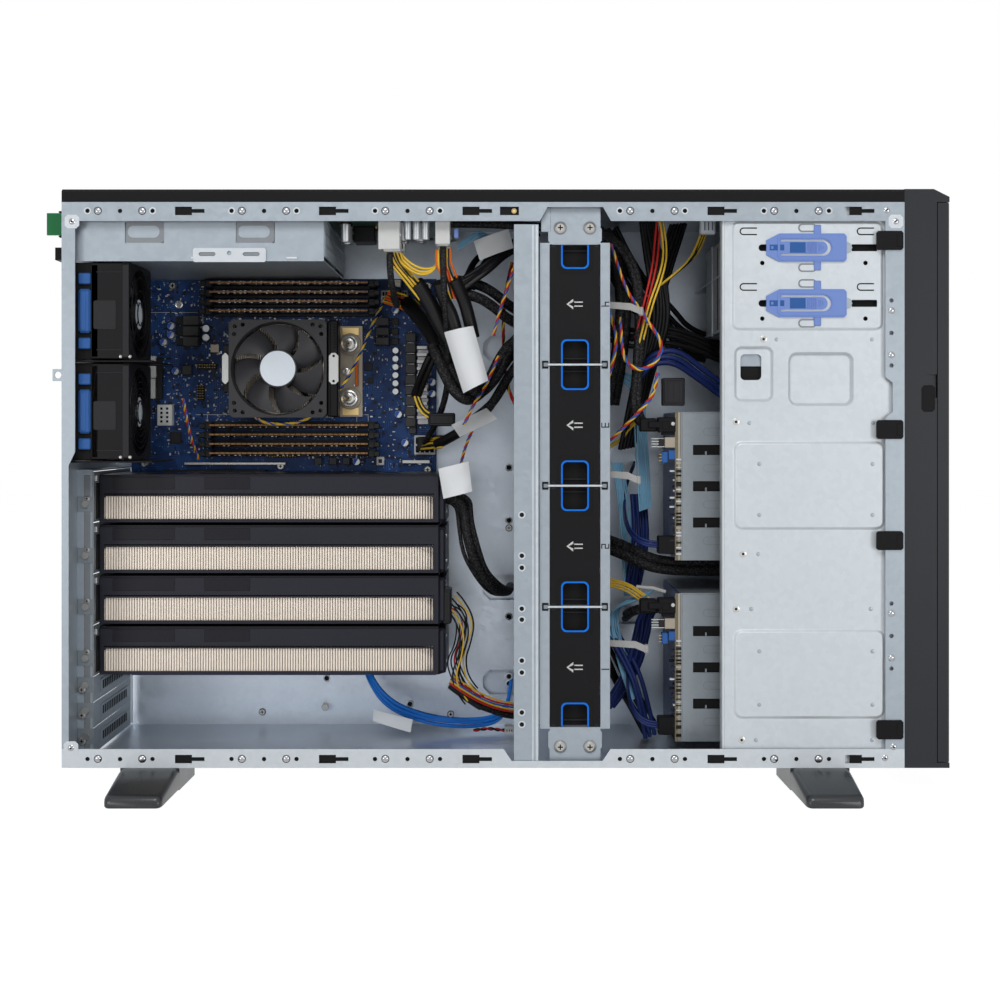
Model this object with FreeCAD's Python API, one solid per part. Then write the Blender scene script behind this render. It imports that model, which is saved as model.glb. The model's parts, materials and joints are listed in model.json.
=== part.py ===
import FreeCAD, Part
import math
import os

# Tower workstation with its side cover off, in millimetres.
# +X is the front of the tower, -Y its open side, +Z up.
# The origin is on the floor under the middle of the outer box.

V = FreeCAD.Vector

# Case
case_width = 178.0
case_depth = 645.7
sheet = 1.2
foot_height = 18.0
top_cover_height = 10.0
bezel_depth = 34.5
handle_reach = 14.8
tray_gap = 5.6
fit_gap = 0.4
cut_over = 2.0

# Near rails with their cover keyholes
rail_height = 14.5
rail_row = 6.8
rail_groups = (44.8, 155.1, 265.0, 452.6, 562.9)
rail_hole_step = 24.9
rail_hole_radius = 1.7
rail_keyholes = (86.9, 197.2, 307.1, 494.8, 600.1)
keyhole_wide = 6.5
keyhole_wide_length = 13.0
keyhole_tail = 3.0
keyhole_tail_length = 9.6
rail_web_top = 3.8
rail_web_base = 5.4
notch_slope = 6.0
base_notch_lead = 28.0
rear_flange = 10.3
rear_flange_narrow = 5.4
rear_flange_step = 242.0
front_flange = 14.6
front_flange_narrow = 9.0
padlock_height = 301.0
padlock_tab = 9.2
padlock_reach = 6.9
padlock_radius = 2.6
padlock_rim = 0.5
front_waist = 266.6
front_waist_height = 34.5
front_hole_inset = 10.0
front_hole_rows = (101.1, 333.2)
switch_offset = 343.1
switch_slot = 14.5
top_cover_bevel = 2.0
top_cover_wall = 2.5

# Power supplies
psu_width = 73.5
psu_height = 40.0
psu_length = 185.0
psu_setback = 8.0
psu_socket_space = 15.0
psu_handle_bar = 4.0
psu_handle_span = 40.0
psu_latch_height = 17.0
psu_handle_start = 16.0
psu_handle_inset = 2.5
psu_handle_height = 11.0
lever_barrel = 2.6
lever_inset = 5.0
lever_drop = 4.0
lever_thick = 2.6
psu_tab_places = (45.5, 131.0)
psu_tab_width = 30.0
psu_tab_height = 16.0
psu_tab_base = 14.0
psu_tab_slit = 2.0
inlet_depth = 12.0
inlet_side = 6.0
inlet_width = 27.0
inlet_height = 20.0
inlet_base = 12.0
latch_pin_radius = 1.2
pin_gap = 0.08
power_board_length = 98.0
power_board_thick = 1.6
power_board_stand = 8.0
power_sockets = ((42.0, 16.0, 24.0), (86.0, 11.0, 20.0))
power_socket_depth = 20.0
power_cap_count = 3
power_cap_start = 64.0
power_cap_pitch = 7.0
power_cap_height = 16.0
power_cap_radius = 3.0
power_cap_row = 8.0

# Rear fans
rear_fan_size = 75.6
rear_fan_depth = 47.0
rear_fan_grip = 10.0
rear_fan_setback = 7.0
rear_fan_top_gap = 0.6
rear_stack_gap = 5.9
port_rise = 44.0
port_length = 150.0
port_drop = 3.0
rear_bore_radius = 35.0
rear_collar = 18.0
rear_plate = 4.5
rear_waist = 20.0
rear_waist_inset = 2.0
rear_hub_radius = 17.0
rear_rotor_length = 26.0
rear_blade_sweep = 15.0
grip_bar = 12.0
grip_span = 35.0
grip_tab = 8.5

# Middle fans
fan_size = 91.2
fan_depth = 38.4
fan_count = 4
fan_setback = 6.0
fan_column_offset = 374.0
fan_column_base = 30.2
fan_bore_radius = 43.0
fan_flange = 7.3
fan_air_window = 84.0
fan_window_bevel = 22.0
finger_width = 21.5
finger_height = 18.5
finger_depth = 9.0
blade_count = 7
blade_thick = 1.6
blade_camber = 1.2
blade_end_gap = 3.0
fan_blade_sweep = 17.0
hub_cap = 3.0
hub_bevel = 1.6
tip_gap = 1.5
hub_radius = 18.5
strut_width = 4.0
stator_inset = 1.5
rotor_gap = 0.6
stator_thick = 6.0
shaft_radius = 2.0
cage_bracket_height = 24.0
cage_bracket_foot = 20.0
bracket_screw_spread = 11.4

# Card support bracket
bracket_offset = 346.6
bracket_width = 18.8
bracket_depth = 14.0
bracket_setback = 2.0
bracket_hole_radius = 2.2
bracket_top_drop = 16.8

# Main board
board_stand = 6.5
board_thick = 1.6
board_length = 265.5
board_height = 345.0
board_top_drop = 43.1
board_stand_columns = (22.0, 130.0, 262.0)
board_stand_rows = (8.0, 162.0, 337.0)
stand_radius = 3.5
tray_windows = ((345.0, 38.0), (345.0, 121.0), (345.0, 330.0), (455.0, 100.0), (455.0, 230.0))
tray_window_length = 48.0
tray_window_height = 22.0
tray_window_bevel = 6.0
memory_length = 134.7
memory_pitch = 7.95
memory_rise = 32.0
memory_thick = 1.4
memory_offset = 73.6
upper_memory_drop = 6.0
lower_memory_drop = 127.4
memory_socket_width = 6.4
memory_socket_rise = 8.0
memory_end = 6.0
memory_end_rise = 20.0
socket_gap = 0.2
socket_wall = 2.5
memory_count = 4
cooler_size = 81.0
cooler_offset = 136.9
cooler_drop = 80.6
cooler_rise = 67.0
cooler_fan_thick = 15.0
cooler_fin_count = 18
cooler_fin_thick = 1.0
cooler_base = 40.0
cooler_base_rise = 12.0
cooler_plate = 4.0
cooler_rim = 2.5
cooler_stator = 3.0
cooler_hub_radius = 15.0
cooler_blade_sweep = 13.5
socket_frame_reach = 24.0
socket_frame_thick = 3.0
spring_post_rise = 14.0
spring_post_radius = 5.0
spring_post_inset = 10.5
spring_post_spread = 23.5

# Blocks on the main board: across, drop, width, height, rise
board_blocks = (
    (212.9, 34.0, 12.2, 7.0, 10.0),
    (212.9, 42.5, 12.2, 7.0, 10.0),
    (212.9, 51.0, 12.2, 7.0, 10.0),
    (218.2, 11.4, 22.6, 10.4, 14.0),
    (246.9, 135.9, 18.0, 14.8, 12.0),
    (46.8, 32.4, 14.0, 27.0, 12.0),
    (17.8, 67.0, 6.0, 18.0, 9.0),
    (17.8, 87.5, 4.0, 15.7, 9.0),
    (24.3, 109.0, 12.0, 17.4, 9.0),
    (33.8, 134.0, 9.0, 9.0, 2.0),
    (-13.0, 8.0, 28.0, 40.0, 30.0),
    (-13.0, 52.0, 28.0, 50.0, 18.0),
    (-13.0, 106.0, 28.0, 32.0, 14.0),
    (199.3, 330.0, 14.0, 10.0, 7.0),
)
choke_across = 238.2
choke_drop = 47.4
choke_pitch = 9.2
choke_count = 8
choke_width = 10.0
choke_size = 8.0
cap_across = 230.4
cap_drop = 62.7
cap_pitch = 7.1
cap_count = 6
cap_rise = 8.0
cap_radius = 3.0
heatsink_across = 249.5
heatsink_drop = 60.4
heatsink_width = 8.7
heatsink_fin_count = 9
heatsink_fin_pitch = 6.0
heatsink_rise = 20.0

# Graphics cards and expansion slots
slot_pitch = 20.32
card_count = 4
card_slots = 2
card_length = 271.5
card_nose = 5.6
card_thick = 38.2
card_rise = 107.9
slot_margin = 3.0
slot_floor_gap = 1.5
card_board_thick = 1.6
card_shell = 1.6
card_fin_thick = 0.8
card_fin_count = 26
card_window_drop = 15.3
card_window_height = 20.3
card_window_inset = 3.5
card_fin_depth = 60.0
card_bracket_thick = 0.9
blank_count = 3
slot_recess = 14.5
slot_ledge_rise = 13.0
slot_socket_length = 89.0
slot_socket_width = 7.4
slot_socket_rise = 11.0
slot_socket_offset = 30.0
slot_tab_length = 13.0
slot_tab_width = 12.0
screw_radius = 3.0
screw_head = 1.8

# Drive bays
plate_setback = 4.0
plate_length = 139.2
bay_pitch = 42.7
bay_top_drop = 13.0
bay_height = 41.0
bay_width = 146.0
bay_side = 1.5
latch_length = 61.5
latch_height = 21.5
latch_thick = 2.6
latch_lug = 5.4
latch_inset = 33.6
latch_drop = 34.7
latch_travel = 8.0
latch_stem = 5.0
latch_point = 10.0
latch_lug_inset = 25.5
bay_slot_inset = 1.5
bay_slot_height = 8.0
pad_rise = 1.5
pad_bevel = 2.0
plate_pads = (
    (9.2, 39.9, 280.4, 323.5),
    (50.7, 101.4, 277.3, 318.8),
    (8.4, 122.0, 182.0, 250.4),
    (8.4, 122.0, 36.8, 106.0),
)
cage_setback = 36.0
cage_width = 108.0
cage_length = 167.5
cage_height = 117.0
cage_bases = (13.0, 156.0)
trays_per_cage = 4
tray_wall = 2.0
backplane_thick = 2.0
backplane_socket = 12.0
cage_slot_inset = 10.0
cage_slot_length = 23.0
cage_slot_height = 8.0
tray_tail = 4.0
tray_face = 6.0
tray_pull = 5.0

# Bezel, door and button
door_thick = 9.0
door_gap = 0.6
door_end_lip = 4.0
door_pin_radius = 2.0
door_pin_length = 8.0
door_wall = 2.5
bezel_wall = 3.0
bezel_chamfer = 6.0
grip_height = 18.0
grip_width = 8.0
grip_drop = 150.0
grip_depth = 2.1
button_radius = 6.0
button_rise = 1.5
button_travel = 1.2
button_setback = 24.0

# Feet
foot_width = 42.5
foot_root_width = 48.0
foot_length = 114.0
foot_reach = 57.5
foot_toe_height = 9.5
foot_pivot_inset = 23.5
foot_pin_radius = 5.0
foot_shoulder = 6.0
foot_wall = 3.0
foot_offsets = (67.6, 580.9)

# Cover switch
switch_body = 12.0
plunger_radius = 2.0
plunger_offset = 3.5
plunger_travel = 3.0
plunger_bevel = 1.2

# Cables: width, thickness, steps out from the start and steps back from the end
arc_share = 0.45
card_plug_depth = 15.0
power_lead_row = 39.8
cable_tuck = 3.0
card_power_cable = (
    7.0, 3.5,
    ((0, 0, 0), (14, 0, 0), (16, -2, -20), (20, -3, -42)),
    ((-25, -100, 22), (-16, -90, 9), (-7, -66, 2.5), (-1.5, -36, 1), (0, 0, 0)),
)
board_power_cable = (
    8.0, 5.5,
    ((0, 0, 0), (0, 0, -16.7), (1.7, 15.8, -31.7), (2.7, 47.8, -38.7)),
    ((5.3, -46.9, -11.8), (0, -22.9, 0), (0, 0, 0)),
)
processor_power_cable = (
    6.5, 4.0,
    ((0, 0, 0), (0, 0, -18.7), (1.2, 13.8, -48.7), (3.2, 37.8, -80.7)),
    ((21.9, -62.9, 42.9), (11.9, -36.9, 16.9), (0, -18.9, 0), (0, 0, 0)),
)
drive_power_cable = (
    9.0, 6.0,
    ((0, 0, 0), (30.7, 0, 0), (79.7, -2, -3.5), (122.7, -3, -7.5), (144.7, -4, -31.5)),
    ((-16.5, 1.4, 89), (-19.5, 0.4, 43), (-21.5, 0, 13), (-13.5, 0, 0), (0, 0, 0)),
)
lower_drive_cable = (
    8.5, 5.0,
    ((0, 0, 0), (-13.5, 0, 0), (-23.5, 8.4, -4), (-26.5, 30.4, -10)),
    ((-15.3, -68, 3), (-9.3, -34, 0), (-3.3, 0, -1)),
)
board_data_cable = (
    5.5, 2.2,
    ((0, 0, 0), (0, -12, 0), (4, -22, -8), (14, -28, -22), (30, -32, -34), (63, -34, -43)),
    ((-26, -48, -28), (-8, -34, -24), (-0.6, -16, -12), (0, 0, 0)),
)
upper_data_cable = (
    5.6, 2.0,
    ((0, 0, 0), (-13.5, 0, 0), (-24.5, 10.4, 8), (-27.5, 34.4, 22)),
    ((-14.3, -62, -22), (-7.3, -30, -8), (-1.3, 0, -1)),
)
lower_data_cable = (
    5.6, 2.0,
    ((0, 0, 0), (-12.5, 0, 0), (-22.5, 6.4, 9), (-25.5, 26.4, 25)),
    ((-13.3, -74, -33), (-4.3, -44, -17), (5.7, -20, -7), (11.7, 0, -2)),
)

# Outer box and main planes
slot_count = card_count * card_slots + blank_count
psu_cage_height = psu_height + 2 * fit_gap + 2 * sheet
rear_fan_pitch = rear_fan_size + 2 * fit_gap + sheet
fan_pitch = fan_size + 2 * fit_gap + sheet
slot_column = 3 * sheet + slot_floor_gap + slot_count * slot_pitch + rear_stack_gap
rear_column = slot_column + 2 * rear_fan_pitch + rear_fan_top_gap + psu_cage_height
fan_column = fan_column_base + fan_count * fan_pitch + cage_bracket_height
case_height = max(rear_column, fan_column)
overall_depth = handle_reach + case_depth + bezel_depth
x_rear = handle_reach - overall_depth / 2
x_front = x_rear + case_depth
x_bezel = x_front + bezel_depth
y_near = -case_width / 2
y_far = case_width / 2
z_base = foot_height
z_roof = foot_height + case_height
z_floor = z_base + sheet
z_ceiling = z_roof - sheet
y_cover = y_far - sheet
y_tray = y_cover - sheet - tray_gap
y_board = y_tray - board_stand - board_thick
z_board_top = z_roof - board_top_drop


def box(x0, x1, y0, y1, z0, z1):
    """Block between two corners."""
    return Part.makeBox(x1 - x0, y1 - y0, z1 - z0, V(x0, y0, z0))


def rod_x(x0, x1, y, z, radius):
    """Round bar along X."""
    return Part.makeCylinder(radius, x1 - x0, V(x0, y, z), V(1, 0, 0))


def rod_y(y0, y1, x, z, radius):
    """Round bar along Y."""
    return Part.makeCylinder(radius, y1 - y0, V(x, y0, z), V(0, 1, 0))


def rod_z(z0, z1, x, y, radius):
    """Round bar along Z."""
    return Part.makeCylinder(radius, z1 - z0, V(x, y, z0), V(0, 0, 1))


def prism(points, reach):
    """Flat outline of (x, y, z) points pushed along a vector."""
    corners = [V(*point) for point in points]
    wire = Part.makePolygon(corners + corners[:1])
    return Part.Face(wire).extrude(V(*reach))


def bevelled(x0, x1, z0, z1, bevel):
    """Corners (x, z) of a rectangle with cut corners."""
    return [
        (x0 + bevel, z0),
        (x1 - bevel, z0),
        (x1, z0 + bevel),
        (x1, z1 - bevel),
        (x1 - bevel, z1),
        (x0 + bevel, z1),
        (x0, z1 - bevel),
        (x0, z0 + bevel),
    ]


def hexagon_y(y0, y1, x, z, radius):
    """Six-sided bar along Y."""
    corners = []
    for index in range(6):
        angle = index * math.pi / 3
        corners.append((x + radius * math.cos(angle), y0, z + radius * math.sin(angle)))
    return prism(corners, (0, y1 - y0, 0))


def turned_x(outline):
    """Solid of revolution about X from (x, radius) points."""
    corners = [V(x, 0, radius) for x, radius in outline]
    profile = Part.Face(Part.makePolygon(corners + corners[:1]))
    return profile.revolve(V(0, 0, 0), V(1, 0, 0), 360)


def join(shapes):
    """One solid from shapes that touch or overlap."""
    first = shapes[0]
    if len(shapes) == 1:
        return first
    return first.multiFuse(shapes[1:]).removeSplitter()


def save(name, shapes):
    """Write the solids of one node to its STEP file."""
    solids = [solid for shape in shapes for solid in shape.Solids]
    group = solids[0] if len(solids) == 1 else Part.makeCompound(solids)
    group.exportStep(os.path.join("parts", name + ".step"))


def mirror_far(shape):
    """The same piece on the far side of the case."""
    return shape.mirror(V(0, 0, 0), V(0, 1, 0))


# Planes that several pieces share
x_fan0 = x_rear + fan_column_offset
x_fan1 = x_fan0 + fan_depth + 2 * fit_gap
x_cage0 = x_fan0 - fan_flange
x_cage1 = x_fan1 + fan_flange
y_fan0 = y_near + fan_setback
y_fan1 = y_fan0 + fan_size
z_fan0 = z_base + fan_column_base
x_slot = x_rear + slot_recess
y_card = y_board - card_rise
y_ledge = y_card - slot_ledge_rise
z_slots0 = z_floor + slot_floor_gap
z_slots1 = z_slots0 + slot_count * slot_pitch
z_cards = z_slots1 - slot_margin
card_pitch = card_slots * slot_pitch
y_psu0 = y_near + psu_setback
psu_bay = psu_width + 2 * fit_gap
z_psu0 = z_ceiling - sheet - fit_gap - psu_height
x_rear_fan = x_rear + rear_flange + fit_gap
y_rear_fan = y_near + rear_fan_setback
z_rear_fan = z_psu0 - fit_gap - sheet - rear_fan_top_gap - rear_fan_size
x_board = x_slot + fit_gap
y_plate = y_near + plate_setback
x_plate = x_front - plate_length
y_cage0 = y_near + cage_setback
y_cage1 = y_cage0 + cage_width
x_drive_cage = x_front - cage_length
x_switch = x_rear + switch_offset
x_psu_end = x_rear + psu_length + psu_socket_space
x_socket = x_slot + slot_socket_offset
x_door = x_bezel - door_thick
x_web1 = x_door - door_gap


def hole_group_x(x, z):
    """Three holes in a row along X through the near flange."""
    y0 = y_near - cut_over
    y1 = y_near + sheet + cut_over
    return [rod_y(y0, y1, x + step, z, rail_hole_radius) for step in (-rail_hole_step, 0, rail_hole_step)]


def rail_cuts(z):
    """Hole groups and cover keyholes along one near rail."""
    cuts = []
    y0 = y_near - cut_over
    y1 = y_near + sheet + cut_over
    for offset in rail_groups:
        cuts.extend(hole_group_x(x_rear + offset, z))
    for offset in rail_keyholes:
        x = x_rear + offset
        x_neck = x + keyhole_wide_length
        wide = box(x, x_neck, y0, y1, z - keyhole_wide / 2, z + keyhole_wide / 2)
        x_end = x_neck + keyhole_tail_length
        tail = box(x_neck - cut_over, x_end, y0, y1, z - keyhole_tail / 2, z + keyhole_tail / 2)
        cuts.append(wide.fuse(tail))
    return cuts


def rail_notch(x0, x1, z_edge, z_web):
    """Slant-ended notch in a rail from its free edge to its remaining web."""
    lip = math.copysign(cut_over, z_edge - z_web)
    y0 = y_near - cut_over
    outline = [
        (x0, y0, z_edge + lip),
        (x1, y0, z_edge + lip),
        (x1, y0, z_edge),
        (x1 - notch_slope, y0, z_web),
        (x0 + notch_slope, y0, z_web),
        (x0, y0, z_edge),
    ]
    return prism(outline, (0, sheet + 2 * cut_over, 0))


def channel(z_out, z_in, z_edge):
    """Folded panel with a flange along each side, its web between z_out and z_in."""
    outline = [
        (x_rear, y_near, z_out),
        (x_rear, y_cover, z_out),
        (x_rear, y_cover, z_edge),
        (x_rear, y_cover - sheet, z_edge),
        (x_rear, y_cover - sheet, z_in),
        (x_rear, y_near + sheet, z_in),
        (x_rear, y_near + sheet, z_edge),
        (x_rear, y_near, z_edge),
    ]
    return prism(outline, (case_depth, 0, 0))


def foot_pivots():
    """Pivot places of the four feet as (x, y)."""
    inset = y_near + foot_pivot_inset
    return [(x_rear + offset, y) for offset in foot_offsets for y in (inset, -inset)]


def build_base_panel():
    """Floor with its near rail, far flange and foot studs."""
    panel = channel(z_base, z_floor, z_base + rail_height)
    cuts = rail_cuts(z_base + rail_row)
    cuts.append(rail_notch(x_cage0 - base_notch_lead, x_cage1, z_base + rail_height, z_base + rail_web_base))
    panel = panel.cut(cuts)
    studs = [rod_z(z_base - foot_toe_height, z_base, x, y, foot_pin_radius) for x, y in foot_pivots()]
    save("base_panel", [join([panel] + studs)])


def build_top_panel():
    """Roof with its near rail and the slot of the cover switch."""
    panel = channel(z_roof, z_ceiling, z_roof - rail_height)
    z = z_roof - rail_row
    cuts = rail_cuts(z)
    cuts.append(rail_notch(x_cage0 - fit_gap, x_cage1 + fit_gap, z_roof - rail_height, z_roof - rail_web_top))
    x0 = x_switch - switch_slot / 2
    cuts.append(box(x0, x0 + switch_slot, y_near - cut_over, y_near + sheet + cut_over,
                    z - keyhole_wide / 2, z + keyhole_wide / 2))
    save("top_panel", [panel.cut(cuts)])


def rear_cutouts():
    """Windows of the rear wall: supplies, exhausts, ports and expansion slots."""
    x0 = x_rear - cut_over
    x1 = x_rear + sheet + cut_over
    y_psu1 = y_psu0 + sheet + 2 * (psu_bay + sheet)
    cuts = [box(x0, x1, y_psu0 + sheet, y_psu1 - sheet, z_psu0 - fit_gap, z_ceiling - sheet)]
    y_fan = y_rear_fan + rear_fan_size / 2
    for index in range(2):
        z = z_rear_fan + rear_fan_size / 2 - index * rear_fan_pitch
        cuts.append(rod_x(x0, x1, y_fan, z, rear_bore_radius))
    z_port = z_board_top - port_drop
    cuts.append(box(x0, x1, y_board - port_rise, y_board, z_port - port_length, z_port))
    cuts.append(box(x0, x1, y_ledge, y_tray - sheet, z_slots0, z_slots1))
    return cuts


def build_rear_panel():
    """Welded sheets of the rear: wall, near flange with padlock eye, slot recess and fan shelves."""
    x1 = x_rear + sheet
    wall = box(x_rear, x1, y_near + sheet, y_cover - sheet, z_floor, z_ceiling).cut(rear_cutouts())
    z_low = z_base + rail_height
    z_high = z_roof - rail_height
    z_step = z_base + rear_flange_step
    outline = [
        (x_rear, y_near, z_low),
        (x_rear + rear_flange_narrow, y_near, z_low),
        (x_rear + rear_flange_narrow, y_near, z_step - rear_flange),
        (x_rear + rear_flange, y_near, z_step),
        (x_rear + rear_flange, y_near, z_high),
        (x_rear, y_near, z_high),
    ]
    flange = prism(outline, (0, sheet, 0))
    z_eye = z_base + padlock_height
    half_tab = padlock_tab / 2
    eye = box(x_rear - padlock_reach, x1, y_near, y_near + sheet, z_eye - half_tab, z_eye + half_tab)
    x_eye = x_rear - padlock_reach + half_tab - padlock_rim
    hole = rod_y(y_near - cut_over, y_near + sheet + cut_over, x_eye, z_eye, padlock_radius)
    x_lip = x_slot - card_bracket_thick
    recess = [
        box(x1, x_lip, y_ledge - sheet, y_ledge, z_slots0, z_slots1),
        box(x1, x_lip, y_ledge - sheet, y_tray, z_slots1, z_slots1 + sheet),
        box(x1, x_lip, y_tray - sheet, y_tray, z_slots0, z_slots1),
    ]
    x_shelf = x_rear_fan + rear_fan_grip + rear_fan_depth
    shelves = []
    for index in range(2):
        z = z_rear_fan - fit_gap - sheet - index * rear_fan_pitch
        shelves.append(box(x1, x_shelf, y_rear_fan, y_rear_fan + rear_fan_size, z, z + sheet))
    save("rear_panel", [wall, join([flange, eye]).cut(hole)] + recess + shelves)


def build_front_frame():
    """Front wall with windows for the drive cages and bays, and its near flange."""
    x0 = x_front - sheet
    wall = box(x0, x_front, y_near + sheet, y_cover - sheet, z_floor, z_ceiling)
    cuts = []
    for base in cage_bases:
        z = z_base + base
        cuts.append(box(x0 - cut_over, x_front + cut_over, y_cage0 + sheet, y_cage1 - sheet,
                        z + sheet, z + cage_height - sheet))
    y_bay = y_plate + sheet + bay_side
    for index in range(2):
        z1 = z_roof - bay_top_drop - index * bay_pitch
        cuts.append(box(x0 - cut_over, x_front + cut_over, y_bay, y_bay + bay_width, z1 - bay_height, z1))
    wall = wall.cut(cuts)
    z_low = z_base + rail_height
    z_high = z_roof - rail_height
    x_flange = x_front - front_flange
    flange = box(x_flange, x_front, y_near, y_near + sheet, z_low, z_high)
    z_waist = z_base + front_waist
    waist = prism([
        (x_flange - cut_over, y_near - cut_over, z_waist),
        (x_front - front_flange_narrow, y_near - cut_over, z_waist + notch_slope),
        (x_front - front_flange_narrow, y_near - cut_over, z_waist + front_waist_height - notch_slope),
        (x_flange - cut_over, y_near - cut_over, z_waist + front_waist_height),
    ], (0, sheet + 2 * cut_over, 0))
    holes = []
    for height in front_hole_rows:
        for step in (-rail_hole_step, 0, rail_hole_step):
            holes.append(rod_y(y_near - cut_over, y_near + sheet + cut_over, x_front - front_hole_inset,
                               z_base + height + step, rail_hole_radius))
    save("front_frame", [join([wall, flange.cut([waist] + holes)])])


def build_motherboard_tray():
    """Inner far wall with its cable windows and the six-sided stands of the main board."""
    tray = box(x_rear + sheet, x_front - sheet, y_tray, y_tray + sheet, z_floor, z_ceiling)
    cuts = []
    for x, z in tray_windows:
        cuts.append(cable_window(x_rear + x, z_base + z))
    tray = tray.cut(cuts)
    stands = []
    for across in board_stand_columns:
        for drop in board_stand_rows:
            x = x_board + across
            z = z_board_top - drop
            stands.append(hexagon_y(y_tray - board_stand, y_tray, x, z, stand_radius))
    save("motherboard_tray", [tray] + stands)


def cable_window(x, z):
    """Cable window through the inner far wall, with cut corners."""
    across = tray_window_length / 2
    rise = tray_window_height / 2
    outline = bevelled(x - across, x + across, z - rise, z + rise, tray_window_bevel)
    y0 = y_tray - cut_over
    return prism([(px, y0, pz) for px, pz in outline], (0, sheet + 2 * cut_over, 0))


def build_covers():
    """Far side cover and the plastic top cover."""
    far_cover = box(x_rear, x_front, y_cover, y_far, z_base, z_roof)
    save("right_side_cover", [far_cover])
    bevel = top_cover_bevel
    z1 = z_roof + top_cover_height
    outline = [
        (x_rear, y_near, z_roof),
        (x_rear, y_far, z_roof),
        (x_rear, y_far, z1 - bevel),
        (x_rear, y_far - bevel, z1),
        (x_rear, y_near + bevel, z1),
        (x_rear, y_near, z1 - bevel),
    ]
    lid = prism(outline, (case_depth, 0, 0))
    wall = top_cover_wall
    hollow = box(x_rear + wall, x_front - wall, y_near + wall, y_far - wall, z_roof, z1 - wall)
    save("top_cover", [lid.cut(hollow)])


def turned(shape, angle, centre, axis):
    """Copy of a shape turned about an axis through a point."""
    copy = shape.copy()
    copy.rotate(V(*centre), V(*axis), angle)
    return copy


def blade(x0, x1, sweep, root, tip_radius):
    """One fan blade standing along +Z, bent to its camber in the middle."""
    heel = V(x0, -sweep / 2, root)
    toe = V(x1, sweep / 2, root)
    across = V(-sweep, x1 - x0, 0).normalize()
    middle = (heel + toe) * 0.5 + across * blade_camber
    skin = across * blade_thick
    corners = [heel, middle, toe, toe + skin, middle + skin, heel + skin]
    profile = Part.Face(Part.makePolygon(corners + corners[:1]))
    tip = math.sqrt(tip_radius ** 2 - (sweep / 2 + blade_thick) ** 2)
    return profile.extrude(V(0, 0, tip - root))


def rotor(length, hub, tip_radius, sweep):
    """Fan rotor along +X from the origin: cup-shaped hub with its shaft bore, and bent blades."""
    bore = shaft_radius + pin_gap
    cup = turned_x([
        (0, bore),
        (0, hub),
        (length - hub_bevel, hub),
        (length, hub - hub_bevel),
        (length, 0),
        (length - hub_cap, 0),
        (length - hub_cap, bore),
    ])
    first = blade(blade_thick, length - blade_end_gap, sweep, hub - 2 * blade_thick, tip_radius)
    blades = [turned(first, index * 360 / blade_count, (0, 0, 0), (1, 0, 0)) for index in range(blade_count)]
    return join([cup] + blades)


def stator(length, hub, bore_radius, rotor_length):
    """Motor disc along +X from the origin with the shaft of its rotor and four struts to the bore."""
    shaft_end = length + rotor_gap + rotor_length - hub_cap - fit_gap
    motor = turned_x([
        (0, 0),
        (0, hub),
        (length, hub),
        (length, shaft_radius),
        (shaft_end, shaft_radius),
        (shaft_end, 0),
    ])
    strut = box(0, length, -strut_width / 2, strut_width / 2, 0, bore_radius + strut_width / 2)
    struts = [turned(strut, 45 + index * 90, (0, 0, 0), (1, 0, 0)) for index in range(4)]
    return join([motor] + struts)


def build_fan_cage():
    """Riveted sheets of the fan cage: walls with air windows, shelves, back, edge strips and end brackets."""
    z0 = z_fan0 - sheet
    z1 = z_fan0 + fan_count * fan_pitch
    y_back = y_fan1 + fit_gap
    half = fan_air_window / 2
    sheets = []
    for x in (x_fan0 - sheet, x_fan1):
        holes = []
        for index in range(fan_count):
            y, z = fan_centre(index)
            outline = bevelled(y - half, y + half, z - half, z + half, fan_window_bevel)
            holes.append(prism([(x - cut_over, py, pz) for py, pz in outline], (sheet + 2 * cut_over, 0, 0)))
        sheets.append(box(x, x + sheet, y_fan0, y_back, z0, z1).cut(holes))
    sheets.append(box(x_cage0, x_fan0 - sheet, y_fan0, y_fan0 + sheet, z0, z1))
    sheets.append(box(x_fan1 + sheet, x_cage1, y_fan0, y_fan0 + sheet, z0, z1))
    for index in range(fan_count + 1):
        z = z0 + index * fan_pitch
        sheets.append(box(x_fan0, x_fan1, y_fan0, y_back, z, z + sheet))
    sheets.append(box(x_fan0 - sheet, x_fan1 + sheet, y_back, y_back + sheet, z0, z1))
    y_foot = y_fan0 + cage_bracket_foot
    sheets.append(join([
        box(x_fan0, x_fan1, y_fan0, y_fan0 + sheet, z_floor, z0),
        box(x_fan0, x_fan1, y_fan0, y_foot, z_floor, z_floor + sheet),
    ]))
    sheets.append(join([
        box(x_fan0, x_fan1, y_fan0, y_fan0 + sheet, z1, z_ceiling),
        box(x_fan0, x_fan1, y_fan0, y_foot, z_ceiling - sheet, z_ceiling),
    ]))
    save("fan_cage", sheets)


def fan_centre(index):
    """Middle (y, z) of one middle fan, counted from the floor."""
    return (y_fan0 + fan_size / 2, z_fan0 + index * fan_pitch + fit_gap + fan_size / 2)


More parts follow.
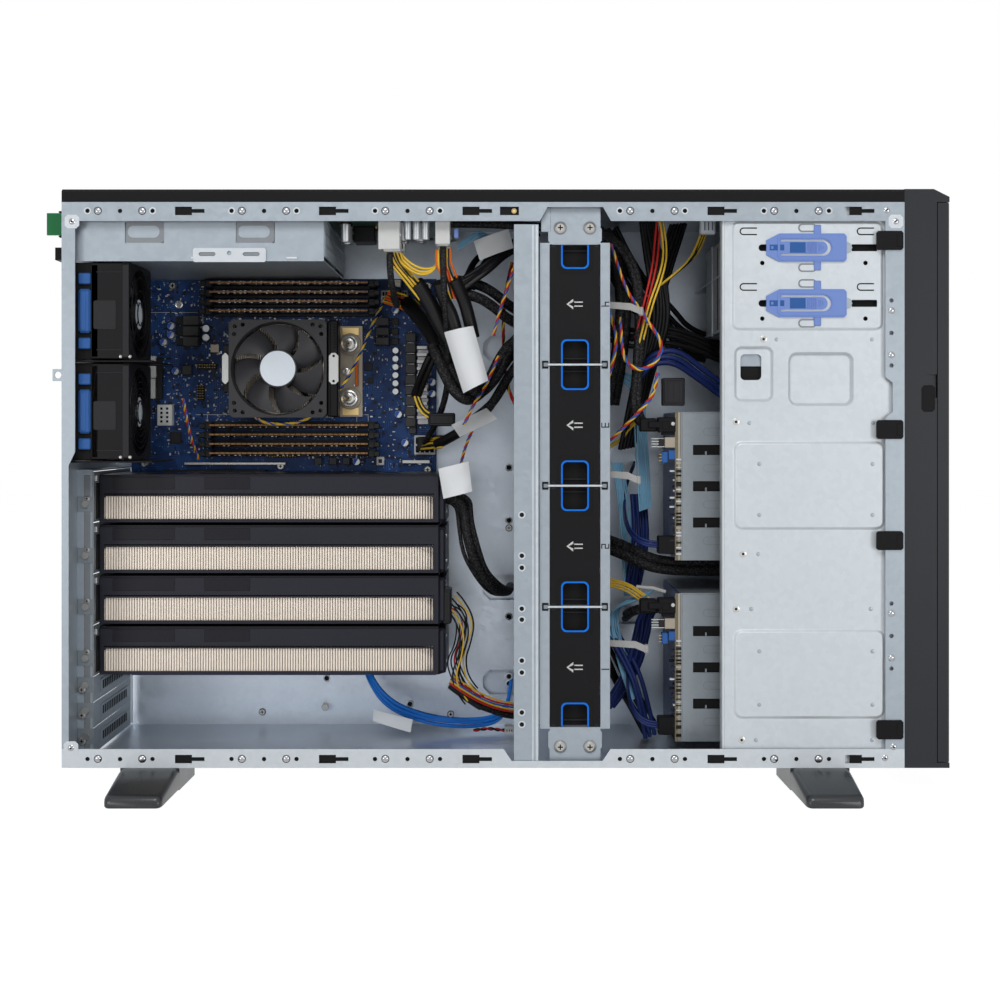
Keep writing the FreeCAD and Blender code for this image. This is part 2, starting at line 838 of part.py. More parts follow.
def build_fans():
    """Four lift-out fan modules, each with finger notches, motor struts and a rotor."""
    x0 = x_fan0 + fit_gap
    x1 = x_fan1 - fit_gap
    x_mid = (x0 + x1) / 2
    rotor_start = stator_inset + stator_thick + rotor_gap
    rotor_length = fan_depth - rotor_start - stator_inset
    for index in range(fan_count):
        y, z = fan_centre(index)
        z0 = z - fan_size / 2
        z1 = z + fan_size / 2
        body = box(x0, x1, y_fan0, y_fan1, z0, z1)
        cuts = [rod_x(x0 - cut_over, x1 + cut_over, y, z, fan_bore_radius)]
        for low, high in ((z0 - cut_over, z0 + finger_height), (z1 - finger_height, z1 + cut_over)):
            cuts.append(box(x_mid - finger_width / 2, x_mid + finger_width / 2,
                            y_fan0 - cut_over, y_fan0 + finger_depth, low, high))
        motor = stator(stator_thick, hub_radius, fan_bore_radius, rotor_length)
        motor.translate(V(x0 + stator_inset, y, z))
        save("fan_module_%d" % (index + 1), [join([body.cut(cuts), motor])])
        wheel = rotor(rotor_length, hub_radius, fan_bore_radius - tip_gap, fan_blade_sweep)
        wheel.translate(V(x0 + rotor_start, y, z))
        save("fan_rotor_%d" % (index + 1), [wheel])


def build_rear_fans():
    """Two rear fan modules with side grips, each with a rotor."""
    x0 = x_rear_fan + rear_fan_grip
    x1 = x0 + rear_fan_depth
    y1 = y_rear_fan + rear_fan_size
    y = y_rear_fan + rear_fan_size / 2
    rotor_start = stator_inset + stator_thick + rotor_gap
    for index in range(2):
        z0 = z_rear_fan - index * rear_fan_pitch
        z1 = z0 + rear_fan_size
        z = (z0 + z1) / 2
        bore = rod_x(x0 - cut_over, x1 + cut_over, y, z, rear_bore_radius)
        collar0 = x1 - rear_collar
        waist0 = collar0 - rear_plate - rear_waist
        frame = [
            box(x0, waist0, y_rear_fan, y1, z0, z1),
            box(waist0, collar0 - rear_plate, y_rear_fan + rear_waist_inset, y1 - rear_waist_inset,
                z0 + rear_waist_inset, z1 - rear_waist_inset),
            box(collar0 - rear_plate, collar0, y_rear_fan, y1, z0, z1),
            rod_x(collar0, x1, y, z, rear_fan_size / 2),
            box(x_rear_fan, x0, y_rear_fan, y_rear_fan + grip_bar, z - grip_span / 2, z + grip_span / 2),
        ]
        for side in (-1, 1):
            z_tab = z + side * (rear_fan_size / 2 - grip_tab)
            frame.append(box(x_rear_fan, x0, y_rear_fan, y_rear_fan + grip_bar,
                             z_tab - grip_tab / 2, z_tab + grip_tab / 2))
        motor = stator(stator_thick, rear_hub_radius, rear_bore_radius, rear_rotor_length)
        motor.translate(V(x0 + stator_inset, y, z))
        save("rear_fan_module_%d" % (index + 1), [join([join(frame).cut(bore), motor])])
        wheel = rotor(rear_rotor_length, rear_hub_radius, rear_bore_radius - tip_gap, rear_blade_sweep)
        wheel.translate(V(x0 + rotor_start, y, z))
        save("rear_fan_rotor_%d" % (index + 1), [wheel])


def build_card_support():
    """Steel channel beside the fans that steadies the free ends of long cards."""
    x0 = x_rear + bracket_offset
    x1 = x0 + bracket_width
    y0 = y_near + bracket_setback
    y1 = y0 + bracket_depth
    z0 = z_floor
    z1 = z_roof - bracket_top_drop
    outline = [
        (x0, y0, z0),
        (x1, y0, z0),
        (x1, y1, z0),
        (x1 - sheet, y1, z0),
        (x1 - sheet, y0 + sheet, z0),
        (x0 + sheet, y0 + sheet, z0),
        (x0 + sheet, y1, z0),
        (x0, y1, z0),
    ]
    channel_bar = prism(outline, (0, 0, z1 - z0))
    cuts = []
    for index in range(card_count + 1):
        z = z_cards - card_thick - (index - 1) * card_pitch
        cuts.append(rod_y(y0 - cut_over, y0 + sheet + cut_over, (x0 + x1) / 2, z, bracket_hole_radius))
    for index in range(card_count):
        z = z_cards - (index + 1) * card_pitch
        cuts.append(box(x0 - cut_over, x0 + sheet + cut_over, y0 + 2 * sheet, y1 - 2 * sheet,
                        z, z + card_pitch / 2))
    save("card_support_bracket", [channel_bar.cut(cuts)])


def build_power():
    """Supply cage, two supplies with handles and release levers, and the power board."""
    x0 = x_rear + sheet
    x1 = x_psu_end
    z0 = z_psu0 - fit_gap - sheet
    y1 = y_psu0 + sheet + 2 * (psu_bay + sheet)
    shell = box(x0, x1, y_psu0, y1, z0, z_ceiling)
    bays = []
    for index in range(2):
        y = y_psu0 + sheet + index * (psu_bay + sheet)
        bays.append(box(x0 - cut_over, x1 + cut_over, y, y + psu_bay, z0 + sheet, z_ceiling - sheet))
    for share in psu_tab_places:
        x = x0 + share
        window = box(x, x + psu_tab_width, y_psu0 - cut_over, y_psu0 + sheet + cut_over, z0 + psu_tab_base,
                     z0 + psu_tab_base + psu_tab_height)
        rim = psu_tab_slit
        tongue = box(x + rim, x + psu_tab_width - rim, y_psu0, y_psu0 + sheet, z0 + psu_tab_base,
                     z0 + psu_tab_base + psu_tab_height - rim)
        bays.append(window.cut(tongue))
    save("psu_cage", [shell.cut(bays)])
    for index in range(2):
        y = y_psu0 + sheet + fit_gap + index * (psu_bay + sheet)
        build_supply(index + 1, y)
    build_power_board()


def build_supply(number, y0):
    """One slide-out supply: case, handle loop and hinged release lever."""
    x0 = x_rear
    z0 = z_psu0
    case = box(x0, x0 + psu_length, y0, y0 + psu_width, z0, z0 + psu_height)
    y_inlet = y0 + psu_width - inlet_side
    inlet = box(x0 - cut_over, x0 + inlet_depth, y_inlet - inlet_width, y_inlet,
                z0 + inlet_base, z0 + inlet_base + inlet_height)
    handle_y = y0 + psu_handle_start
    x_bar = x0 - handle_reach + psu_handle_inset
    handle_end = handle_y + psu_handle_span
    z_grip0 = z0 + sheet
    z_grip1 = z0 + psu_handle_height
    loop = [
        box(x_bar, x_bar + psu_handle_bar, handle_y, handle_end, z_grip0, z_grip1),
        box(x_bar, x0, handle_y, handle_y + psu_handle_bar, z_grip0, z_grip1),
        box(x_bar, x0, handle_end - psu_handle_bar, handle_end, z_grip0, z_grip1),
    ]
    x_pin = x0 - lever_barrel - fit_gap
    y_pin = y0 + lever_inset
    z_lever = z0 + psu_height - lever_drop - psu_latch_height
    z_ear = z_lever + psu_latch_height + fit_gap
    z_low = z_lever - fit_gap - sheet
    x_ear = x_pin - lever_barrel
    y_ear0 = y_pin - lever_barrel
    y_ear1 = y_pin + lever_barrel
    ears = [
        box(x_ear, x0, y_ear0, y_ear1, z_low, z_low + sheet),
        box(x_ear, x0, y_ear0, y_ear1, z_ear, z_ear + sheet),
        rod_z(z_low, z_ear + sheet, x_pin, y_pin, latch_pin_radius),
    ]
    save("psu_module_%d" % number, [join([case.cut(inlet)] + loop + ears)])
    barrel = rod_z(z_lever, z_lever + psu_latch_height, x_pin, y_pin, lever_barrel)
    x_tip = x0 - handle_reach
    blade = prism([
        (x_tip, y_pin - lever_barrel, z_lever),
        (x_tip, y_pin - lever_barrel + lever_thick, z_lever),
        (x_pin, y_pin, z_lever),
        (x_pin, y_pin - lever_barrel, z_lever),
    ], (0, 0, psu_latch_height))
    z_top = z_lever + psu_latch_height
    bore = rod_z(z_lever - cut_over, z_top + cut_over, x_pin, y_pin, latch_pin_radius + pin_gap)
    save("psu_latch_%d" % number, [join([barrel, blade]).cut(bore)])


def build_power_board():
    """Power distribution board under the roof with its sockets and capacitors."""
    x0 = x_psu_end
    x1 = x0 + power_board_length
    y0 = y_psu0 + sheet
    y1 = y0 + 2 * psu_bay
    z1 = z_ceiling - power_board_stand
    z0 = z1 - power_board_thick
    pieces = [box(x0, x1, y0, y1, z0, z1)]
    for x in (x0 + power_board_stand, x1 - power_board_stand):
        for y in (y0 + power_board_stand, y1 - power_board_stand):
            half = stand_radius
            pieces.append(box(x - half, x + half, y - half, y + half, z1, z_ceiling))
    for offset, width, drop in power_sockets:
        pieces.append(box(x0 + offset, x0 + offset + width, y0, y0 + power_socket_depth, z0 - drop, z0))
    for index in range(power_cap_count):
        x = x0 + power_cap_start + index * power_cap_pitch
        pieces.append(rod_z(z0 - power_cap_height, z0, x, y0 + power_cap_row, power_cap_radius))
    save("power_board", pieces)


def on_board(across, drop, width, height, rise):
    """Block standing on the main board, placed from the board's rear top corner."""
    x = x_board + across
    z = z_board_top - drop
    return box(x, x + width, y_board - rise, y_board, z - height, z)


def build_motherboard():
    """Main board with its sockets, coils, capacitors and port blocks."""
    save("motherboard", [box(x_board, x_board + board_length, y_board, y_board + board_thick,
                             z_board_top - board_height, z_board_top)])
    pieces = [on_board(*block) for block in board_blocks]
    for index in range(choke_count):
        drop = choke_drop + index * choke_pitch
        pieces.append(on_board(choke_across, drop, choke_width, choke_size, choke_size))
    for index in range(cap_count):
        x = x_board + cap_across
        z = z_board_top - cap_drop - index * cap_pitch
        pieces.append(rod_y(y_board - cap_rise, y_board, x, z, cap_radius))
    for index in range(heatsink_fin_count):
        drop = heatsink_drop + index * heatsink_fin_pitch
        pieces.append(on_board(heatsink_across, drop, heatsink_width, heatsink_fin_pitch / 2, heatsink_rise))
    groove = card_board_thick + 2 * socket_gap
    for index in range(card_count):
        z = card_top(index) - card_board_thick / 2
        socket = box(x_socket, x_socket + slot_socket_length, y_board - slot_socket_rise, y_board,
                     z - slot_socket_width / 2, z + slot_socket_width / 2)
        key = box(x_socket + socket_wall, x_socket + slot_socket_length - socket_wall,
                  y_board - slot_socket_rise - cut_over, y_board - socket_wall,
                  z - groove / 2, z + groove / 2)
        pieces.append(socket.cut(key))
    save("board_components", pieces)


def build_memory():
    """Two banks of memory sockets with end latches, and a module in each."""
    sockets = []
    modules = []
    groove = memory_thick + 2 * socket_gap
    x0 = x_board + memory_offset
    x1 = x0 + memory_length
    for bank_drop in (upper_memory_drop, lower_memory_drop):
        for index in range(memory_count):
            z = z_board_top - bank_drop - index * memory_pitch
            half = memory_socket_width / 2
            y_body = y_board - memory_socket_rise
            body = box(x0 - memory_end, x1 + memory_end, y_body, y_board, z - half, z + half)
            ends = [
                box(x0 - memory_end, x0 - socket_gap, y_board - memory_end_rise, y_board, z - half, z + half),
                box(x1 + socket_gap, x1 + memory_end, y_board - memory_end_rise, y_board, z - half, z + half),
            ]
            key = box(x0 - socket_gap, x1 + socket_gap, y_board - memory_end_rise, y_board - socket_wall,
                      z - groove / 2, z + groove / 2)
            sockets.append(join([body] + ends).cut(key))
            modules.append(box(x0, x1, y_board - memory_rise, y_board - socket_wall,
                               z - memory_thick / 2, z + memory_thick / 2))
    save("memory_slots", sockets)
    save("memory_modules", modules)


def build_cooler():
    """Processor frame, finned heatsink, and the fan that blows down on it."""
    x = x_board + cooler_offset
    z = z_board_top - cooler_drop
    half = cooler_size / 2
    x_frame1 = x + half + socket_frame_reach
    frame = box(x - half - socket_frame_thick, x_frame1, y_board - socket_frame_thick, y_board,
                z - half + sheet, z + half - sheet)
    window = cooler_base / 2 + sheet
    frame = frame.cut(box(x - window, x + window, y_board - socket_frame_thick - cut_over, y_board + cut_over,
                          z - window, z + window))
    posts = []
    for side in (-1, 1):
        z_post = z + side * spring_post_spread
        x_post = x_frame1 - spring_post_inset
        posts.append(rod_y(y_board - spring_post_rise, y_board, x_post, z_post, spring_post_radius))
    save("cpu_socket_frame", [join([frame] + posts)])
    y_fan = y_board - cooler_rise + cooler_fan_thick
    y_base = y_board - cooler_base_rise
    base = cooler_base / 2
    heatsink = [
        box(x - base, x + base, y_base, y_board, z - base, z + base),
        box(x - half, x + half, y_base - cooler_plate, y_base, z - half, z + half),
    ]
    pitch = (cooler_size - cooler_fin_thick) / (cooler_fin_count - 1)
    for index in range(cooler_fin_count):
        x_fin = x - half + index * pitch
        x_fin1 = x_fin + cooler_fin_thick
        heatsink.append(box(x_fin, x_fin1, y_fan, y_base - cooler_plate, z - half, z + half))
    save("cpu_heatsink", [join(heatsink)])
    body = box(x - half, x + half, y_fan - cooler_fan_thick, y_fan, z - half, z + half)
    bore_radius = half - cooler_rim
    body = body.cut(rod_y(y_fan - cooler_fan_thick - cut_over, y_fan + cut_over, x, z, bore_radius))
    rotor_start = sheet + cooler_stator + rotor_gap
    rotor_length = cooler_fan_thick - rotor_start - sheet
    motor = stator(cooler_stator, cooler_hub_radius, bore_radius, rotor_length)
    motor.rotate(V(0, 0, 0), V(0, 0, 1), -90)
    motor.translate(V(x, y_fan - sheet, z))
    save("cpu_fan_frame", [join([body, motor])])
    wheel = rotor(rotor_length, cooler_hub_radius, bore_radius - tip_gap, cooler_blade_sweep)
    wheel.rotate(V(0, 0, 0), V(0, 0, 1), -90)
    wheel.translate(V(x, y_fan - rotor_start, z))
    save("cpu_fan_rotor", [wheel])


def card_top(index):
    """Height of the upper face of one graphics card, counted from the top."""
    return z_cards - index * card_pitch


def build_cards():
    """Four double-width cards: shroud, fin stack, board and bracket."""
    x0 = x_slot + fit_gap
    x1 = x0 + card_length
    y1 = y_board - slot_socket_rise - cut_over
    fins = []
    boards = []
    for index in range(card_count):
        z1 = card_top(index) - card_board_thick
        z0 = card_top(index) - card_thick
        outline = [
            (x0, y_card, z0),
            (x1, y_card, z0),
            (x1 + card_nose, y_card + 2 * card_nose, z0),
            (x1 + card_nose, y1 - 2 * card_nose, z0),
            (x1, y1, z0),
            (x0, y1, z0),
        ]
        shell = prism(outline, (0, 0, z1 - z0))
        hollow = box(x0 + card_shell, x1 - card_shell, y_card + card_shell, y1 - card_shell,
                     z0 + card_shell, z1 + cut_over)
        z_window = card_top(index) - card_window_drop
        window = box(x0 + card_window_inset, x1 - card_window_inset,
                     y_card - cut_over, y_card + 2 * card_shell, z_window - card_window_height, z_window)
        save("card_shroud_%d" % (index + 1), [shell.cut([hollow, window])])
        stack_x0 = x0 + card_window_inset
        stack_x1 = x1 - card_window_inset
        y_fin0 = y_card + card_shell + fit_gap
        y_fin1 = y_fin0 + card_fin_depth
        stack = [box(stack_x0, stack_x1, y_fin0, y_fin1, z_window + fit_gap, z1)]
        pitch = (stack_x1 - stack_x0 - card_fin_thick) / (card_fin_count - 1)
        for place in range(card_fin_count):
            x = stack_x0 + place * pitch
            stack.append(box(x, x + card_fin_thick, y_fin0, y_fin1,
                             z_window - card_window_height, z_window + fit_gap))
        fins.append(join(stack))
        board = box(x0, x1, y_card + card_shell, y1, z1, card_top(index))
        seat = socket_wall + socket_gap
        edge = box(x_socket + seat, x_socket + slot_socket_length - seat,
                   y1, y_board - seat, z1, card_top(index))
        boards.append(join([board, edge]))
    save("card_fin_stacks", fins)
    save("card_boards", boards)


def slot_plate(z0, z1, z_tab0, z_tab1):
    """Slot cover or card bracket with its bent screw tab on the ledge."""
    y_tab = y_ledge - sheet - card_bracket_thick
    plate = box(x_slot - card_bracket_thick, x_slot, y_tab, y_board - cut_over, z0, z1)
    tab = box(x_slot - slot_tab_length, x_slot, y_tab, y_tab + card_bracket_thick, z_tab0, z_tab1)
    return join([plate, tab])


def build_slot_plates():
    """Card brackets and the covers of the free slots."""
    brackets = []
    for index in range(card_count):
        z1 = z_slots1 - index * card_pitch - fit_gap
        z0 = z1 - card_pitch + 2 * fit_gap
        brackets.append(slot_plate(z0, z1, z0 + slot_pitch - slot_tab_width, z0 + slot_pitch))
    save("card_brackets", brackets)
    blanks = []
    for index in range(blank_count):
        z0 = z_slots0 + index * slot_pitch + fit_gap
        z1 = z0 + slot_pitch - 2 * fit_gap
        blanks.append(slot_plate(z0, z1, z1 - slot_tab_width, z1))
    save("slot_covers", blanks)


def pressed_pad(x0, x1, z0, z1):
    """Panel pressed out of the drive bay plate towards the open side, with sloped edges."""
    wires = []
    for y, inset in ((y_plate + sheet / 2, 0), (y_plate - pad_rise, pad_bevel)):
        corners = [
            V(x0 + inset, y, z0 + inset),
            V(x1 - inset, y, z0 + inset),
            V(x1 - inset, y, z1 - inset),
            V(x0 + inset, y, z1 - inset),
        ]
        wires.append(Part.makePolygon(corners + corners[:1]))
    return Part.makeLoft(wires, True, True)


def latch_places():
    """Rear ends and mid heights of the two drive latches."""
    return [(x_plate + latch_inset, z_roof - latch_drop - index * bay_pitch) for index in range(2)]


def build_drive_bays():
    """Near plate of the drive bays with its shelves, slots and pressed panels, and the latches."""
    x1 = x_front - sheet
    plate = box(x_plate, x1, y_plate, y_plate + sheet, z_floor, z_ceiling)
    cuts = []
    latch_stem_x = latch_length / 2
    for x, z in latch_places():
        stem = x + latch_stem_x
        reach = latch_stem / 2 + fit_gap
        cuts.append(box(stem - fit_gap, stem + latch_stem + latch_travel + fit_gap,
                        y_plate - cut_over, y_plate + sheet + cut_over, z - reach, z + reach))
        slot = x + latch_length + fit_gap
        cuts.append(box(slot, x1 - bay_slot_inset, y_plate - cut_over, y_plate + sheet + cut_over,
                        z - bay_slot_height / 2, z + bay_slot_height / 2))
    plate = plate.cut(cuts)
    pads = [pressed_pad(x_plate + a, x_plate + b, z_base + c, z_base + d) for a, b, c, d in plate_pads]
    shelves = []
    for index in range(2):
        z = z_roof - bay_top_drop - bay_height - index * bay_pitch - sheet
        shelves.append(box(x_plate, x1, y_plate, y_tray, z, z + sheet))
    save("drive_bay_plate", [join([plate] + pads + shelves)])
    for index, (x, z) in enumerate(latch_places()):
        save("drive_latch_%d" % (index + 1), [drive_latch(x, z)])


def drive_latch(x, z):
    """Sliding bay latch: pointed plate, two side lugs and a guide stem."""
    y0 = y_plate - latch_thick
    half = latch_height / 2
    x1 = x + latch_length
    outline = [
        (x, y0, z - latch_point / 4),
        (x + latch_point, y0, z - half),
        (x1, y0, z - half),
        (x1, y0, z + half),
        (x + latch_point, y0, z + half),
        (x, y0, z + latch_point / 4),
    ]
    plate = prism(outline, (0, latch_thick, 0))
    x_lug = x1 - latch_lug_inset
    lugs = box(x_lug, x_lug + latch_lug, y0, y_plate, z - half - latch_lug, z + half + latch_lug)
    stem_x = x + latch_length / 2
    stem = box(stem_x, stem_x + latch_stem, y_plate, y_plate + sheet + latch_thick,
               z - latch_stem / 2, z + latch_stem / 2)
    slit = latch_thick / 2
    spring_x0 = x + latch_point
    y_out = y0 - cut_over
    y_in = y_plate + cut_over
    reach = half / 2
    around = box(spring_x0, stem_x - slit, y_out, y_in, z - reach, z + reach)
    tongue = box(spring_x0, stem_x - 2 * slit, y_out, y_in, z - reach + slit, z + reach - slit)
    return join([plate, lugs, stem]).cut(around.cut(tongue))


def build_drive_cages():
    """Two drive cages with their trays and backplanes."""
    x1 = x_front - sheet
    cages = []
    backplanes = []
    trays = []
    tray_pitch = (cage_height - 2 * sheet) / trays_per_cage
    for base in cage_bases:
        z0 = z_base + base
        z1 = z0 + cage_height
        cage = box(x_drive_cage, x1, y_cage0, y_cage1, z0, z1)
        hollow = box(x_drive_cage - cut_over, x1 + cut_over, y_cage0 + sheet, y_cage1 - sheet,
                     z0 + sheet, z1 - sheet)
        slots = []
        for index in range(1, trays_per_cage):
            z = z0 + sheet + index * tray_pitch
            x_slot0 = x_drive_cage + cage_slot_inset
            slots.append(box(x_slot0, x_slot0 + cage_slot_length,
                             y_cage0 - cut_over, y_cage0 + sheet + cut_over,
                             z - cage_slot_height / 2, z + cage_slot_height / 2))
        cages.append(cage.cut([hollow] + slots))
        xb = x_drive_cage - backplane_thick
        backplanes.append(box(xb, x_drive_cage, y_cage0, y_cage1, z0, z1))
        for z_socket in (z1 - backplane_socket, z0 + backplane_socket):
            backplanes.append(box(xb - backplane_socket, xb, y_cage0 + sheet, y_cage0 + backplane_socket,
                                  z_socket - backplane_socket / 2, z_socket + backplane_socket / 2))
        for index in range(trays_per_cage):
            z = z0 + sheet + index * tray_pitch
            trays.append(drive_tray(z + fit_gap, z + tray_pitch - fit_gap))
    save("drive_cages", cages)
    save("drive_backplanes", backplanes)
    save("drive_trays", trays)


def drive_tray(z0, z1):
    """Hot-swap tray: drive body, rails and a latch face with a pull recess."""
    y0 = y_cage0 + sheet + fit_gap
    y1 = y_cage1 - sheet - fit_gap
    x_face = x_web1 - tray_face
    body = box(x_drive_cage + tray_tail, x_face, y0, y1, z0, z1)
    face = box(x_face, x_web1 - fit_gap, y0, y1, z0, z1)
    pull = box(x_web1 - tray_pull, x_web1 + cut_over, y0 + tray_pull, y1 - tray_pull,
               z0 + tray_pull, z1 - tray_pull)
    side = box(x_drive_cage + tray_tail - cut_over, x_face - tray_pull, y0 - cut_over, y0 + tray_wall,
               z0 + tray_pull, z1 - tray_pull)
    return join([body, face]).cut([pull, side])


def build_bezel():
    """Front bezel with its top cap and hinge pins, the door and the power button."""
    z_cap = z_roof + top_cover_height
    ring = box(x_front, x_web1, y_near, y_far, z_base, z_roof)
    wall = bezel_wall
    ring = ring.cut(box(x_front - cut_over, x_web1 - wall, y_near + wall, y_far - wall,
                        z_base + wall, z_roof - wall))
    cuts = []
    for base in cage_bases:
        z = z_base + base
        cuts.append(box(x_front, x_bezel, y_cage0 + sheet, y_cage1 - sheet,
                        z + sheet, z + cage_height - sheet))
    for index in range(2):
        z1 = z_roof - bay_top_drop - index * bay_pitch
        y0 = y_plate + sheet + bay_side
        rim = box(x_web1 - wall / 2, x_bezel, y0, y0 + bay_width, z1 - bay_height, z1)
        blank = box(x_web1 - wall, x_bezel, y0 + sheet, y0 + bay_width - sheet,
                    z1 - bay_height + sheet, z1 - sheet)
        cuts.append(rim.cut(blank))
    z_grip = z_roof - grip_drop
    cuts.append(prism([
        (x_web1 - grip_width, y_near, z_grip),
        (x_web1, y_near, z_grip),
        (x_web1, y_near + grip_depth, z_grip),
    ], (0, 0, grip_height)))
    ring = ring.cut(cuts)
    cap = prism([
        (x_front, y_near, z_roof),
        (x_bezel, y_near, z_roof),
        (x_bezel, y_near, z_cap - bezel_chamfer),
        (x_bezel - 2 * bezel_chamfer, y_near, z_cap),
        (x_front, y_near, z_cap),
    ], (0, case_width, 0))
    lip = box(x_web1 - wall, x_bezel, y_near, y_far, z_base, z_base + door_end_lip)
    x_pin = x_door + door_thick / 2
    y_pin = y_far - door_thick / 2
    z_door0 = z_base + door_end_lip + door_gap
    z_door1 = z_roof - door_gap
    pins = [
        rod_z(z_base + door_end_lip / 2, z_door0 + door_pin_length, x_pin, y_pin, door_pin_radius),
        rod_z(z_door1 - door_pin_length, z_roof + door_end_lip / 2, x_pin, y_pin, door_pin_radius),
    ]
    x_button = x_front + (x_web1 - x_front) / 2
    y_button = y_near + button_setback
    z_under = z_roof - wall
    bore = rod_z(z_under - cut_over, z_cap + cut_over, x_button, y_button, button_radius + fit_gap)
    save("front_bezel", [join([ring, cap, lip] + pins).cut(bore)])
    slab = box(x_door, x_bezel, y_near, y_pin, z_door0, z_door1)
    knuckle = rod_z(z_door0, z_door1, x_pin, y_pin, door_thick / 2)
    pocket = box(x_door - cut_over, x_bezel - door_wall, y_near + 2 * door_wall, y_pin - door_thick,
                 z_door0 + door_wall, z_door1 - door_wall)
    bore_depth = door_pin_length + fit_gap
    bores = [
        rod_z(z_door0 - cut_over, z_door0 + bore_depth, x_pin, y_pin, door_pin_radius + pin_gap),
        rod_z(z_door1 - bore_depth, z_door1 + cut_over, x_pin, y_pin, door_pin_radius + pin_gap),
    ]
    door = join([slab, knuckle]).cut([pocket] + bores)
    front_edges = [edge for edge in door.Edges if is_door_edge(edge)]
    save("bezel_door", [door.makeChamfer(door_wall / 2, front_edges)])
    stem = rod_z(z_under - button_travel, z_cap + button_rise, x_button, y_button, button_radius)
    flange = rod_z(z_under - 2 * button_travel, z_under, x_button, y_button, button_radius + button_rise)
    save("power_button", [join([stem, flange])])


def is_door_edge(edge):
    """True for the long outer edge of the door on the open side."""
    box_of_edge = edge.BoundBox
    on_front = abs(box_of_edge.XMin - x_bezel) < pin_gap
    on_near = abs(box_of_edge.YMax - y_near) < pin_gap
    return on_front and on_near and box_of_edge.ZLength > door_thick


def foot(x, y):
    """Swing-out foot under the near side: tapered plan, sloped toe and pivot bore."""
    y_tip = y_near - foot_reach
    y_root = y_tip + foot_length
    half_tip = foot_width / 2
    half_root = foot_root_width / 2
    plan = prism([
        (x - half_tip, y_tip, 0),
        (x + half_tip, y_tip, 0),
        (x + half_root, y_root, 0),
        (x - half_root, y_root, 0),
    ], (0, 0, foot_height))
    side = prism([
        (x - half_root, y_tip, 0),
        (x - half_root, y_tip, foot_toe_height),
        (x - half_root, y_near - foot_shoulder, foot_height),
        (x - half_root, y_root, foot_height),
        (x - half_root, y_root, 0),
    ], (foot_root_width, 0, 0))
    depth = foot_toe_height + fit_gap
    bore = rod_z(foot_height - depth, foot_height + cut_over, x, y, foot_pin_radius + pin_gap)
    hollow = prism([
        (x - half_tip + foot_wall, y_tip + foot_wall, 0),
        (x + half_tip - foot_wall, y_tip + foot_wall, 0),
        (x + half_tip - foot_wall, y_near - foot_shoulder, 0),
        (x - half_tip + foot_wall, y_near - foot_shoulder, 0),
    ], (0, 0, foot_toe_height - foot_wall))
    return plan.common(side).cut([bore, hollow])


def build_feet():
    """Four swing-out feet, a pair on each side."""
    for name, offset in zip(("rear", "front"), foot_offsets):
        near = foot(x_rear + offset, y_near + foot_pivot_inset)
        save("foot_%s_near" % name, [near])
        save("foot_%s_far" % name, [mirror_far(near)])


def build_switch():
    """Cover switch under the roof and its plunger with a tapered nose."""
    z = z_roof - rail_row
    y0 = y_near + sheet + fit_gap
    half_slot = switch_slot / 2
    body = box(x_switch - half_slot, x_switch + half_slot, y0, y0 + switch_body,
               z - switch_body / 2, z_ceiling)
    x_plunger = x_switch + plunger_offset
    bore = rod_y(y0 - cut_over, y0 + switch_body - sheet, x_plunger, z, plunger_radius + pin_gap)
    save("intrusion_switch", [body.cut(bore)])
    y_tip = y_near - plunger_travel / 2
    y_end = y0 + switch_body - sheet - plunger_travel - fit_gap
    plunger = turned_x([
        (0, 0),
        (0, plunger_radius - plunger_bevel),
        (plunger_bevel, plunger_radius),
        (y_end - y_tip, plunger_radius),
        (y_end - y_tip, 0),
    ])
    plunger.rotate(V(0, 0, 0), V(0, 0, 1), 90)
    plunger.translate(V(x_plunger, y_tip, z))
    save("intrusion_plunger", [plunger])


def build_screws():
    """Six-sided heads of the screws that hold brackets, slot covers and the fan cage."""
    heads = []
    y_tab = y_ledge - sheet - card_bracket_thick
    x_tab = x_slot - slot_tab_length / 2
    for index in range(card_count):
        z = z_slots1 - (index + 1) * card_pitch + fit_gap + slot_pitch - slot_tab_width / 2
        heads.append(hexagon_y(y_tab - screw_head, y_tab, x_tab, z, screw_radius))
    for index in range(blank_count):
        z = z_slots0 + (index + 1) * slot_pitch - fit_gap - slot_tab_width / 2
        heads.append(hexagon_y(y_tab - screw_head, y_tab, x_tab, z, screw_radius))
    x_mid = (x_fan0 + x_fan1) / 2
    z_top = z_fan0 + fan_count * fan_pitch
    for z in ((z_floor + z_fan0 - sheet) / 2, (z_top + z_ceiling) / 2 - screw_radius):
        for side in (-1, 1):
            x = x_mid + side * bracket_screw_spread
            heads.append(hexagon_y(y_fan0 - screw_head, y_fan0, x, z, screw_radius))
    save("chassis_screws", heads)


def rounded_route(places):
    """Straight runs joined by tangent arcs, each as large as its two runs allow."""
    edges = []
    radii = []
    start = places[0]
    for before, corner, after in zip(places, places[1:], places[2:]):
        back = before - corner
        ahead = after - corner
        trim = arc_share * min(back.Length, ahead.Length)
        half_turn = (math.pi - back.getAngle(ahead)) / 2
        radii.append(trim / math.tan(half_turn))
        back.normalize()
        ahead.normalize()
        enter = corner + back * trim
        leave = corner + ahead * trim
        middle = (back + ahead).normalize()
        to_centre = trim / math.sin(half_turn)
        crown = corner + middle * (to_centre - radii[-1])
        edges.append(Part.LineSegment(start, enter).toShape())
        edges.append(Part.Arc(enter, crown, leave).toShape())
        start = leave
    edges.append(Part.LineSegment(start, places[-1]).toShape())
    return Part.Wire(edges), radii


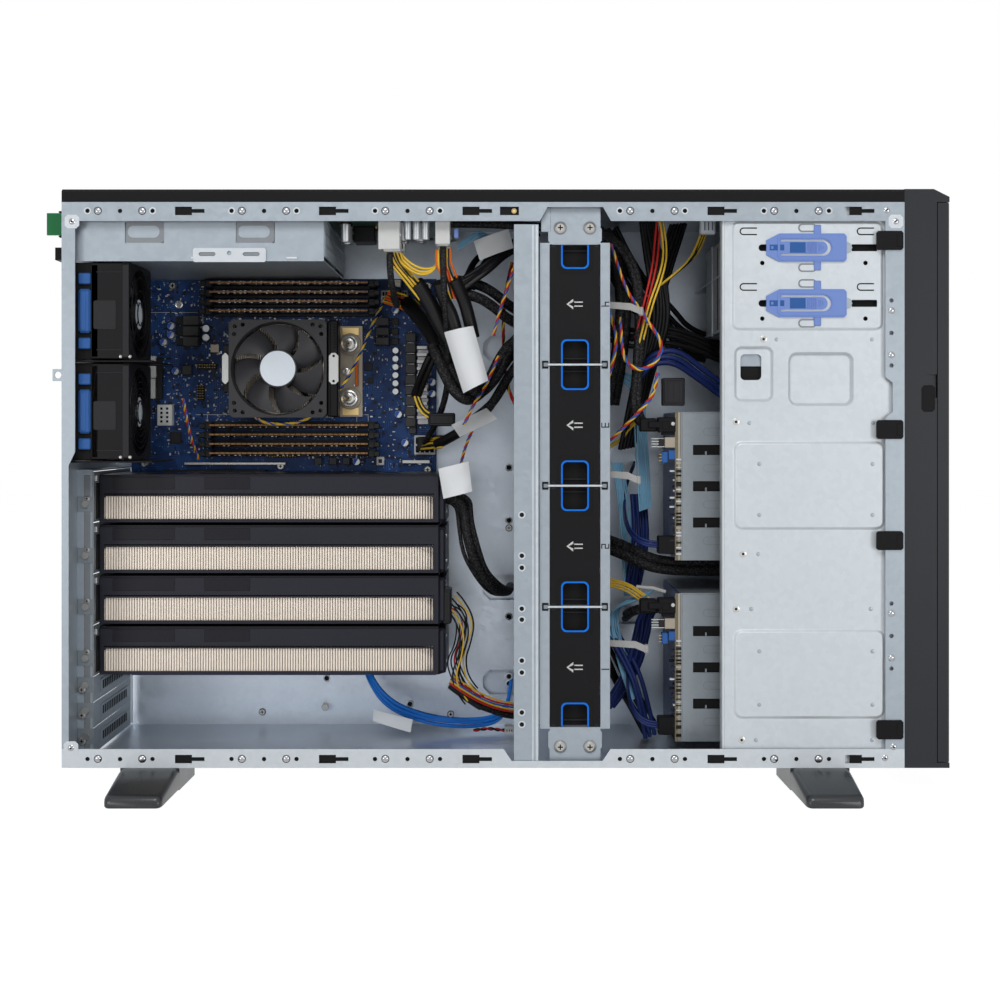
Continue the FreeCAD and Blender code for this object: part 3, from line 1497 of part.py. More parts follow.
def cable(width, thick, places):
    """Flat cable or taped bundle along a route, with its bend radii printed."""
    route, radii = rounded_route(places)
    ahead = (places[1] - places[0]).normalize()
    side = ahead.cross(V(0, 1, 0))
    if side.Length < fit_gap:
        side = V(1, 0, 0)
    side.normalize()
    over = ahead.cross(side)
    half_side = side * (width / 2)
    half_over = over * (thick / 2)
    start = places[0]
    corners = [
        start - half_side - half_over,
        start + half_side - half_over,
        start + half_side + half_over,
        start - half_side + half_over,
    ]
    section = Part.makePolygon(corners + corners[:1])
    tube = route.makePipeShell([section], True, False)
    share = tube.Volume / (Part.Face(section).Area * route.Length)
    print("cable", width, "wide, length", round(route.Length), "volume share", round(share, 3),
          "bend radii", [round(value) for value in radii])
    return tube


def power_socket_mouth(index):
    """Middle of the open face of one hanging power socket."""
    offset, width, drop = power_sockets[index]
    z = z_ceiling - power_board_stand - power_board_thick - drop
    return V(x_psu_end + offset + width / 2, y_psu0 + sheet + power_socket_depth / 2, z)


def block_mouth(index):
    """Middle of the open face of one block on the main board."""
    across, drop, width, height, rise = board_blocks[index]
    return V(x_board + across + width / 2, y_board - rise, z_board_top - drop - height / 2)


def backplane_mouth(cage, from_top):
    """Middle of the open face of the upper or lower socket of one backplane."""
    inset = cage_height - backplane_socket if from_top else backplane_socket
    x = x_drive_cage - backplane_thick - backplane_socket
    return V(x, y_cage0 + (sheet + backplane_socket) / 2, z_base + cage_bases[cage] + inset)


def window_behind(index):
    """Where a cable ends behind one window of the inner far wall."""
    x, z = tray_windows[index]
    return V(x_rear + x, y_tray + cable_tuck, z_base + z)


def led_cable(run, start, end):
    """Cable with its first steps from one end and its last steps from the other."""
    width, thick, steps_out, steps_back = run
    points = [start + V(*step) for step in steps_out] + [end + V(*step) for step in steps_back]
    return cable(width, thick, points)


def build_cables():
    """Cables held inside the case between the power board, main board, cards and drives."""
    card_plug = V(x_board + card_length + card_nose, y_card + card_plug_depth, card_top(0) - card_thick / 2)
    board_edge = V(x_psu_end + power_board_length, y_psu0 + sheet + power_lead_row,
                   z_ceiling - power_board_stand - power_board_thick / 2)
    save("cable_harness", [
        led_cable(card_power_cable, card_plug, window_behind(1)),
        led_cable(board_power_cable, power_socket_mouth(0), block_mouth(3)),
        led_cable(processor_power_cable, power_socket_mouth(1), block_mouth(4)),
        led_cable(drive_power_cable, board_edge, backplane_mouth(1, True)),
        led_cable(lower_drive_cable, backplane_mouth(0, True), window_behind(3)),
        led_cable(board_data_cable, block_mouth(13), window_behind(0)),
        led_cable(upper_data_cable, backplane_mouth(1, False), window_behind(4)),
        led_cable(lower_data_cable, backplane_mouth(0, False), window_behind(3)),
    ])


os.makedirs("parts", exist_ok=True)
build_base_panel()
build_top_panel()
build_rear_panel()
build_front_frame()
build_motherboard_tray()
build_covers()
build_fan_cage()
build_fans()
build_rear_fans()
build_card_support()
build_power()
build_motherboard()
build_memory()
build_cooler()
build_cards()
build_slot_plates()
build_drive_bays()
build_drive_cages()
build_bezel()
build_feet()
build_switch()
build_cables()
build_screws()
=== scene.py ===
import json
import logging
import math
import random
from dataclasses import dataclass
from enum import Enum
from typing import Callable, Iterable, Optional, Sequence, Union

import bmesh
import bpy
from mathutils import Matrix, Vector
from mathutils.geometry import tessellate_polygon

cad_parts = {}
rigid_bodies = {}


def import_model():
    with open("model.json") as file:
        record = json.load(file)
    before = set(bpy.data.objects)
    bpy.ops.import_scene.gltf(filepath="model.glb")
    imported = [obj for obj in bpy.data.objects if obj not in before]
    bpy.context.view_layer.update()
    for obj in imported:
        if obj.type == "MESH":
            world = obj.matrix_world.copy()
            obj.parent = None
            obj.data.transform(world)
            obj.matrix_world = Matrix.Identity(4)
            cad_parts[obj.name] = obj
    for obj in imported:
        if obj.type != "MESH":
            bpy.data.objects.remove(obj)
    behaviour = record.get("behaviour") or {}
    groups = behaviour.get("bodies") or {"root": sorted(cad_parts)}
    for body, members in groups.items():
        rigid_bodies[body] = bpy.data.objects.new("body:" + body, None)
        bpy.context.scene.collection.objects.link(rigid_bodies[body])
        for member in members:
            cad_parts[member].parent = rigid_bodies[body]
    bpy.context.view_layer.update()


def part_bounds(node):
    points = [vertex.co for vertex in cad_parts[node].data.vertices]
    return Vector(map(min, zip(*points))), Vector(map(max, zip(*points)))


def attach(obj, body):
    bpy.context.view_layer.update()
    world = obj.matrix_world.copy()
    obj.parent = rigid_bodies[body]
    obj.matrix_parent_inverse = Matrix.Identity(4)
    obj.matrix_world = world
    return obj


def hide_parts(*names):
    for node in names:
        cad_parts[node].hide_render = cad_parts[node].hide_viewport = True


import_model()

log = logging.getLogger("tower")

Point = tuple[float, float, float]
Flat = tuple[float, float]
Colour = tuple[float, float, float]
Value = Union["Wire", float, int, Sequence[float]]
MM = 0.001
CHASSIS = "chassis"
SHARP_ANGLE = math.radians(32)
BEVEL_ANGLE = math.radians(50)
HELD_SEED = 90
NEAR: Point = (0.0, -1.0, 0.0)
FAR: Point = (0.0, 1.0, 0.0)
FRONT: Point = (1.0, 0.0, 0.0)
REAR: Point = (-1.0, 0.0, 0.0)
UP: Point = (0.0, 0.0, 1.0)
DOWN: Point = (0.0, 0.0, -1.0)
DIAGONALS = (45, 135, 225, 315)
WIRE_SIDES = 6


class Wire:
    """A shader socket that takes part in Python arithmetic."""

    def __init__(self, shader: "Shader", socket: bpy.types.NodeSocket) -> None:
        """Args:
            shader: the node tree that holds the socket.
            socket: the output socket to wrap.
        """
        self.shader = shader
        self.socket = socket

    def _math(self, operation: str, first: Value, second: Value) -> "Wire":
        """Add one Math node for two values."""
        return self.shader.node("ShaderNodeMath", {"operation": operation}, {0: first, 1: second})

    def __add__(self, other: Value) -> "Wire":
        """Sum."""
        return self._math("ADD", self, other)

    def __radd__(self, other: Value) -> "Wire":
        """Reflected sum."""
        return self._math("ADD", other, self)

    def __sub__(self, other: Value) -> "Wire":
        """Difference."""
        return self._math("SUBTRACT", self, other)

    def __rsub__(self, other: Value) -> "Wire":
        """Reflected difference."""
        return self._math("SUBTRACT", other, self)

    def __mul__(self, other: Value) -> "Wire":
        """Product."""
        return self._math("MULTIPLY", self, other)

    def __rmul__(self, other: Value) -> "Wire":
        """Reflected product."""
        return self._math("MULTIPLY", other, self)

    def __truediv__(self, other: Value) -> "Wire":
        """Quotient."""
        return self._math("DIVIDE", self, other)

    def __mod__(self, other: Value) -> "Wire":
        """Remainder that stays positive."""
        return self._math("FLOORED_MODULO", self, other)

    def __gt__(self, other: Value) -> "Wire":
        """One where this value is the larger, else zero."""
        return self._math("GREATER_THAN", self, other)

    def __lt__(self, other: Value) -> "Wire":
        """One where this value is the smaller, else zero."""
        return self._math("LESS_THAN", self, other)


class Shader:
    """Node tree of one material."""

    def __init__(self, name: str) -> None:
        """Args:
            name: the material's name.
        """
        self.material = bpy.data.materials.new(name)
        self.material.use_nodes = True
        self.tree = self.material.node_tree
        self.skin = self.tree.nodes["Principled BSDF"]

    def node(self, kind: str, settings: Optional[dict] = None, sockets: Optional[dict] = None,
             output: Union[int, str] = 0) -> Wire:
        """Add any node.

        Args:
            kind: the node's type.
            settings: properties that are set first.
            sockets: values or wires by input name or number.
            output: the output to return.

        Returns:
            The wrapped output socket.
        """
        made = self.tree.nodes.new(kind)
        for key, value in (settings or {}).items():
            setattr(made, key, value)
        for key, value in (sockets or {}).items():
            self.feed(made.inputs[key], value)
        return Wire(self, made.outputs[output])

    def feed(self, socket: bpy.types.NodeSocket, value: Value) -> None:
        """Link a wire to a socket, or set the socket's own value.

        Args:
            socket: the input socket.
            value: the wire or the value.
        """
        if isinstance(value, Wire):
            self.tree.links.new(value.socket, socket)
        else:
            socket.default_value = value

    def skin_set(self, **sockets: Value) -> None:
        """Set inputs of the Principled shader, with underscores for spaces."""
        for key, value in sockets.items():
            self.feed(self.skin.inputs[key.replace("_", " ")], value)

    def place(self, stretch: Point = (1.0, 1.0, 1.0)) -> Wire:
        """Object coordinates in metres, scaled along each axis."""
        spot = self.node("ShaderNodeTexCoord", output="Object")
        return self.node("ShaderNodeMapping", None, {"Vector": spot, "Scale": stretch})

    def axis(self, name: str) -> Wire:
        """One object coordinate, X, Y or Z, in metres."""
        spot = self.node("ShaderNodeTexCoord", output="Object")
        return self.node("ShaderNodeSeparateXYZ", None, {0: spot}, name)

    def noise(self, scale: float, detail: float = 2.0, stretch: Point = (1.0, 1.0, 1.0)) -> Wire:
        """Soft noise from 0 to 1."""
        return self.node("ShaderNodeTexNoise", None,
                         {"Vector": self.place(stretch), "Scale": scale, "Detail": detail, "Roughness": 0.55})

    def cells(self, scale: float, output: str = "Distance", stretch: Point = (1.0, 1.0, 1.0)) -> Wire:
        """Voronoi cells, as distances or as one colour for each cell."""
        return self.node("ShaderNodeTexVoronoi", None,
                         {"Vector": self.place(stretch), "Scale": scale}, output)

    def step(self, value: Wire, low: float, high: float) -> Wire:
        """Value eased from 0 at low to 1 at high."""
        return self.node("ShaderNodeMapRange", {"interpolation_type": "SMOOTHSTEP"},
                         {"Value": value, "From Min": low, "From Max": high})

    def blend(self, mask: Value, first: Value, second: Value) -> Wire:
        """Mix two colours by a mask."""
        return self.node("ShaderNodeMix", {"data_type": "RGBA"},
                         {0: mask, 6: opaque(first), 7: opaque(second)}, 2)

    def relief(self, height: Wire, strength: float, depth: float) -> None:
        """Raise a height over the surface through a Bump node.

        Args:
            height: the height, from 0 to 1.
            strength: share of the bump that shows.
            depth: the height's real depth in millimetres.
        """
        bump = self.node("ShaderNodeBump", None,
                         {"Height": height, "Strength": strength, "Distance": depth * MM})
        self.skin_set(Normal=bump)


def opaque(value: Value) -> Value:
    """A colour with full alpha, or the wire as it is."""
    return value if isinstance(value, Wire) else (*value, 1.0)


def shade(colour: Colour, share: float) -> Colour:
    """A colour made darker or lighter by a share."""
    red, green, blue = (min(1.0, part * share) for part in colour)
    return (red, green, blue)


@dataclass(frozen=True)
class Finish:
    """A finish with soft colour drift, uneven gloss and a fine relief."""

    name: str
    colour: Colour
    rough: float = 0.5
    metal: float = 0.0
    drift: float = 0.08
    drift_scale: float = 60.0
    grain: float = 0.15
    grain_scale: float = 2200.0
    stretch: Point = (1.0, 1.0, 1.0)
    shine: float = 0.2

    def make(self) -> bpy.types.Material:
        """Build the finish, unless it is there already.

        Returns:
            The material.
        """
        kept = bpy.data.materials.get(self.name)
        if kept is not None:
            return kept
        shader = Shader(self.name)
        shader.skin_set(Metallic=self.metal, Specular_IOR_Level=self.shine)
        self.colour_in(shader)
        shader.material.diffuse_color = (*self.colour, 1.0)
        return shader.material

    def colour_in(self, shader: Shader) -> None:
        """Wire colour, roughness and relief.

        Args:
            shader: the new material's node tree.
        """
        cloud = shader.noise(self.drift_scale, 3.0)
        base = shader.blend(cloud, shade(self.colour, 1 - self.drift), shade(self.colour, 1 + self.drift))
        grain = shader.noise(self.grain_scale, 2.0, self.stretch)
        shader.skin_set(Base_Color=base, Roughness=self.rough + (cloud - 0.5) * 0.12 + (grain - 0.5) * 0.1)
        shader.relief(grain, self.grain, 0.05)


@dataclass(frozen=True)
class ZincSteel(Finish):
    """Zinc-coated sheet: faint spangle, rolled grain and a soft metal sheen."""

    spangle: float = 0.05
    spangle_scale: float = 260.0

    def colour_in(self, shader: Shader) -> None:
        """Wire the spangle and the grain.

        Args:
            shader: the node tree.
        """
        cloud = shader.noise(9.0, 3.0)
        cell = shader.node("ShaderNodeSeparateColor", None, {0: shader.cells(self.spangle_scale, "Color")})
        base = shader.blend(cell, shade(self.colour, 1 - self.spangle), shade(self.colour, 1 + self.spangle))
        smear = shader.blend(cloud, shade(self.colour, 0.94), shade(self.colour, 1.04))
        mixed = shader.node("ShaderNodeMix", {"data_type": "RGBA"}, {0: 0.5, 6: base, 7: smear}, 2)
        grain = shader.noise(self.grain_scale, 2.0, self.stretch)
        shader.skin_set(Base_Color=mixed, Roughness=self.rough + (cell - 0.5) * 0.08 + (cloud - 0.5) * 0.1)
        shader.relief(grain, self.grain, 0.03)


@dataclass(frozen=True)
class SolderMask(Finish):
    """Circuit board lacquer over copper: lanes of traces, pads and vias."""

    trace: Colour = (0.05, 0.1, 0.3)
    pad: Colour = (0.5, 0.48, 0.38)
    lane: float = 1.6
    plane: tuple[str, str] = ("X", "Z")

    def colour_in(self, shader: Shader) -> None:
        """Wire traces and vias.

        Args:
            shader: the node tree.
        """
        across = shader.axis(self.plane[0])
        along = shader.axis(self.plane[1])
        lane = self.lane * MM
        patch = shader.noise(38.0, 1.0)
        turn = shader.step(patch, 0.46, 0.54)
        slant = (across + along) % lane
        straight = across % lane
        level = along % lane
        thin = lane * 0.42
        square = (straight < thin) * (patch > 0.4) + (level < thin) * (patch < 0.4)
        lines = turn * (slant < thin) + (1 - turn) * square
        gate = shader.step(shader.noise(70.0, 2.0), 0.42, 0.55)
        via = shader.cells(330.0) < 0.14
        base = shader.blend(lines * gate, self.colour, self.trace)
        dotted = shader.blend(via * gate, base, self.pad)
        shader.skin_set(Base_Color=dotted, Roughness=self.rough + (patch - 0.5) * 0.1)
        shader.relief(lines * gate, 0.25, 0.05)


@dataclass(frozen=True)
class Striped(Finish):
    """Two colours in even stripes along one axis, as on fins or braided edges."""

    second: Colour = (0.02, 0.02, 0.02)
    pitch: float = 2.0
    share: float = 0.5
    along: str = "X"

    def colour_in(self, shader: Shader) -> None:
        """Wire the stripes.

        Args:
            shader: the node tree.
        """
        place = (shader.axis(self.along) / (self.pitch * MM)) % 1.0
        band = shader.step(place, self.share - 0.08, self.share + 0.08)
        cloud = shader.noise(self.drift_scale, 2.0)
        base = shader.blend(band, self.colour, self.second)
        tinted = shader.blend(cloud * self.drift, base, shade(self.colour, 1.3))
        shader.skin_set(Base_Color=tinted, Roughness=self.rough + (cloud - 0.5) * 0.15)
        shader.relief(1 - band, self.grain, 0.2)


@dataclass(frozen=True)
class Braided(Finish):
    """Woven sleeve of fine strands."""

    strand: float = 620.0

    def colour_in(self, shader: Shader) -> None:
        """Wire the weave.

        Args:
            shader: the node tree.
        """
        cell = shader.cells(self.strand)
        knot = shader.step(cell, 0.1, 0.6)
        base = shader.blend(knot, shade(self.colour, 5.0), shade(self.colour, 0.5))
        shader.skin_set(Base_Color=base, Roughness=self.rough + knot * 0.2)
        shader.relief(1 - knot, self.grain, 0.4)


class Look(Enum):
    """The finishes of this tower, by what they are on."""

    # Lit and shaded copies of one zinc steel. The plain one sits in the middle. The wall and pale copies are
    # brightened as painted light, and the cage and shaded copies are darkened as painted shade.
    STEEL = ZincSteel("zinc_steel", (0.33, 0.375, 0.42), 0.36, 0.4, grain=0.2,
                      stretch=(0.05, 1.0, 1.0), shine=0.3)
    # Painted light: brightened copy for the inner wall, the floor and the far cover's inside.
    WALL_STEEL_PAINTED_LIGHT = ZincSteel("inner_steel_painted_light", (0.58, 0.64, 0.72), 0.34, 0.75, grain=0.03,
                           stretch=(0.05, 1.0, 1.0), shine=0.25)
    # Painted shade: darkened copy for the drive cages, card brackets and slot covers.
    STEEL_PAINTED_SHADE = ZincSteel("cage_steel_painted_shade", (0.23, 0.26, 0.285), 0.36, 0.4, grain=0.2, shine=0.25)
    TIE = Finish("grey_strap", (0.36, 0.36, 0.355), 0.5, 0.0, 0.06, 90.0, 0.3)
    # Painted light: paler copy for the bay plate, the base panel's front, and trim on the fan cage, card
    # bracket and wall.
    PALE_STEEL_PAINTED_LIGHT = ZincSteel("pale_steel_painted_light", (0.58, 0.625, 0.66), 0.4, 0.2, grain=0.2,
                            stretch=(1.0, 1.0, 0.05), shine=0.3)
    STEEL_DARK = ZincSteel("shaded_steel", (0.2, 0.215, 0.23), 0.45, 0.4, grain=0.2)
    CHROME = Finish("bright_steel", (0.33, 0.34, 0.36), 0.18, 1.0, 0.1, 200.0, 0.05)
    RIM = Finish("bright_rim", (0.6, 0.64, 0.68), 0.35, 0.2, 0.04, 120.0, 0.1)
    NICKEL = Finish("nickel", (0.46, 0.46, 0.45), 0.28, 0.9, 0.06, 120.0, 0.1)
    SCREW = Finish("screw_zinc", (0.4, 0.39, 0.37), 0.32, 0.85, 0.1, 300.0, 0.2)
    BLACK = Finish("black_moulding", (0.007, 0.007, 0.008), 0.5, 0.0, 0.12, 25.0, 0.35, 1400.0, shine=0.09)
    PAINT = Finish("black_paint", (0.009, 0.009, 0.01), 0.5, 0.0, 0.1, 20.0, 0.45, 900.0, shine=0.16)
    FAN = Finish("fan_moulding", (0.0045, 0.0045, 0.0055), 0.42, 0.0, 0.12, 40.0, 0.2, shine=0.13)
    FAN_SATIN = Finish("fan_satin", (0.028, 0.028, 0.031), 0.42, 0.0, 0.1, 40.0, 0.15, shine=0.25)
    CHARCOAL = Finish("charcoal_moulding", (0.021, 0.0225, 0.0265), 0.4, 0.0, 0.1, 25.0, 0.3,
                      1400.0, shine=0.2)
    FOOT = Finish("foot_moulding", (0.024, 0.027, 0.031), 0.3, 0.0, 0.1, 25.0, 0.25, 1400.0, shine=0.4)
    FAN_GREY = Finish("fan_grey", (0.010, 0.010, 0.012), 0.42, 0.0, 0.12, 40.0, 0.2, shine=0.2)
    # Near-black that paints the shade in holes, slots, seams, gaps and recesses; it is also the colour of a
    # few small black parts.
    DARK = Finish("recess_shade_black", (0.004, 0.004, 0.0045), 0.7, 0.0, 0.1, 40.0, 0.1, shine=0.15)
    SLATE = Finish("slate_shroud", (0.016, 0.0165, 0.0245), 0.42, 0.1, 0.1, 30.0, 0.25, 1800.0,
                   (0.1, 1.0, 1.0))
    SLATE_PANEL = Finish("slate_panel", (0.008, 0.008, 0.012), 0.36, 0.1, 0.1, 30.0, 0.15, 1800.0)
    CHAMPAGNE = Finish("champagne_fins", (0.86, 0.775, 0.68), 0.4, 0.3, 0.05, 200.0, 0.15, 1500.0,
                       (1.0, 1.0, 0.1))
    ALUMINIUM = Finish("bare_aluminium", (0.42, 0.42, 0.43), 0.36, 0.7, 0.06, 120.0, 0.2, 1500.0,
                       (1.0, 0.1, 1.0))
    BOARD = SolderMask("navy_board", (0.008, 0.03, 0.115), 0.36, trace=(0.022, 0.085, 0.27))
    POWER_BOARD = SolderMask("power_lacquer", (0.012, 0.045, 0.03), 0.4, trace=(0.03, 0.09, 0.06),
                             plane=("X", "Y"))
    BOARD_EDGE = Finish("board_edge", (0.17, 0.15, 0.1), 0.6, 0.0, 0.15, 300.0, 0.2)
    BACKPLANE = SolderMask("backplane_board", (0.016, 0.035, 0.12), 0.4, trace=(0.04, 0.075, 0.22),
                           plane=("Y", "Z"))
    MEMORY_EDGE = Striped("memory_edge", (0.26, 0.135, 0.055), 0.45, 0.15, 0.2, second=(0.12, 0.06, 0.03),
                          pitch=4.6, share=0.72)
    SOCKET = Finish("socket_moulding", (0.011, 0.011, 0.012), 0.45, 0.0, 0.1, 60.0, 0.15)
    CHIP = Finish("chip_package", (0.011, 0.011, 0.012), 0.4, 0.0, 0.15, 90.0, 0.3, 2600.0)
    FERRITE = Finish("ferrite", (0.05, 0.05, 0.052), 0.5, 0.1, 0.2, 120.0, 0.4)
    CAN = Finish("capacitor_can", (0.46, 0.48, 0.5), 0.3, 0.75, 0.05, 100.0, 0.1)
    TAN = Finish("socket_frame", (0.3, 0.265, 0.215), 0.36, 0.65, 0.1, 90.0, 0.2)
    IVORY = Finish("white_nylon", (0.6, 0.61, 0.6), 0.42, 0.0, 0.05, 80.0, 0.1)
    PAPER = Finish("blank_label", (0.76, 0.78, 0.8), 0.55, 0.0, 0.03, 50.0, 0.1)
    STICKER = Finish("hub_sticker", (0.74, 0.8, 0.87), 0.35, 0.0, 0.03, 80.0, 0.05)
    HANDLE_BLUE = Finish("handle_blue", (0.028, 0.105, 0.33), 0.42, 0.0, 0.06, 60.0, 0.2)
    LATCH_BLUE = Finish("latch_blue", (0.105, 0.215, 0.53), 0.4, 0.0, 0.05, 60.0, 0.2)
    OUTLINE_BLUE = Finish("outline_blue", (0.005, 0.17, 0.72), 0.35, 0.0, 0.05, 60.0, 0.1)
    SATA_BLUE = Finish("flat_cable_blue", (0.02, 0.19, 0.68), 0.4, 0.0, 0.08, 60.0, 0.2)
    RIBBON_BLUE = Finish("ribbon_pale_blue", (0.2, 0.42, 0.6), 0.4, 0.0, 0.1, 90.0, 0.2)
    CABLE_NAVY = Finish("cable_navy", (0.012, 0.025, 0.12), 0.42, 0.0, 0.1, 60.0, 0.2)
    GREEN = Finish("lever_green", (0.008, 0.13, 0.04), 0.4, 0.0, 0.06, 60.0, 0.15)
    BRASS = Finish("brass", (0.6, 0.4, 0.16), 0.3, 0.85, 0.08, 120.0, 0.15)
    GOLD = Finish("gold_contacts", (0.62, 0.44, 0.16), 0.3, 0.8, 0.08, 200.0, 0.1)
    SLEEVE = Braided("braided_sleeve", (0.008, 0.008, 0.009), 0.5, grain=0.6)
    TAPE = Finish("black_tape", (0.008, 0.008, 0.009), 0.38, 0.0, 0.2, 90.0, 0.5, 500.0)
    WIRE_BLACK = Finish("wire_black", (0.008, 0.008, 0.009), 0.4, 0.0, 0.1, 60.0, 0.1)
    WIRE_YELLOW = Finish("wire_yellow", (0.72, 0.47, 0.045), 0.4, 0.0, 0.08, 60.0, 0.1)
    WIRE_ORANGE = Finish("wire_orange", (0.68, 0.14, 0.02), 0.4, 0.0, 0.08, 60.0, 0.1)
    WIRE_RED = Finish("wire_red", (0.5, 0.025, 0.02), 0.4, 0.0, 0.08, 60.0, 0.1)
    WIRE_BLUE = Finish("wire_blue", (0.03, 0.1, 0.42), 0.4, 0.0, 0.08, 60.0, 0.1)

    def material(self) -> bpy.types.Material:
        """The finish as a Blender material."""
        return self.value.make()


def part_box(node: str) -> tuple[Vector, Vector]:
    """Low and high corners of a CAD node in millimetres."""
    low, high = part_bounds(node)
    return Vector(low) / MM, Vector(high) / MM


def octagon(centre: Flat, half: Flat, cut: float) -> list[Flat]:
    """A rectangle with cut corners, as an outline.

    Args:
        centre: the middle.
        half: half the width and height.
        cut: the corners' cut.

    Returns:
        Eight points, counter-clockwise.
    """
    (u, v), (a, b) = centre, half
    return [(u - a + cut, v - b), (u + a - cut, v - b), (u + a, v - b + cut), (u + a, v + b - cut),
            (u + a - cut, v + b), (u - a + cut, v + b), (u - a, v + b - cut), (u - a, v - b + cut)]


def ring(centre: Flat, radius: float, sides: int = 16, start: float = 0.0) -> list[Flat]:
    """Points of a circle as an outline."""
    turns = [start + math.tau * index / sides for index in range(sides)]
    return [(centre[0] + radius * math.cos(turn), centre[1] + radius * math.sin(turn)) for turn in turns]


def arc(centre: Flat, radius: float, degrees: Iterable[float]) -> list[Flat]:
    """Points of a circle at given angles.

    Args:
        centre: the circle's middle.
        radius: its radius.
        degrees: the angles.

    Returns:
        One point for each angle.
    """
    turns = [math.radians(angle) for angle in degrees]
    return [(centre[0] + radius * math.cos(turn), centre[1] + radius * math.sin(turn)) for turn in turns]


def facing(axis: Sequence[float]) -> Matrix:
    """The turn that brings +Z to a direction."""
    return Vector(UP).rotation_difference(Vector(axis).normalized()).to_matrix()


def strips(rows: int, size: int) -> list[list[int]]:
    """Quads between neighbours of a stack of closed loops.

    Args:
        rows: how many loops.
        size: how many points each loop has.

    Returns:
        The corner numbers of each quad.
    """
    return [[row * size + step, row * size + (step + 1) % size, (row + 1) * size + (step + 1) % size,
             (row + 1) * size + step] for row in range(rows - 1) for step in range(size)]


def leaf(rows: int, columns: int) -> list[list[int]]:
    """Faces of a thin closed leaf: two grids of points, back to back, and the rim between them.

    Args:
        rows: how many rows of points each grid has.
        columns: how many points each row has.

    Returns:
        The corner numbers of each face.
    """
    count = rows * columns
    faces = []
    for row in range(rows - 1):
        for column in range(columns - 1):
            here = row * columns + column
            quad = [here, here + 1, here + columns + 1, here + columns]
            faces += [quad, [count + corner for corner in reversed(quad)]]
    rim = [*range(columns), *range(2 * columns - 1, count, columns),
           *range(count - 2, count - columns - 1, -1), *range(count - 2 * columns, 0, -columns)]
    return faces + [[after, here, count + here, count + after] for here, after in zip(rim, rim[1:] + rim[:1])]


def disc(radius: float, tall: float) -> list[Flat]:
    """Profile of a flat disc for the lathe."""
    return [(0, radius), (tall, radius), (tall, 0)]


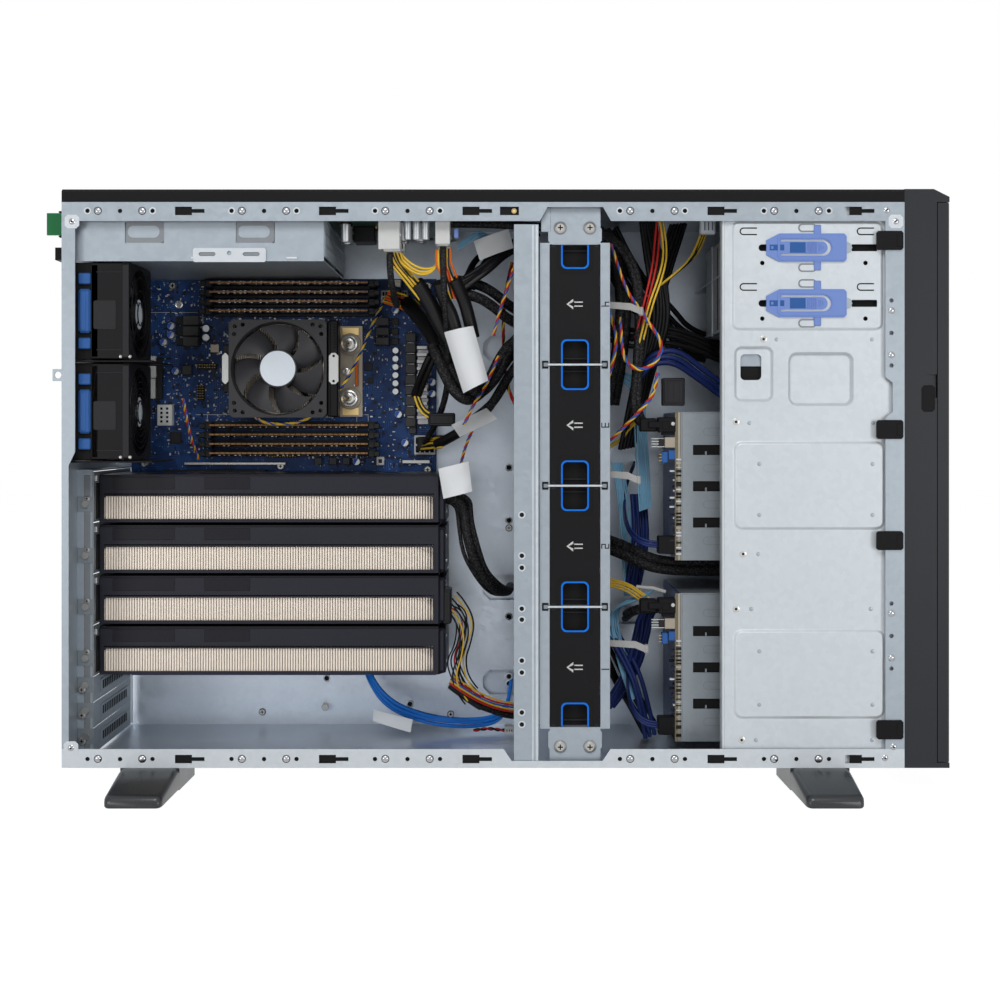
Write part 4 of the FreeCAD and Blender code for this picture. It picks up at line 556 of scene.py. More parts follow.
class Form:
    """One mesh piece, gathered from solids that are given in millimetres."""

    def __init__(self, name: str, *looks: Look) -> None:
        """Args:
            name: the piece's name.
            looks: the finishes that its solids choose from by number.
        """
        self.name = name
        self.looks = looks
        self.points: list[Vector] = []
        self.faces: list[list[int]] = []
        self.skins: list[int] = []

    def add(self, points: Sequence[Sequence[float]], faces: Sequence[Sequence[int]], skin: int = 0) -> None:
        """Add a closed set of faces.

        Args:
            points: the corners in millimetres.
            faces: corner numbers of each face.
            skin: the finish's number.
        """
        start = len(self.points)
        self.points.extend(Vector(point) * MM for point in points)
        self.faces.extend([start + corner for corner in face] for face in faces)
        self.skins.extend([skin] * len(faces))

    def block(self, low: Sequence[float], high: Sequence[float], skin: int = 0, bevel: float = 0.4) -> None:
        """Add a block with bevelled edges.

        Args:
            low: the low corner.
            high: the high corner.
            skin: the finish's number.
            bevel: the edge's bevel, held to a third of the thinnest side.
        """
        small = [min(a, b) for a, b in zip(low, high)]
        large = [max(a, b) for a, b in zip(low, high)]
        cut = min(bevel, min(b - a for a, b in zip(small, large)) / 3)
        points: list[list[float]] = []
        for axis in range(3):
            for mask in range(8):
                corner = [large[k] if mask >> k & 1 else small[k] for k in range(3)]
                for k in range(3):
                    if k != axis:
                        corner[k] += -cut if mask >> k & 1 else cut
                points.append(corner)
        faces: list[list[int]] = []
        for axis in range(3):
            one, two = (axis + 1) % 3, (axis + 2) % 3
            for side in (0, 1):
                order = [(0, 0), (1, 0), (1, 1), (0, 1)]
                faces.append([axis * 8 + (side << axis | a << one | b << two) for a, b in order])
                for other in (0, 1):
                    edge = [side << one | other << two | end << axis for end in (0, 1)]
                    faces.append([one * 8 + edge[0], one * 8 + edge[1], two * 8 + edge[1], two * 8 + edge[0]])
        faces.extend([[mask, 8 + mask, 16 + mask] for mask in range(8)])
        self.add(points, faces, skin)

    def lathe(self, foot: Sequence[float], axis: Sequence[float], profile: Sequence[Flat], skin: int = 0,
              sides: int = 20) -> None:
        """Turn a profile about an axis.

        Args:
            foot: the axis's start.
            axis: its direction.
            profile: pairs of way along the axis and radius; an end of radius 0 comes to a point.
            skin: the finish's number.
            sides: facets around.
        """
        turn = facing(axis)
        points: list[Vector] = []
        rows: list[list[int]] = []
        for along, radius in profile:
            around = ring((0.0, 0.0), radius, sides) if radius > 0 else [(0.0, 0.0)]
            rows.append(list(range(len(points), len(points) + len(around))))
            points.extend(Vector(foot) + turn @ Vector((u, v, along)) for u, v in around)
        faces: list[list[int]] = []
        for under, over in zip(rows, rows[1:]):
            for index in range(sides):
                after = (index + 1) % sides
                if len(under) == 1 and len(over) == 1:
                    continue
                if len(under) == 1:
                    faces.append([under[0], over[after], over[index]])
                elif len(over) == 1:
                    faces.append([under[index], under[after], over[0]])
                else:
                    faces.append([under[index], under[after], over[after], over[index]])
        if len(rows[0]) > 1:
            faces.append(list(reversed(rows[0])))
        if len(rows[-1]) > 1:
            faces.append(rows[-1])
        self.add(points, faces, skin)

    def plate(self, plane: str, level: float, thick: float, outline: Sequence[Flat],
              holes: Sequence[Sequence[Flat]] = (), skin: int = 0) -> None:
        """Add a flat plate with holes.

        Args:
            plane: the two axes it lies along, as xz, yz or xy.
            level: its place on the third axis.
            thick: its thickness along that axis.
            outline: the outer outline.
            holes: the outlines of its holes.
            skin: the finish's number.
        """
        first, second = ("xyz".index(letter) for letter in plane)
        third = 3 - first - second
        loops = [list(outline), *[list(hole) for hole in holes]]
        flat = [Vector((u, v, 0.0)) for loop in loops for u, v in loop]
        triangles = tessellate_polygon([[Vector((u, v, 0.0)) for u, v in loop] for loop in loops])
        points: list[list[float]] = []
        for side in (level, level + thick):
            for spot in flat:
                corner = [0.0, 0.0, 0.0]
                corner[first], corner[second], corner[third] = spot.x, spot.y, side
                points.append(corner)
        count = len(flat)
        faces = [list(triangle) for triangle in triangles]
        faces += [[count + corner for corner in reversed(triangle)] for triangle in triangles]
        start = 0
        for loop in loops:
            size = len(loop)
            for index in range(size):
                here, after = start + index, start + (index + 1) % size
                faces.append([here, after, count + after, count + here])
            start += size
        self.add(points, faces, skin)

    def tube(self, path: Sequence[Sequence[float]], radius: float, skin: int = 0, sides: int = 8) -> None:
        """Add a round rod along straight stretches.

        Args:
            path: the corners of its middle line.
            radius: its radius.
            skin: the finish's number.
            sides: facets around.
        """
        spots = [Vector(point) for point in path]
        points: list[Vector] = []
        for index, spot in enumerate(spots):
            before = spots[max(index - 1, 0)]
            after = spots[min(index + 1, len(spots) - 1)]
            turn = facing(after - before)
            points.extend(spot + turn @ Vector((u, v, 0)) for u, v in ring((0.0, 0.0), radius, sides))
        ends = [list(reversed(range(sides))), [len(points) - sides + side for side in range(sides)]]
        self.add(points, ends + strips(len(spots), sides), skin)

    def hoop(self, plane: str, centre: Sequence[float], radius: float, wire: float, skin: int,
             sides: int) -> None:
        """Add a round wire.

        Args:
            plane: the two axes it lies along, as yz or xy.
            centre: its middle.
            radius: its radius.
            wire: half the wire's thickness.
            skin: the finish's number.
            sides: stretches around.
        """
        first, second = ("xyz".index(letter) for letter in plane)
        path: list[list[float]] = []
        for u, v in ring((0, 0), radius, sides):
            spot = list(centre)
            spot[first] += u
            spot[second] += v
            path.append(spot)
        self.tube([*path, path[0]], wire, skin, WIRE_SIDES)

    def spokes(self, centre: Sequence[float], reach: Flat, turns: Sequence[float], wire: float, skin: int,
               sides: int = WIRE_SIDES) -> None:
        """Add straight wires that run out from a point, across the case.

        Args:
            centre: the point.
            reach: how far out they start and end.
            turns: their angles in degrees.
            wire: half a wire's thickness.
            skin: the finish's number.
            sides: facets around a wire.
        """
        spot = Vector(centre)
        for turn in turns:
            arm = Vector((0, math.cos(math.radians(turn)), math.sin(math.radians(turn))))
            self.tube([spot + arm * reach[0], spot + arm * reach[1]], wire, skin, sides)

    def screw(self, spot: Sequence[float], axis: Sequence[float], radius: float, tall: float, skin: int = 0,
              dark: int = 0) -> None:
        """Add a low round screw head with a cross slot.

        Args:
            spot: the middle of the seat.
            axis: the way the head points.
            radius: the head's radius.
            tall: its height.
            skin: the head's finish.
            dark: the slot's finish, a near-black that paints the shade in the slot.
        """
        rim = [(-0.3, radius * 0.6), (0, radius), (tall * 0.5, radius), (tall, radius * 0.72), (tall, 0)]
        self.lathe(spot, axis, rim, skin, 16)
        turn = facing(axis)
        foot = Vector(spot) + turn @ Vector((0, 0, tall - 0.15))
        for wide, deep in ((radius * 0.95, radius * 0.22), (radius * 0.22, radius * 0.95)):
            flat = [Vector((a * wide / 2, b * deep / 2, c * 0.22))
                    for c in (0, 1) for a, b in ((-1, -1), (1, -1), (1, 1), (-1, 1))]
            faces = [[3, 2, 1, 0], [4, 5, 6, 7], [0, 1, 5, 4], [1, 2, 6, 5], [2, 3, 7, 6], [3, 0, 4, 7]]
            self.add([foot + turn @ spot_ for spot_ in flat], faces, dark)

    def piece(self, body: str = CHASSIS, replaces: Sequence[str] = ()) -> bpy.types.Object:
        """Make the object and hang it on its body.

        Args:
            body: the body that carries it.
            replaces: the CAD nodes that it stands in for.

        Returns:
            The new object.
        """
        mesh = bpy.data.meshes.new(self.name)
        mesh.from_pydata([tuple(point) for point in self.points], [], self.faces)
        for look in self.looks:
            mesh.materials.append(look.material())
        mesh.polygons.foreach_set("material_index", self.skins)
        work = bmesh.new()
        work.from_mesh(mesh)
        bmesh.ops.recalc_face_normals(work, faces=work.faces)
        work.to_mesh(mesh)
        work.free()
        mesh.polygons.foreach_set("use_smooth", [True] * len(mesh.polygons))
        mesh.set_sharp_from_angle(angle=SHARP_ANGLE)
        made = bpy.data.objects.new(self.name, mesh)
        bpy.context.scene.collection.objects.link(made)
        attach(made, body)
        if replaces:
            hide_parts(*replaces)
        return made


def strand(name: str, look: Look, routes: Sequence[Sequence[Point]], radius: float, flat: float = 0.0,
           body: str = CHASSIS) -> bpy.types.Object:
    """Lay wires of one finish along smooth curves.

    Args:
        name: the piece's name.
        look: the finish.
        routes: points of each wire in millimetres.
        radius: half the wire's thickness.
        flat: half of what a flat cable is wider than it is thick.
        body: the body that carries them.

    Returns:
        The new curve object.
    """
    curve = bpy.data.curves.new(name, "CURVE")
    curve.dimensions = "3D"
    curve.bevel_depth = radius * MM
    curve.bevel_resolution = 2
    curve.extrude = flat * MM
    curve.resolution_u = 6
    curve.use_fill_caps = True
    curve.materials.append(look.material())
    for route in routes:
        spline = curve.splines.new("NURBS")
        spline.points.add(len(route) - 1)
        for spot, point in zip(spline.points, route):
            spot.co = (*(part * MM for part in point), 1.0)
        spline.order_u = 3
        spline.use_endpoint_u = True
    made = bpy.data.objects.new(name, curve)
    bpy.context.scene.collection.objects.link(made)
    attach(made, body)
    return made


def soften(width: float, *nodes: str) -> None:
    """Round the sharp edges of CAD nodes.

    Args:
        width: the rounding's width in millimetres.
        nodes: the nodes.
    """
    for node in nodes:
        edge = bpy.data.objects[node].modifiers.new("soft_edges", "BEVEL")
        edge.width = width * MM
        edge.segments = 2
        edge.limit_method = "ANGLE"
        edge.angle_limit = BEVEL_ANGLE


def clothe(look: Look, *nodes: str) -> None:
    """Give CAD nodes one finish.

    Args:
        look: the finish.
        nodes: the nodes.
    """
    for node in nodes:
        mesh = bpy.data.objects[node].data
        mesh.materials.clear()
        mesh.materials.append(look.material())
        mesh.polygons.foreach_set("material_index", [0] * len(mesh.polygons))


def clothe_by(node: str, looks: Sequence[Look], choose: Callable[[Vector, Vector], int]) -> None:
    """Give each face of a CAD node a finish by its place.

    Args:
        node: the node.
        looks: the finishes.
        choose: a finish's number from a face's middle in millimetres and its normal.
    """
    mesh = bpy.data.objects[node].data
    mesh.materials.clear()
    for look in looks:
        mesh.materials.append(look.material())
    picks = [choose(face.center / MM, face.normal) for face in mesh.polygons]
    mesh.polygons.foreach_set("material_index", picks)


class Assembly:
    """A group of pieces that is built and dressed together."""

    def build(self) -> None:
        """Add the pieces that the CAD model leaves out."""

    def dress(self) -> None:
        """Give the CAD nodes their finishes."""

    def make(self) -> None:
        """Build, dress and report."""
        before = len(bpy.data.objects)
        self.build()
        self.dress()
        log.info("%s: %d pieces added", type(self).__name__, len(bpy.data.objects) - before)


@dataclass
class Studio(Assembly):
    """Camera, soft lights, pale floor and a white surround."""

    eye: Point = (3.15, -1269.0, 276.9)
    lens: float = 55.46
    shift: Flat = (0.0, -0.07)
    floor_half: float = 6000.0
    floor_share: float = 0.6
    floor_glow: float = 1.6
    world_strength: float = 0.1
    aim: Point = (0.0, 0.0, 200.0)
    lamps: tuple[tuple[str, Point, float, float], ...] = (
        ("key_panel", (-100.0, -1700.0, 1600.0), 800.0, 20.0),
        ("left_panel", (-1450.0, -2000.0, 220.0), 600.0, 11.5),
        ("right_panel", (1450.0, -2000.0, 220.0), 600.0, 13.5))

    def build(self) -> None:
        """Place the camera, the lights and the floor."""
        self.camera()
        for name, spot, size, power in self.lamps:
            self.light(name, spot, size, power)
        self.floor()
        self.surround()

    def camera(self) -> None:
        """Look square at the open side."""
        lens = bpy.data.cameras.new("camera")
        lens.lens = self.lens
        lens.shift_x, lens.shift_y = self.shift
        lens.clip_end = 50.0
        made = bpy.data.objects.new("camera", lens)
        made.location = Vector(self.eye) * MM
        made.rotation_euler = (math.radians(90), 0, 0)
        bpy.context.scene.collection.objects.link(made)
        bpy.context.scene.camera = made

    def light(self, name: str, spot: Point, size: float, power: float) -> None:
        """Hang one square area light that faces the tower.

        Args:
            name: its name.
            spot: its place in millimetres.
            size: its side.
            power: its power in watts.
        """
        lamp = bpy.data.lights.new(name, "AREA")
        lamp.size = size * MM
        lamp.energy = power
        made = bpy.data.objects.new(name, lamp)
        made.location = Vector(spot) * MM
        made.rotation_euler = (Vector(self.aim) - Vector(spot)).to_track_quat("-Z", "Y").to_euler()
        bpy.context.scene.collection.objects.link(made)

    @staticmethod
    def seen(shader_tree: bpy.types.NodeTree) -> bpy.types.NodeSocket:
        """Tell rays from the camera, and mirrored and let-through ones, from the rest.

        Args:
            shader_tree: the node tree that asks.

        Returns:
            A socket that is one for such rays, else zero.
        """
        path = shader_tree.nodes.new("ShaderNodeLightPath")
        total = path.outputs["Is Camera Ray"]
        for name in ("Is Glossy Ray", "Is Transmission Ray"):
            summed = shader_tree.nodes.new("ShaderNodeMath")
            summed.operation = "MAXIMUM"
            shader_tree.links.new(total, summed.inputs[0])
            shader_tree.links.new(path.outputs[name], summed.inputs[1])
            total = summed.outputs[0]
        return total

    def floor(self) -> None:
        """Lay a pale floor that shows as white with a faint shadow."""
        half = self.floor_half * MM
        mesh = bpy.data.meshes.new("floor")
        mesh.from_pydata([(-half, -half, 0), (half, -half, 0), (half, half, 0), (-half, half, 0)], [],
                         [(0, 1, 2, 3)])
        shader = Shader("pale_floor")
        shader.skin_set(Base_Color=shader.blend(shader.noise(3.0), (0.86, 0.86, 0.86), (0.9, 0.9, 0.9)),
                        Roughness=0.9, Specular_IOR_Level=0.0)
        tree = shader.tree
        glow = tree.nodes.new("ShaderNodeEmission")
        glow.inputs["Strength"].default_value = self.floor_glow
        factor = Wire(shader, self.seen(tree)) * self.floor_share
        mixed = tree.nodes.new("ShaderNodeMixShader")
        tree.links.new(factor.socket, mixed.inputs[0])
        tree.links.new(shader.skin.outputs[0], mixed.inputs[1])
        tree.links.new(glow.outputs[0], mixed.inputs[2])
        tree.links.new(mixed.outputs[0], tree.nodes["Material Output"].inputs[0])
        mesh.materials.append(shader.material)
        made = bpy.data.objects.new("floor", mesh)
        bpy.context.scene.collection.objects.link(made)

    def surround(self) -> None:
        """White where it is seen, softer where it lights the tower."""
        world = bpy.data.worlds.new("surround")
        world.use_nodes = True
        bpy.context.scene.world = world
        tree = world.node_tree
        soft = tree.nodes["Background"]
        soft.inputs[0].default_value = (1.0, 1.0, 1.0, 1.0)
        soft.inputs[1].default_value = self.world_strength
        white = tree.nodes.new("ShaderNodeBackground")
        white.inputs[0].default_value = (1.0, 1.0, 1.0, 1.0)
        white.inputs[1].default_value = 1.0
        mixed = tree.nodes.new("ShaderNodeMixShader")
        tree.links.new(self.seen(tree), mixed.inputs[0])
        tree.links.new(soft.outputs[0], mixed.inputs[1])
        tree.links.new(white.outputs[0], mixed.inputs[2])
        tree.links.new(mixed.outputs[0], tree.nodes["World Output"].inputs[0])
        view = bpy.context.scene.view_settings
        view.view_transform = "Standard"


def smooth_path(points: Sequence[Point], steps: int) -> list[Vector]:
    """Evenly stepped points of a soft curve through given points.

    Args:
        points: the points that it passes.
        steps: how many stretches the whole path gets.

    Returns:
        The stepped points.
    """
    spots = [Vector(point) for point in points]
    ends = [spots[0] * 2 - spots[1], *spots, spots[-1] * 2 - spots[-2]]
    found = []
    for index in range(steps + 1):
        way = index / steps * (len(spots) - 1)
        leg = min(int(way), len(spots) - 2)
        share = way - leg
        before, start, end, after = ends[leg:leg + 4]
        found.append(0.5 * (2 * start + (end - before) * share
                            + (2 * before - 5 * start + 4 * end - after) * share ** 2
                            + (3 * start - before - 3 * end + after) * share ** 3))
    return found


def twist(points: Sequence[Point], count: int, spread: float, pitch: float) -> list[list[Point]]:
    """Routes of wires twisted about each other along a path.

    Args:
        points: points of the middle line in millimetres.
        count: how many wires.
        spread: radius of the twist.
        pitch: length of one full turn.

    Returns:
        One route for each wire.
    """
    length = sum((Vector(b) - Vector(a)).length for a, b in zip(points, points[1:]))
    path = smooth_path(points, max(8, int(length / pitch * 5)))
    routes: list[list[Point]] = [[] for _ in range(count)]
    gone = 0.0
    for index, spot in enumerate(path):
        ahead = (path[min(index + 1, len(path) - 1)] - path[max(index - 1, 0)]).normalized()
        side = ahead.cross(Vector((0.3, 0.2, 0.93))).normalized()
        over = ahead.cross(side)
        gone += (spot - path[max(index - 1, 0)]).length
        for number, route in enumerate(routes):
            turn = math.tau * (gone / pitch + number / count)
            route.append(tuple(spot + (side * math.cos(turn) + over * math.sin(turn)) * spread))
    return routes


def fan_of(points: Sequence[Point], count: int, spread: Point, seed: int) -> list[list[Point]]:
    """Routes of loose wires that run side by side.

    Args:
        points: points of the middle wire in millimetres.
        count: how many wires.
        spread: largest shift along each axis.
        seed: what the shifts are drawn from.

    Returns:
        One route for each wire.
    """
    draw = random.Random(seed)
    routes = []
    for index in range(count):
        share = 0.0 if count == 1 else index / (count - 1) * 2 - 1
        route = []
        for place, point in enumerate(points):
            loose = 0.35 * math.sin(math.pi * place / (len(points) - 1))
            route.append(tuple(part + width * (share + draw.uniform(-loose, loose))
                               for part, width in zip(point, spread)))
        routes.append(route)
    return routes


@dataclass(frozen=True)
class Wheel:
    """A fan wheel: a rounded hub and swept, cambered blades."""

    hub: float
    tip: float
    depth: float
    blades: int = 7
    span: float = 43.0
    lean: float = 20.0
    thick: float = 1.3
    across: int = 7
    along: int = 7

    def build(self, form: Form, centre: Sequence[float], axis: Sequence[float], skin: int = 0) -> None:
        """Add the wheel to a form.

        Args:
            form: the form that takes it.
            centre: the middle of its back face.
            axis: the way its front faces.
            skin: the finish's number.
        """
        turn = facing(axis)
        foot = Vector(centre)
        round_rim = [(0, self.hub), (self.depth - 1.5, self.hub), (self.depth - 0.4, self.hub - 0.5),
                     (self.depth, self.hub - 1.6), (self.depth, 0)]
        form.lathe(centre, axis, round_rim, skin, 40)
        rows, columns = self.across + 1, self.along + 1
        for number in range(self.blades):
            points = []
            for side in (0, 1):
                for row in range(rows):
                    out = row / self.across
                    radius = self.hub - 0.6 + (self.tip - self.hub + 0.6) * out
                    for column in range(columns):
                        share = column / self.along
                        swing = self.span * (0.86 + 0.2 * out)
                        sweep = self.lean * out ** 1.5 + swing * share
                        angle = math.radians(number * 360 / self.blades + sweep)
                        rise = self.depth * (0.1 + 0.74 * share - 0.1 * out)
                        rise += self.depth * 0.13 * math.sin(math.pi * share) + side * self.thick
                        spot = Vector((radius * math.cos(angle), radius * math.sin(angle), rise))
                        points.append(foot + turn @ spot)
            form.add(points, leaf(rows, columns), skin)


def soft_rect(low: Flat, high: Flat, radius: float, inset: float = 0.0, steps: int = 5) -> list[Flat]:
    """A rectangle with round corners, as an outline.

    Args:
        low: its low corner.
        high: its high corner.
        radius: the corners' radius.
        inset: how far the outline is moved in.
        steps: stretches of each corner.

    Returns:
        The points, counter-clockwise.
    """
    bend = max(radius - inset, 0.2)
    x0, z0, x1, z1 = low[0] + inset, low[1] + inset, high[0] - inset, high[1] - inset
    points = []
    for centre, start in (((x1 - bend, z0 + bend), -90), ((x1 - bend, z1 - bend), 0),
                          ((x0 + bend, z1 - bend), 90), ((x0 + bend, z0 + bend), 180)):
        points += arc(centre, bend, [start + 90 * step / steps for step in range(steps + 1)])
    return points


def pan(form: Form, level: float, low: Flat, high: Flat, radius: float, rise: float, skin: int = 0,
        holes: Sequence[Sequence[Flat]] = (), slope: float = 4.0) -> None:
    """Press a soft-edged panel out of an upright plate that faces -Y.

    Args:
        form: the form that takes it.
        level: the plate's front face.
        low: the panel's low corner across and up.
        high: its high corner.
        radius: its corners' radius.
        rise: how far it comes out, or goes in if negative.
        skin: the finish's number.
        holes: outlines of holes in its flat middle.
        slope: the width of its sloped edge.
    """
    shares = (0.0, 0.18, 0.4, 0.6, 0.82, 1.0)
    loops = [soft_rect(low, high, radius, slope * share) for share in shares]
    heights = [rise * (share * share * (3 - 2 * share)) for share in shares]
    points = [(u, level - height, v) for loop, height in zip(loops, heights) for u, v in loop]
    form.add(points, strips(len(loops), len(loops[0])), skin)
    form.plate("xz", level - rise, 0.6, loops[-1], holes, skin)


@dataclass
class Case(Assembly):
    """Sheet-steel case: base, roof, rear wall, inner wall, covers and their small fittings."""

    near: float = -89.0
    wall: float = 81.0
    hole_rows: tuple[float, ...] = (-287.9, -177.6, -67.7, 119.9, 230.2)
    rail_levels: Flat = (444.8, 25.0)
    rivets: tuple[Flat, ...] = ((-324.7, 436.6), (299.4, 445.3), (306.3, 436.7), (298.1, 25.7), (304.7, 34.1),
                                (-325.5, 33.3))
    flange_levels: tuple[float, ...] = (368.4, 334.4, 136.3, 102.2)
    bracket_levels: tuple[float, ...] = (211.7, 180.5, 171.4, 139.8, 131.6, 100.0, 91.0, 60.1, 51.0)
    wall_holes: tuple[Flat, ...] = ((-148.6, 59.5), (-75.7, 36.8), (11.0, 243.9), (11.0, 197.8),
                                    (11.0, 113.4), (11.0, 60.9), (11.0, 54.8))
    corners: tuple[Flat, ...] = ((-325.5, 33.3), (-324.7, 436.6), (306.3, 436.7))

    def build(self) -> None:
        """Add dimples, rivets, hole rims, wall fittings and the bay sleeve."""
        self.rails()
        self.walls()
        self.sleeve()
        self.cover_lines()

    def rails(self) -> None:
        """Press dimples into both rails and rim their holes."""
        form = Form("rail_fittings", Look.CHROME, Look.RIM, Look.DARK)
        dome = [(-0.2, 2.7), (0.35, 2.6), (0.8, 2.1), (1.15, 1.3), (1.3, 0)]
        for z in self.rail_levels:
            for x in self.hole_rows:
                for side in (-17.0, 17.0):
                    form.lathe((x + side, self.near + 0.1, z), NEAR, dome)
                    # A near-black ring round each dimple paints the shade at its edge.
                    form.plate("xz", self.near - 0.1, 0.15, ring((x + side, z), 3.1, 20),
                               [ring((x + side, z), 2.5, 20)], 2)
                for side in (-24.9, 24.9):
                    form.plate("xz", self.near - 0.2, 0.3, ring((x + side, z), 2.7, 20),
                               [ring((x + side, z), 1.75)], 1)
                    # Near-black discs and a block behind the holes and the slot paint the shade inside them.
                    form.plate("xz", self.near + 1.25, 0.3, ring((x + side, z), 2.6, 16), (), 2)
                form.plate("xz", self.near + 1.25, 0.3, ring((x, z), 2.6, 16), (), 2)
                form.block((x + 41.0, self.near + 1.25, z - 4.6),
                           (x + 67.0, self.near + 1.7, z + 4.6), 2, 0.1)
        for x, z in self.corners:
            form.plate("xz", self.near - 0.2, 0.3, octagon((x, z), (5.6, 5.2), 2.2), (), 1)
        for x, z in self.rivets:
            form.lathe((x, self.near + 0.1, z), NEAR, [(-0.2, 2.5), (0.4, 2.4), (0.9, 1.6), (1.0, 0)])
            # A near-black dot paints the shade in the rivet's hollow.
            form.lathe((x, self.near - 0.85, z), NEAR, disc(0.8, 0.15), 2, 12)
        for z in self.bracket_levels:
            form.plate("xz", -87.3, 0.3, ring((19.7, z), 2.7, 20), [ring((19.7, z), 1.75)], 1)
        for z in self.flange_levels:
            form.lathe((303.0, self.near + 0.1, z), NEAR, dome)
        form.piece()

    def walls(self) -> None:
        """Fit standoffs, screws and rimmed holes to the inner wall."""
        form = Form("wall_fittings", Look.NICKEL, Look.PALE_STEEL_PAINTED_LIGHT, Look.DARK)
        for x, z in self.wall_holes:
            form.lathe((x, self.wall, z), NEAR, [(0, 3.4), (0.5, 3.3), (0.7, 2.6), (0.3, 2.2), (0.3, 0)], 1,
                       20)
            # A near-black disc paints the shade in each hole.
            form.lathe((x, self.wall - 0.3, z), NEAR, disc(2.1, 0.1), 2, 16)
        form.lathe((-149.4, self.wall, 35.2), NEAR,
                   [(0, 3.4), (6.5, 3.4), (7.0, 2.9), (7.0, 1.6), (5.0, 1.5), (5.0, 0)], 0, 6)
        for x, z in ((11.0, 191.1), (-40.0, 28.0), (-205.0, 30.0)):
            form.screw((x, self.wall, z), NEAR, 3.2, 1.6, 0, 2)
        form.piece()

    def sleeve(self) -> None:
        """Fold the dark sleeve that closes the upper bay behind its plate."""
        form = Form("bay_sleeve", Look.STEEL_DARK, Look.SCREW, Look.DARK)
        left, near, far, low, high = 174.6, -83.4, 12.0, 352.0, 424.5
        form.block((left, near, low), (left + 1.2, far, high), 0, 0.3)
        form.block((left, near, high - 1.2), (305, far, high), 0, 0.3)
        form.block((left, near, low), (305, far, low + 1.2), 0, 0.3)
        form.block((left - 0.3, -58.0, low + 4), (left + 0.2, -54.0, high - 4), 2, 0.1)
        form.block((left - 1.2, -30.0, low), (left + 0.2, -26.0, high), 0, 0.4)
        for z in (359.0, 377.0, 395.0, 417.0):
            form.screw((left, -74.0, z), REAR, 2.4, 1.1, 1, 2)
        form.piece()

    def cover_lines(self) -> None:
        """Run a shallow seam and end lips along the top cover."""
        low, high = part_box("top_cover")
        form = Form("top_cover_lines", Look.DARK, Look.BLACK)
        for side in (-1, 1):
            form.block((low.x + 4, side * 70 - 0.5, high.z - 0.3),
                       (high.x - 4, side * 70 + 0.5, high.z + 0.02), 0, 0.1)
        form.block((low.x + 2.0, low.y - 0.12, low.z + 0.4), (high.x - 2.0, low.y + 0.1, low.z + 1.0), 0, 0.1)
        form.piece()

    def dress(self) -> None:
        """Steel inside, black paint on the covers; the floor, the front lip and the inner wall take steel
        brightened as painted light.
        """
        clothe(Look.STEEL, "top_panel", "front_frame")
        # The inner wall takes the steel brightened as painted light.
        clothe(Look.WALL_STEEL_PAINTED_LIGHT, "motherboard_tray")
        # Painted light: the base panel's upward face takes the brightened wall steel and its front face the
        # paler steel, so its faces differ by how light falls on them.
        clothe_by("base_panel", (Look.STEEL, Look.WALL_STEEL_PAINTED_LIGHT, Look.PALE_STEEL_PAINTED_LIGHT),
                  lambda spot, normal: 1 if normal.z > 0.5 else 2 * (normal.y < -0.5))
        clothe_by("rear_panel", (Look.STEEL, Look.BLACK),
                  lambda spot, normal: int(-330.0 < spot.x and -84.0 < spot.y < -4.0 and spot.z > 246.0))
        # The cover's inside is bare zinc, in the wall steel brightened as painted light.
        clothe_by("right_side_cover", (Look.PAINT, Look.WALL_STEEL_PAINTED_LIGHT),
                  lambda spot, normal: int(normal.y < -0.5))
        clothe(Look.BLACK, "top_cover", "intrusion_switch")
        clothe(Look.SCREW, "chassis_screws")
        clothe(Look.BRASS, "intrusion_plunger")
        soften(0.5, "top_cover")


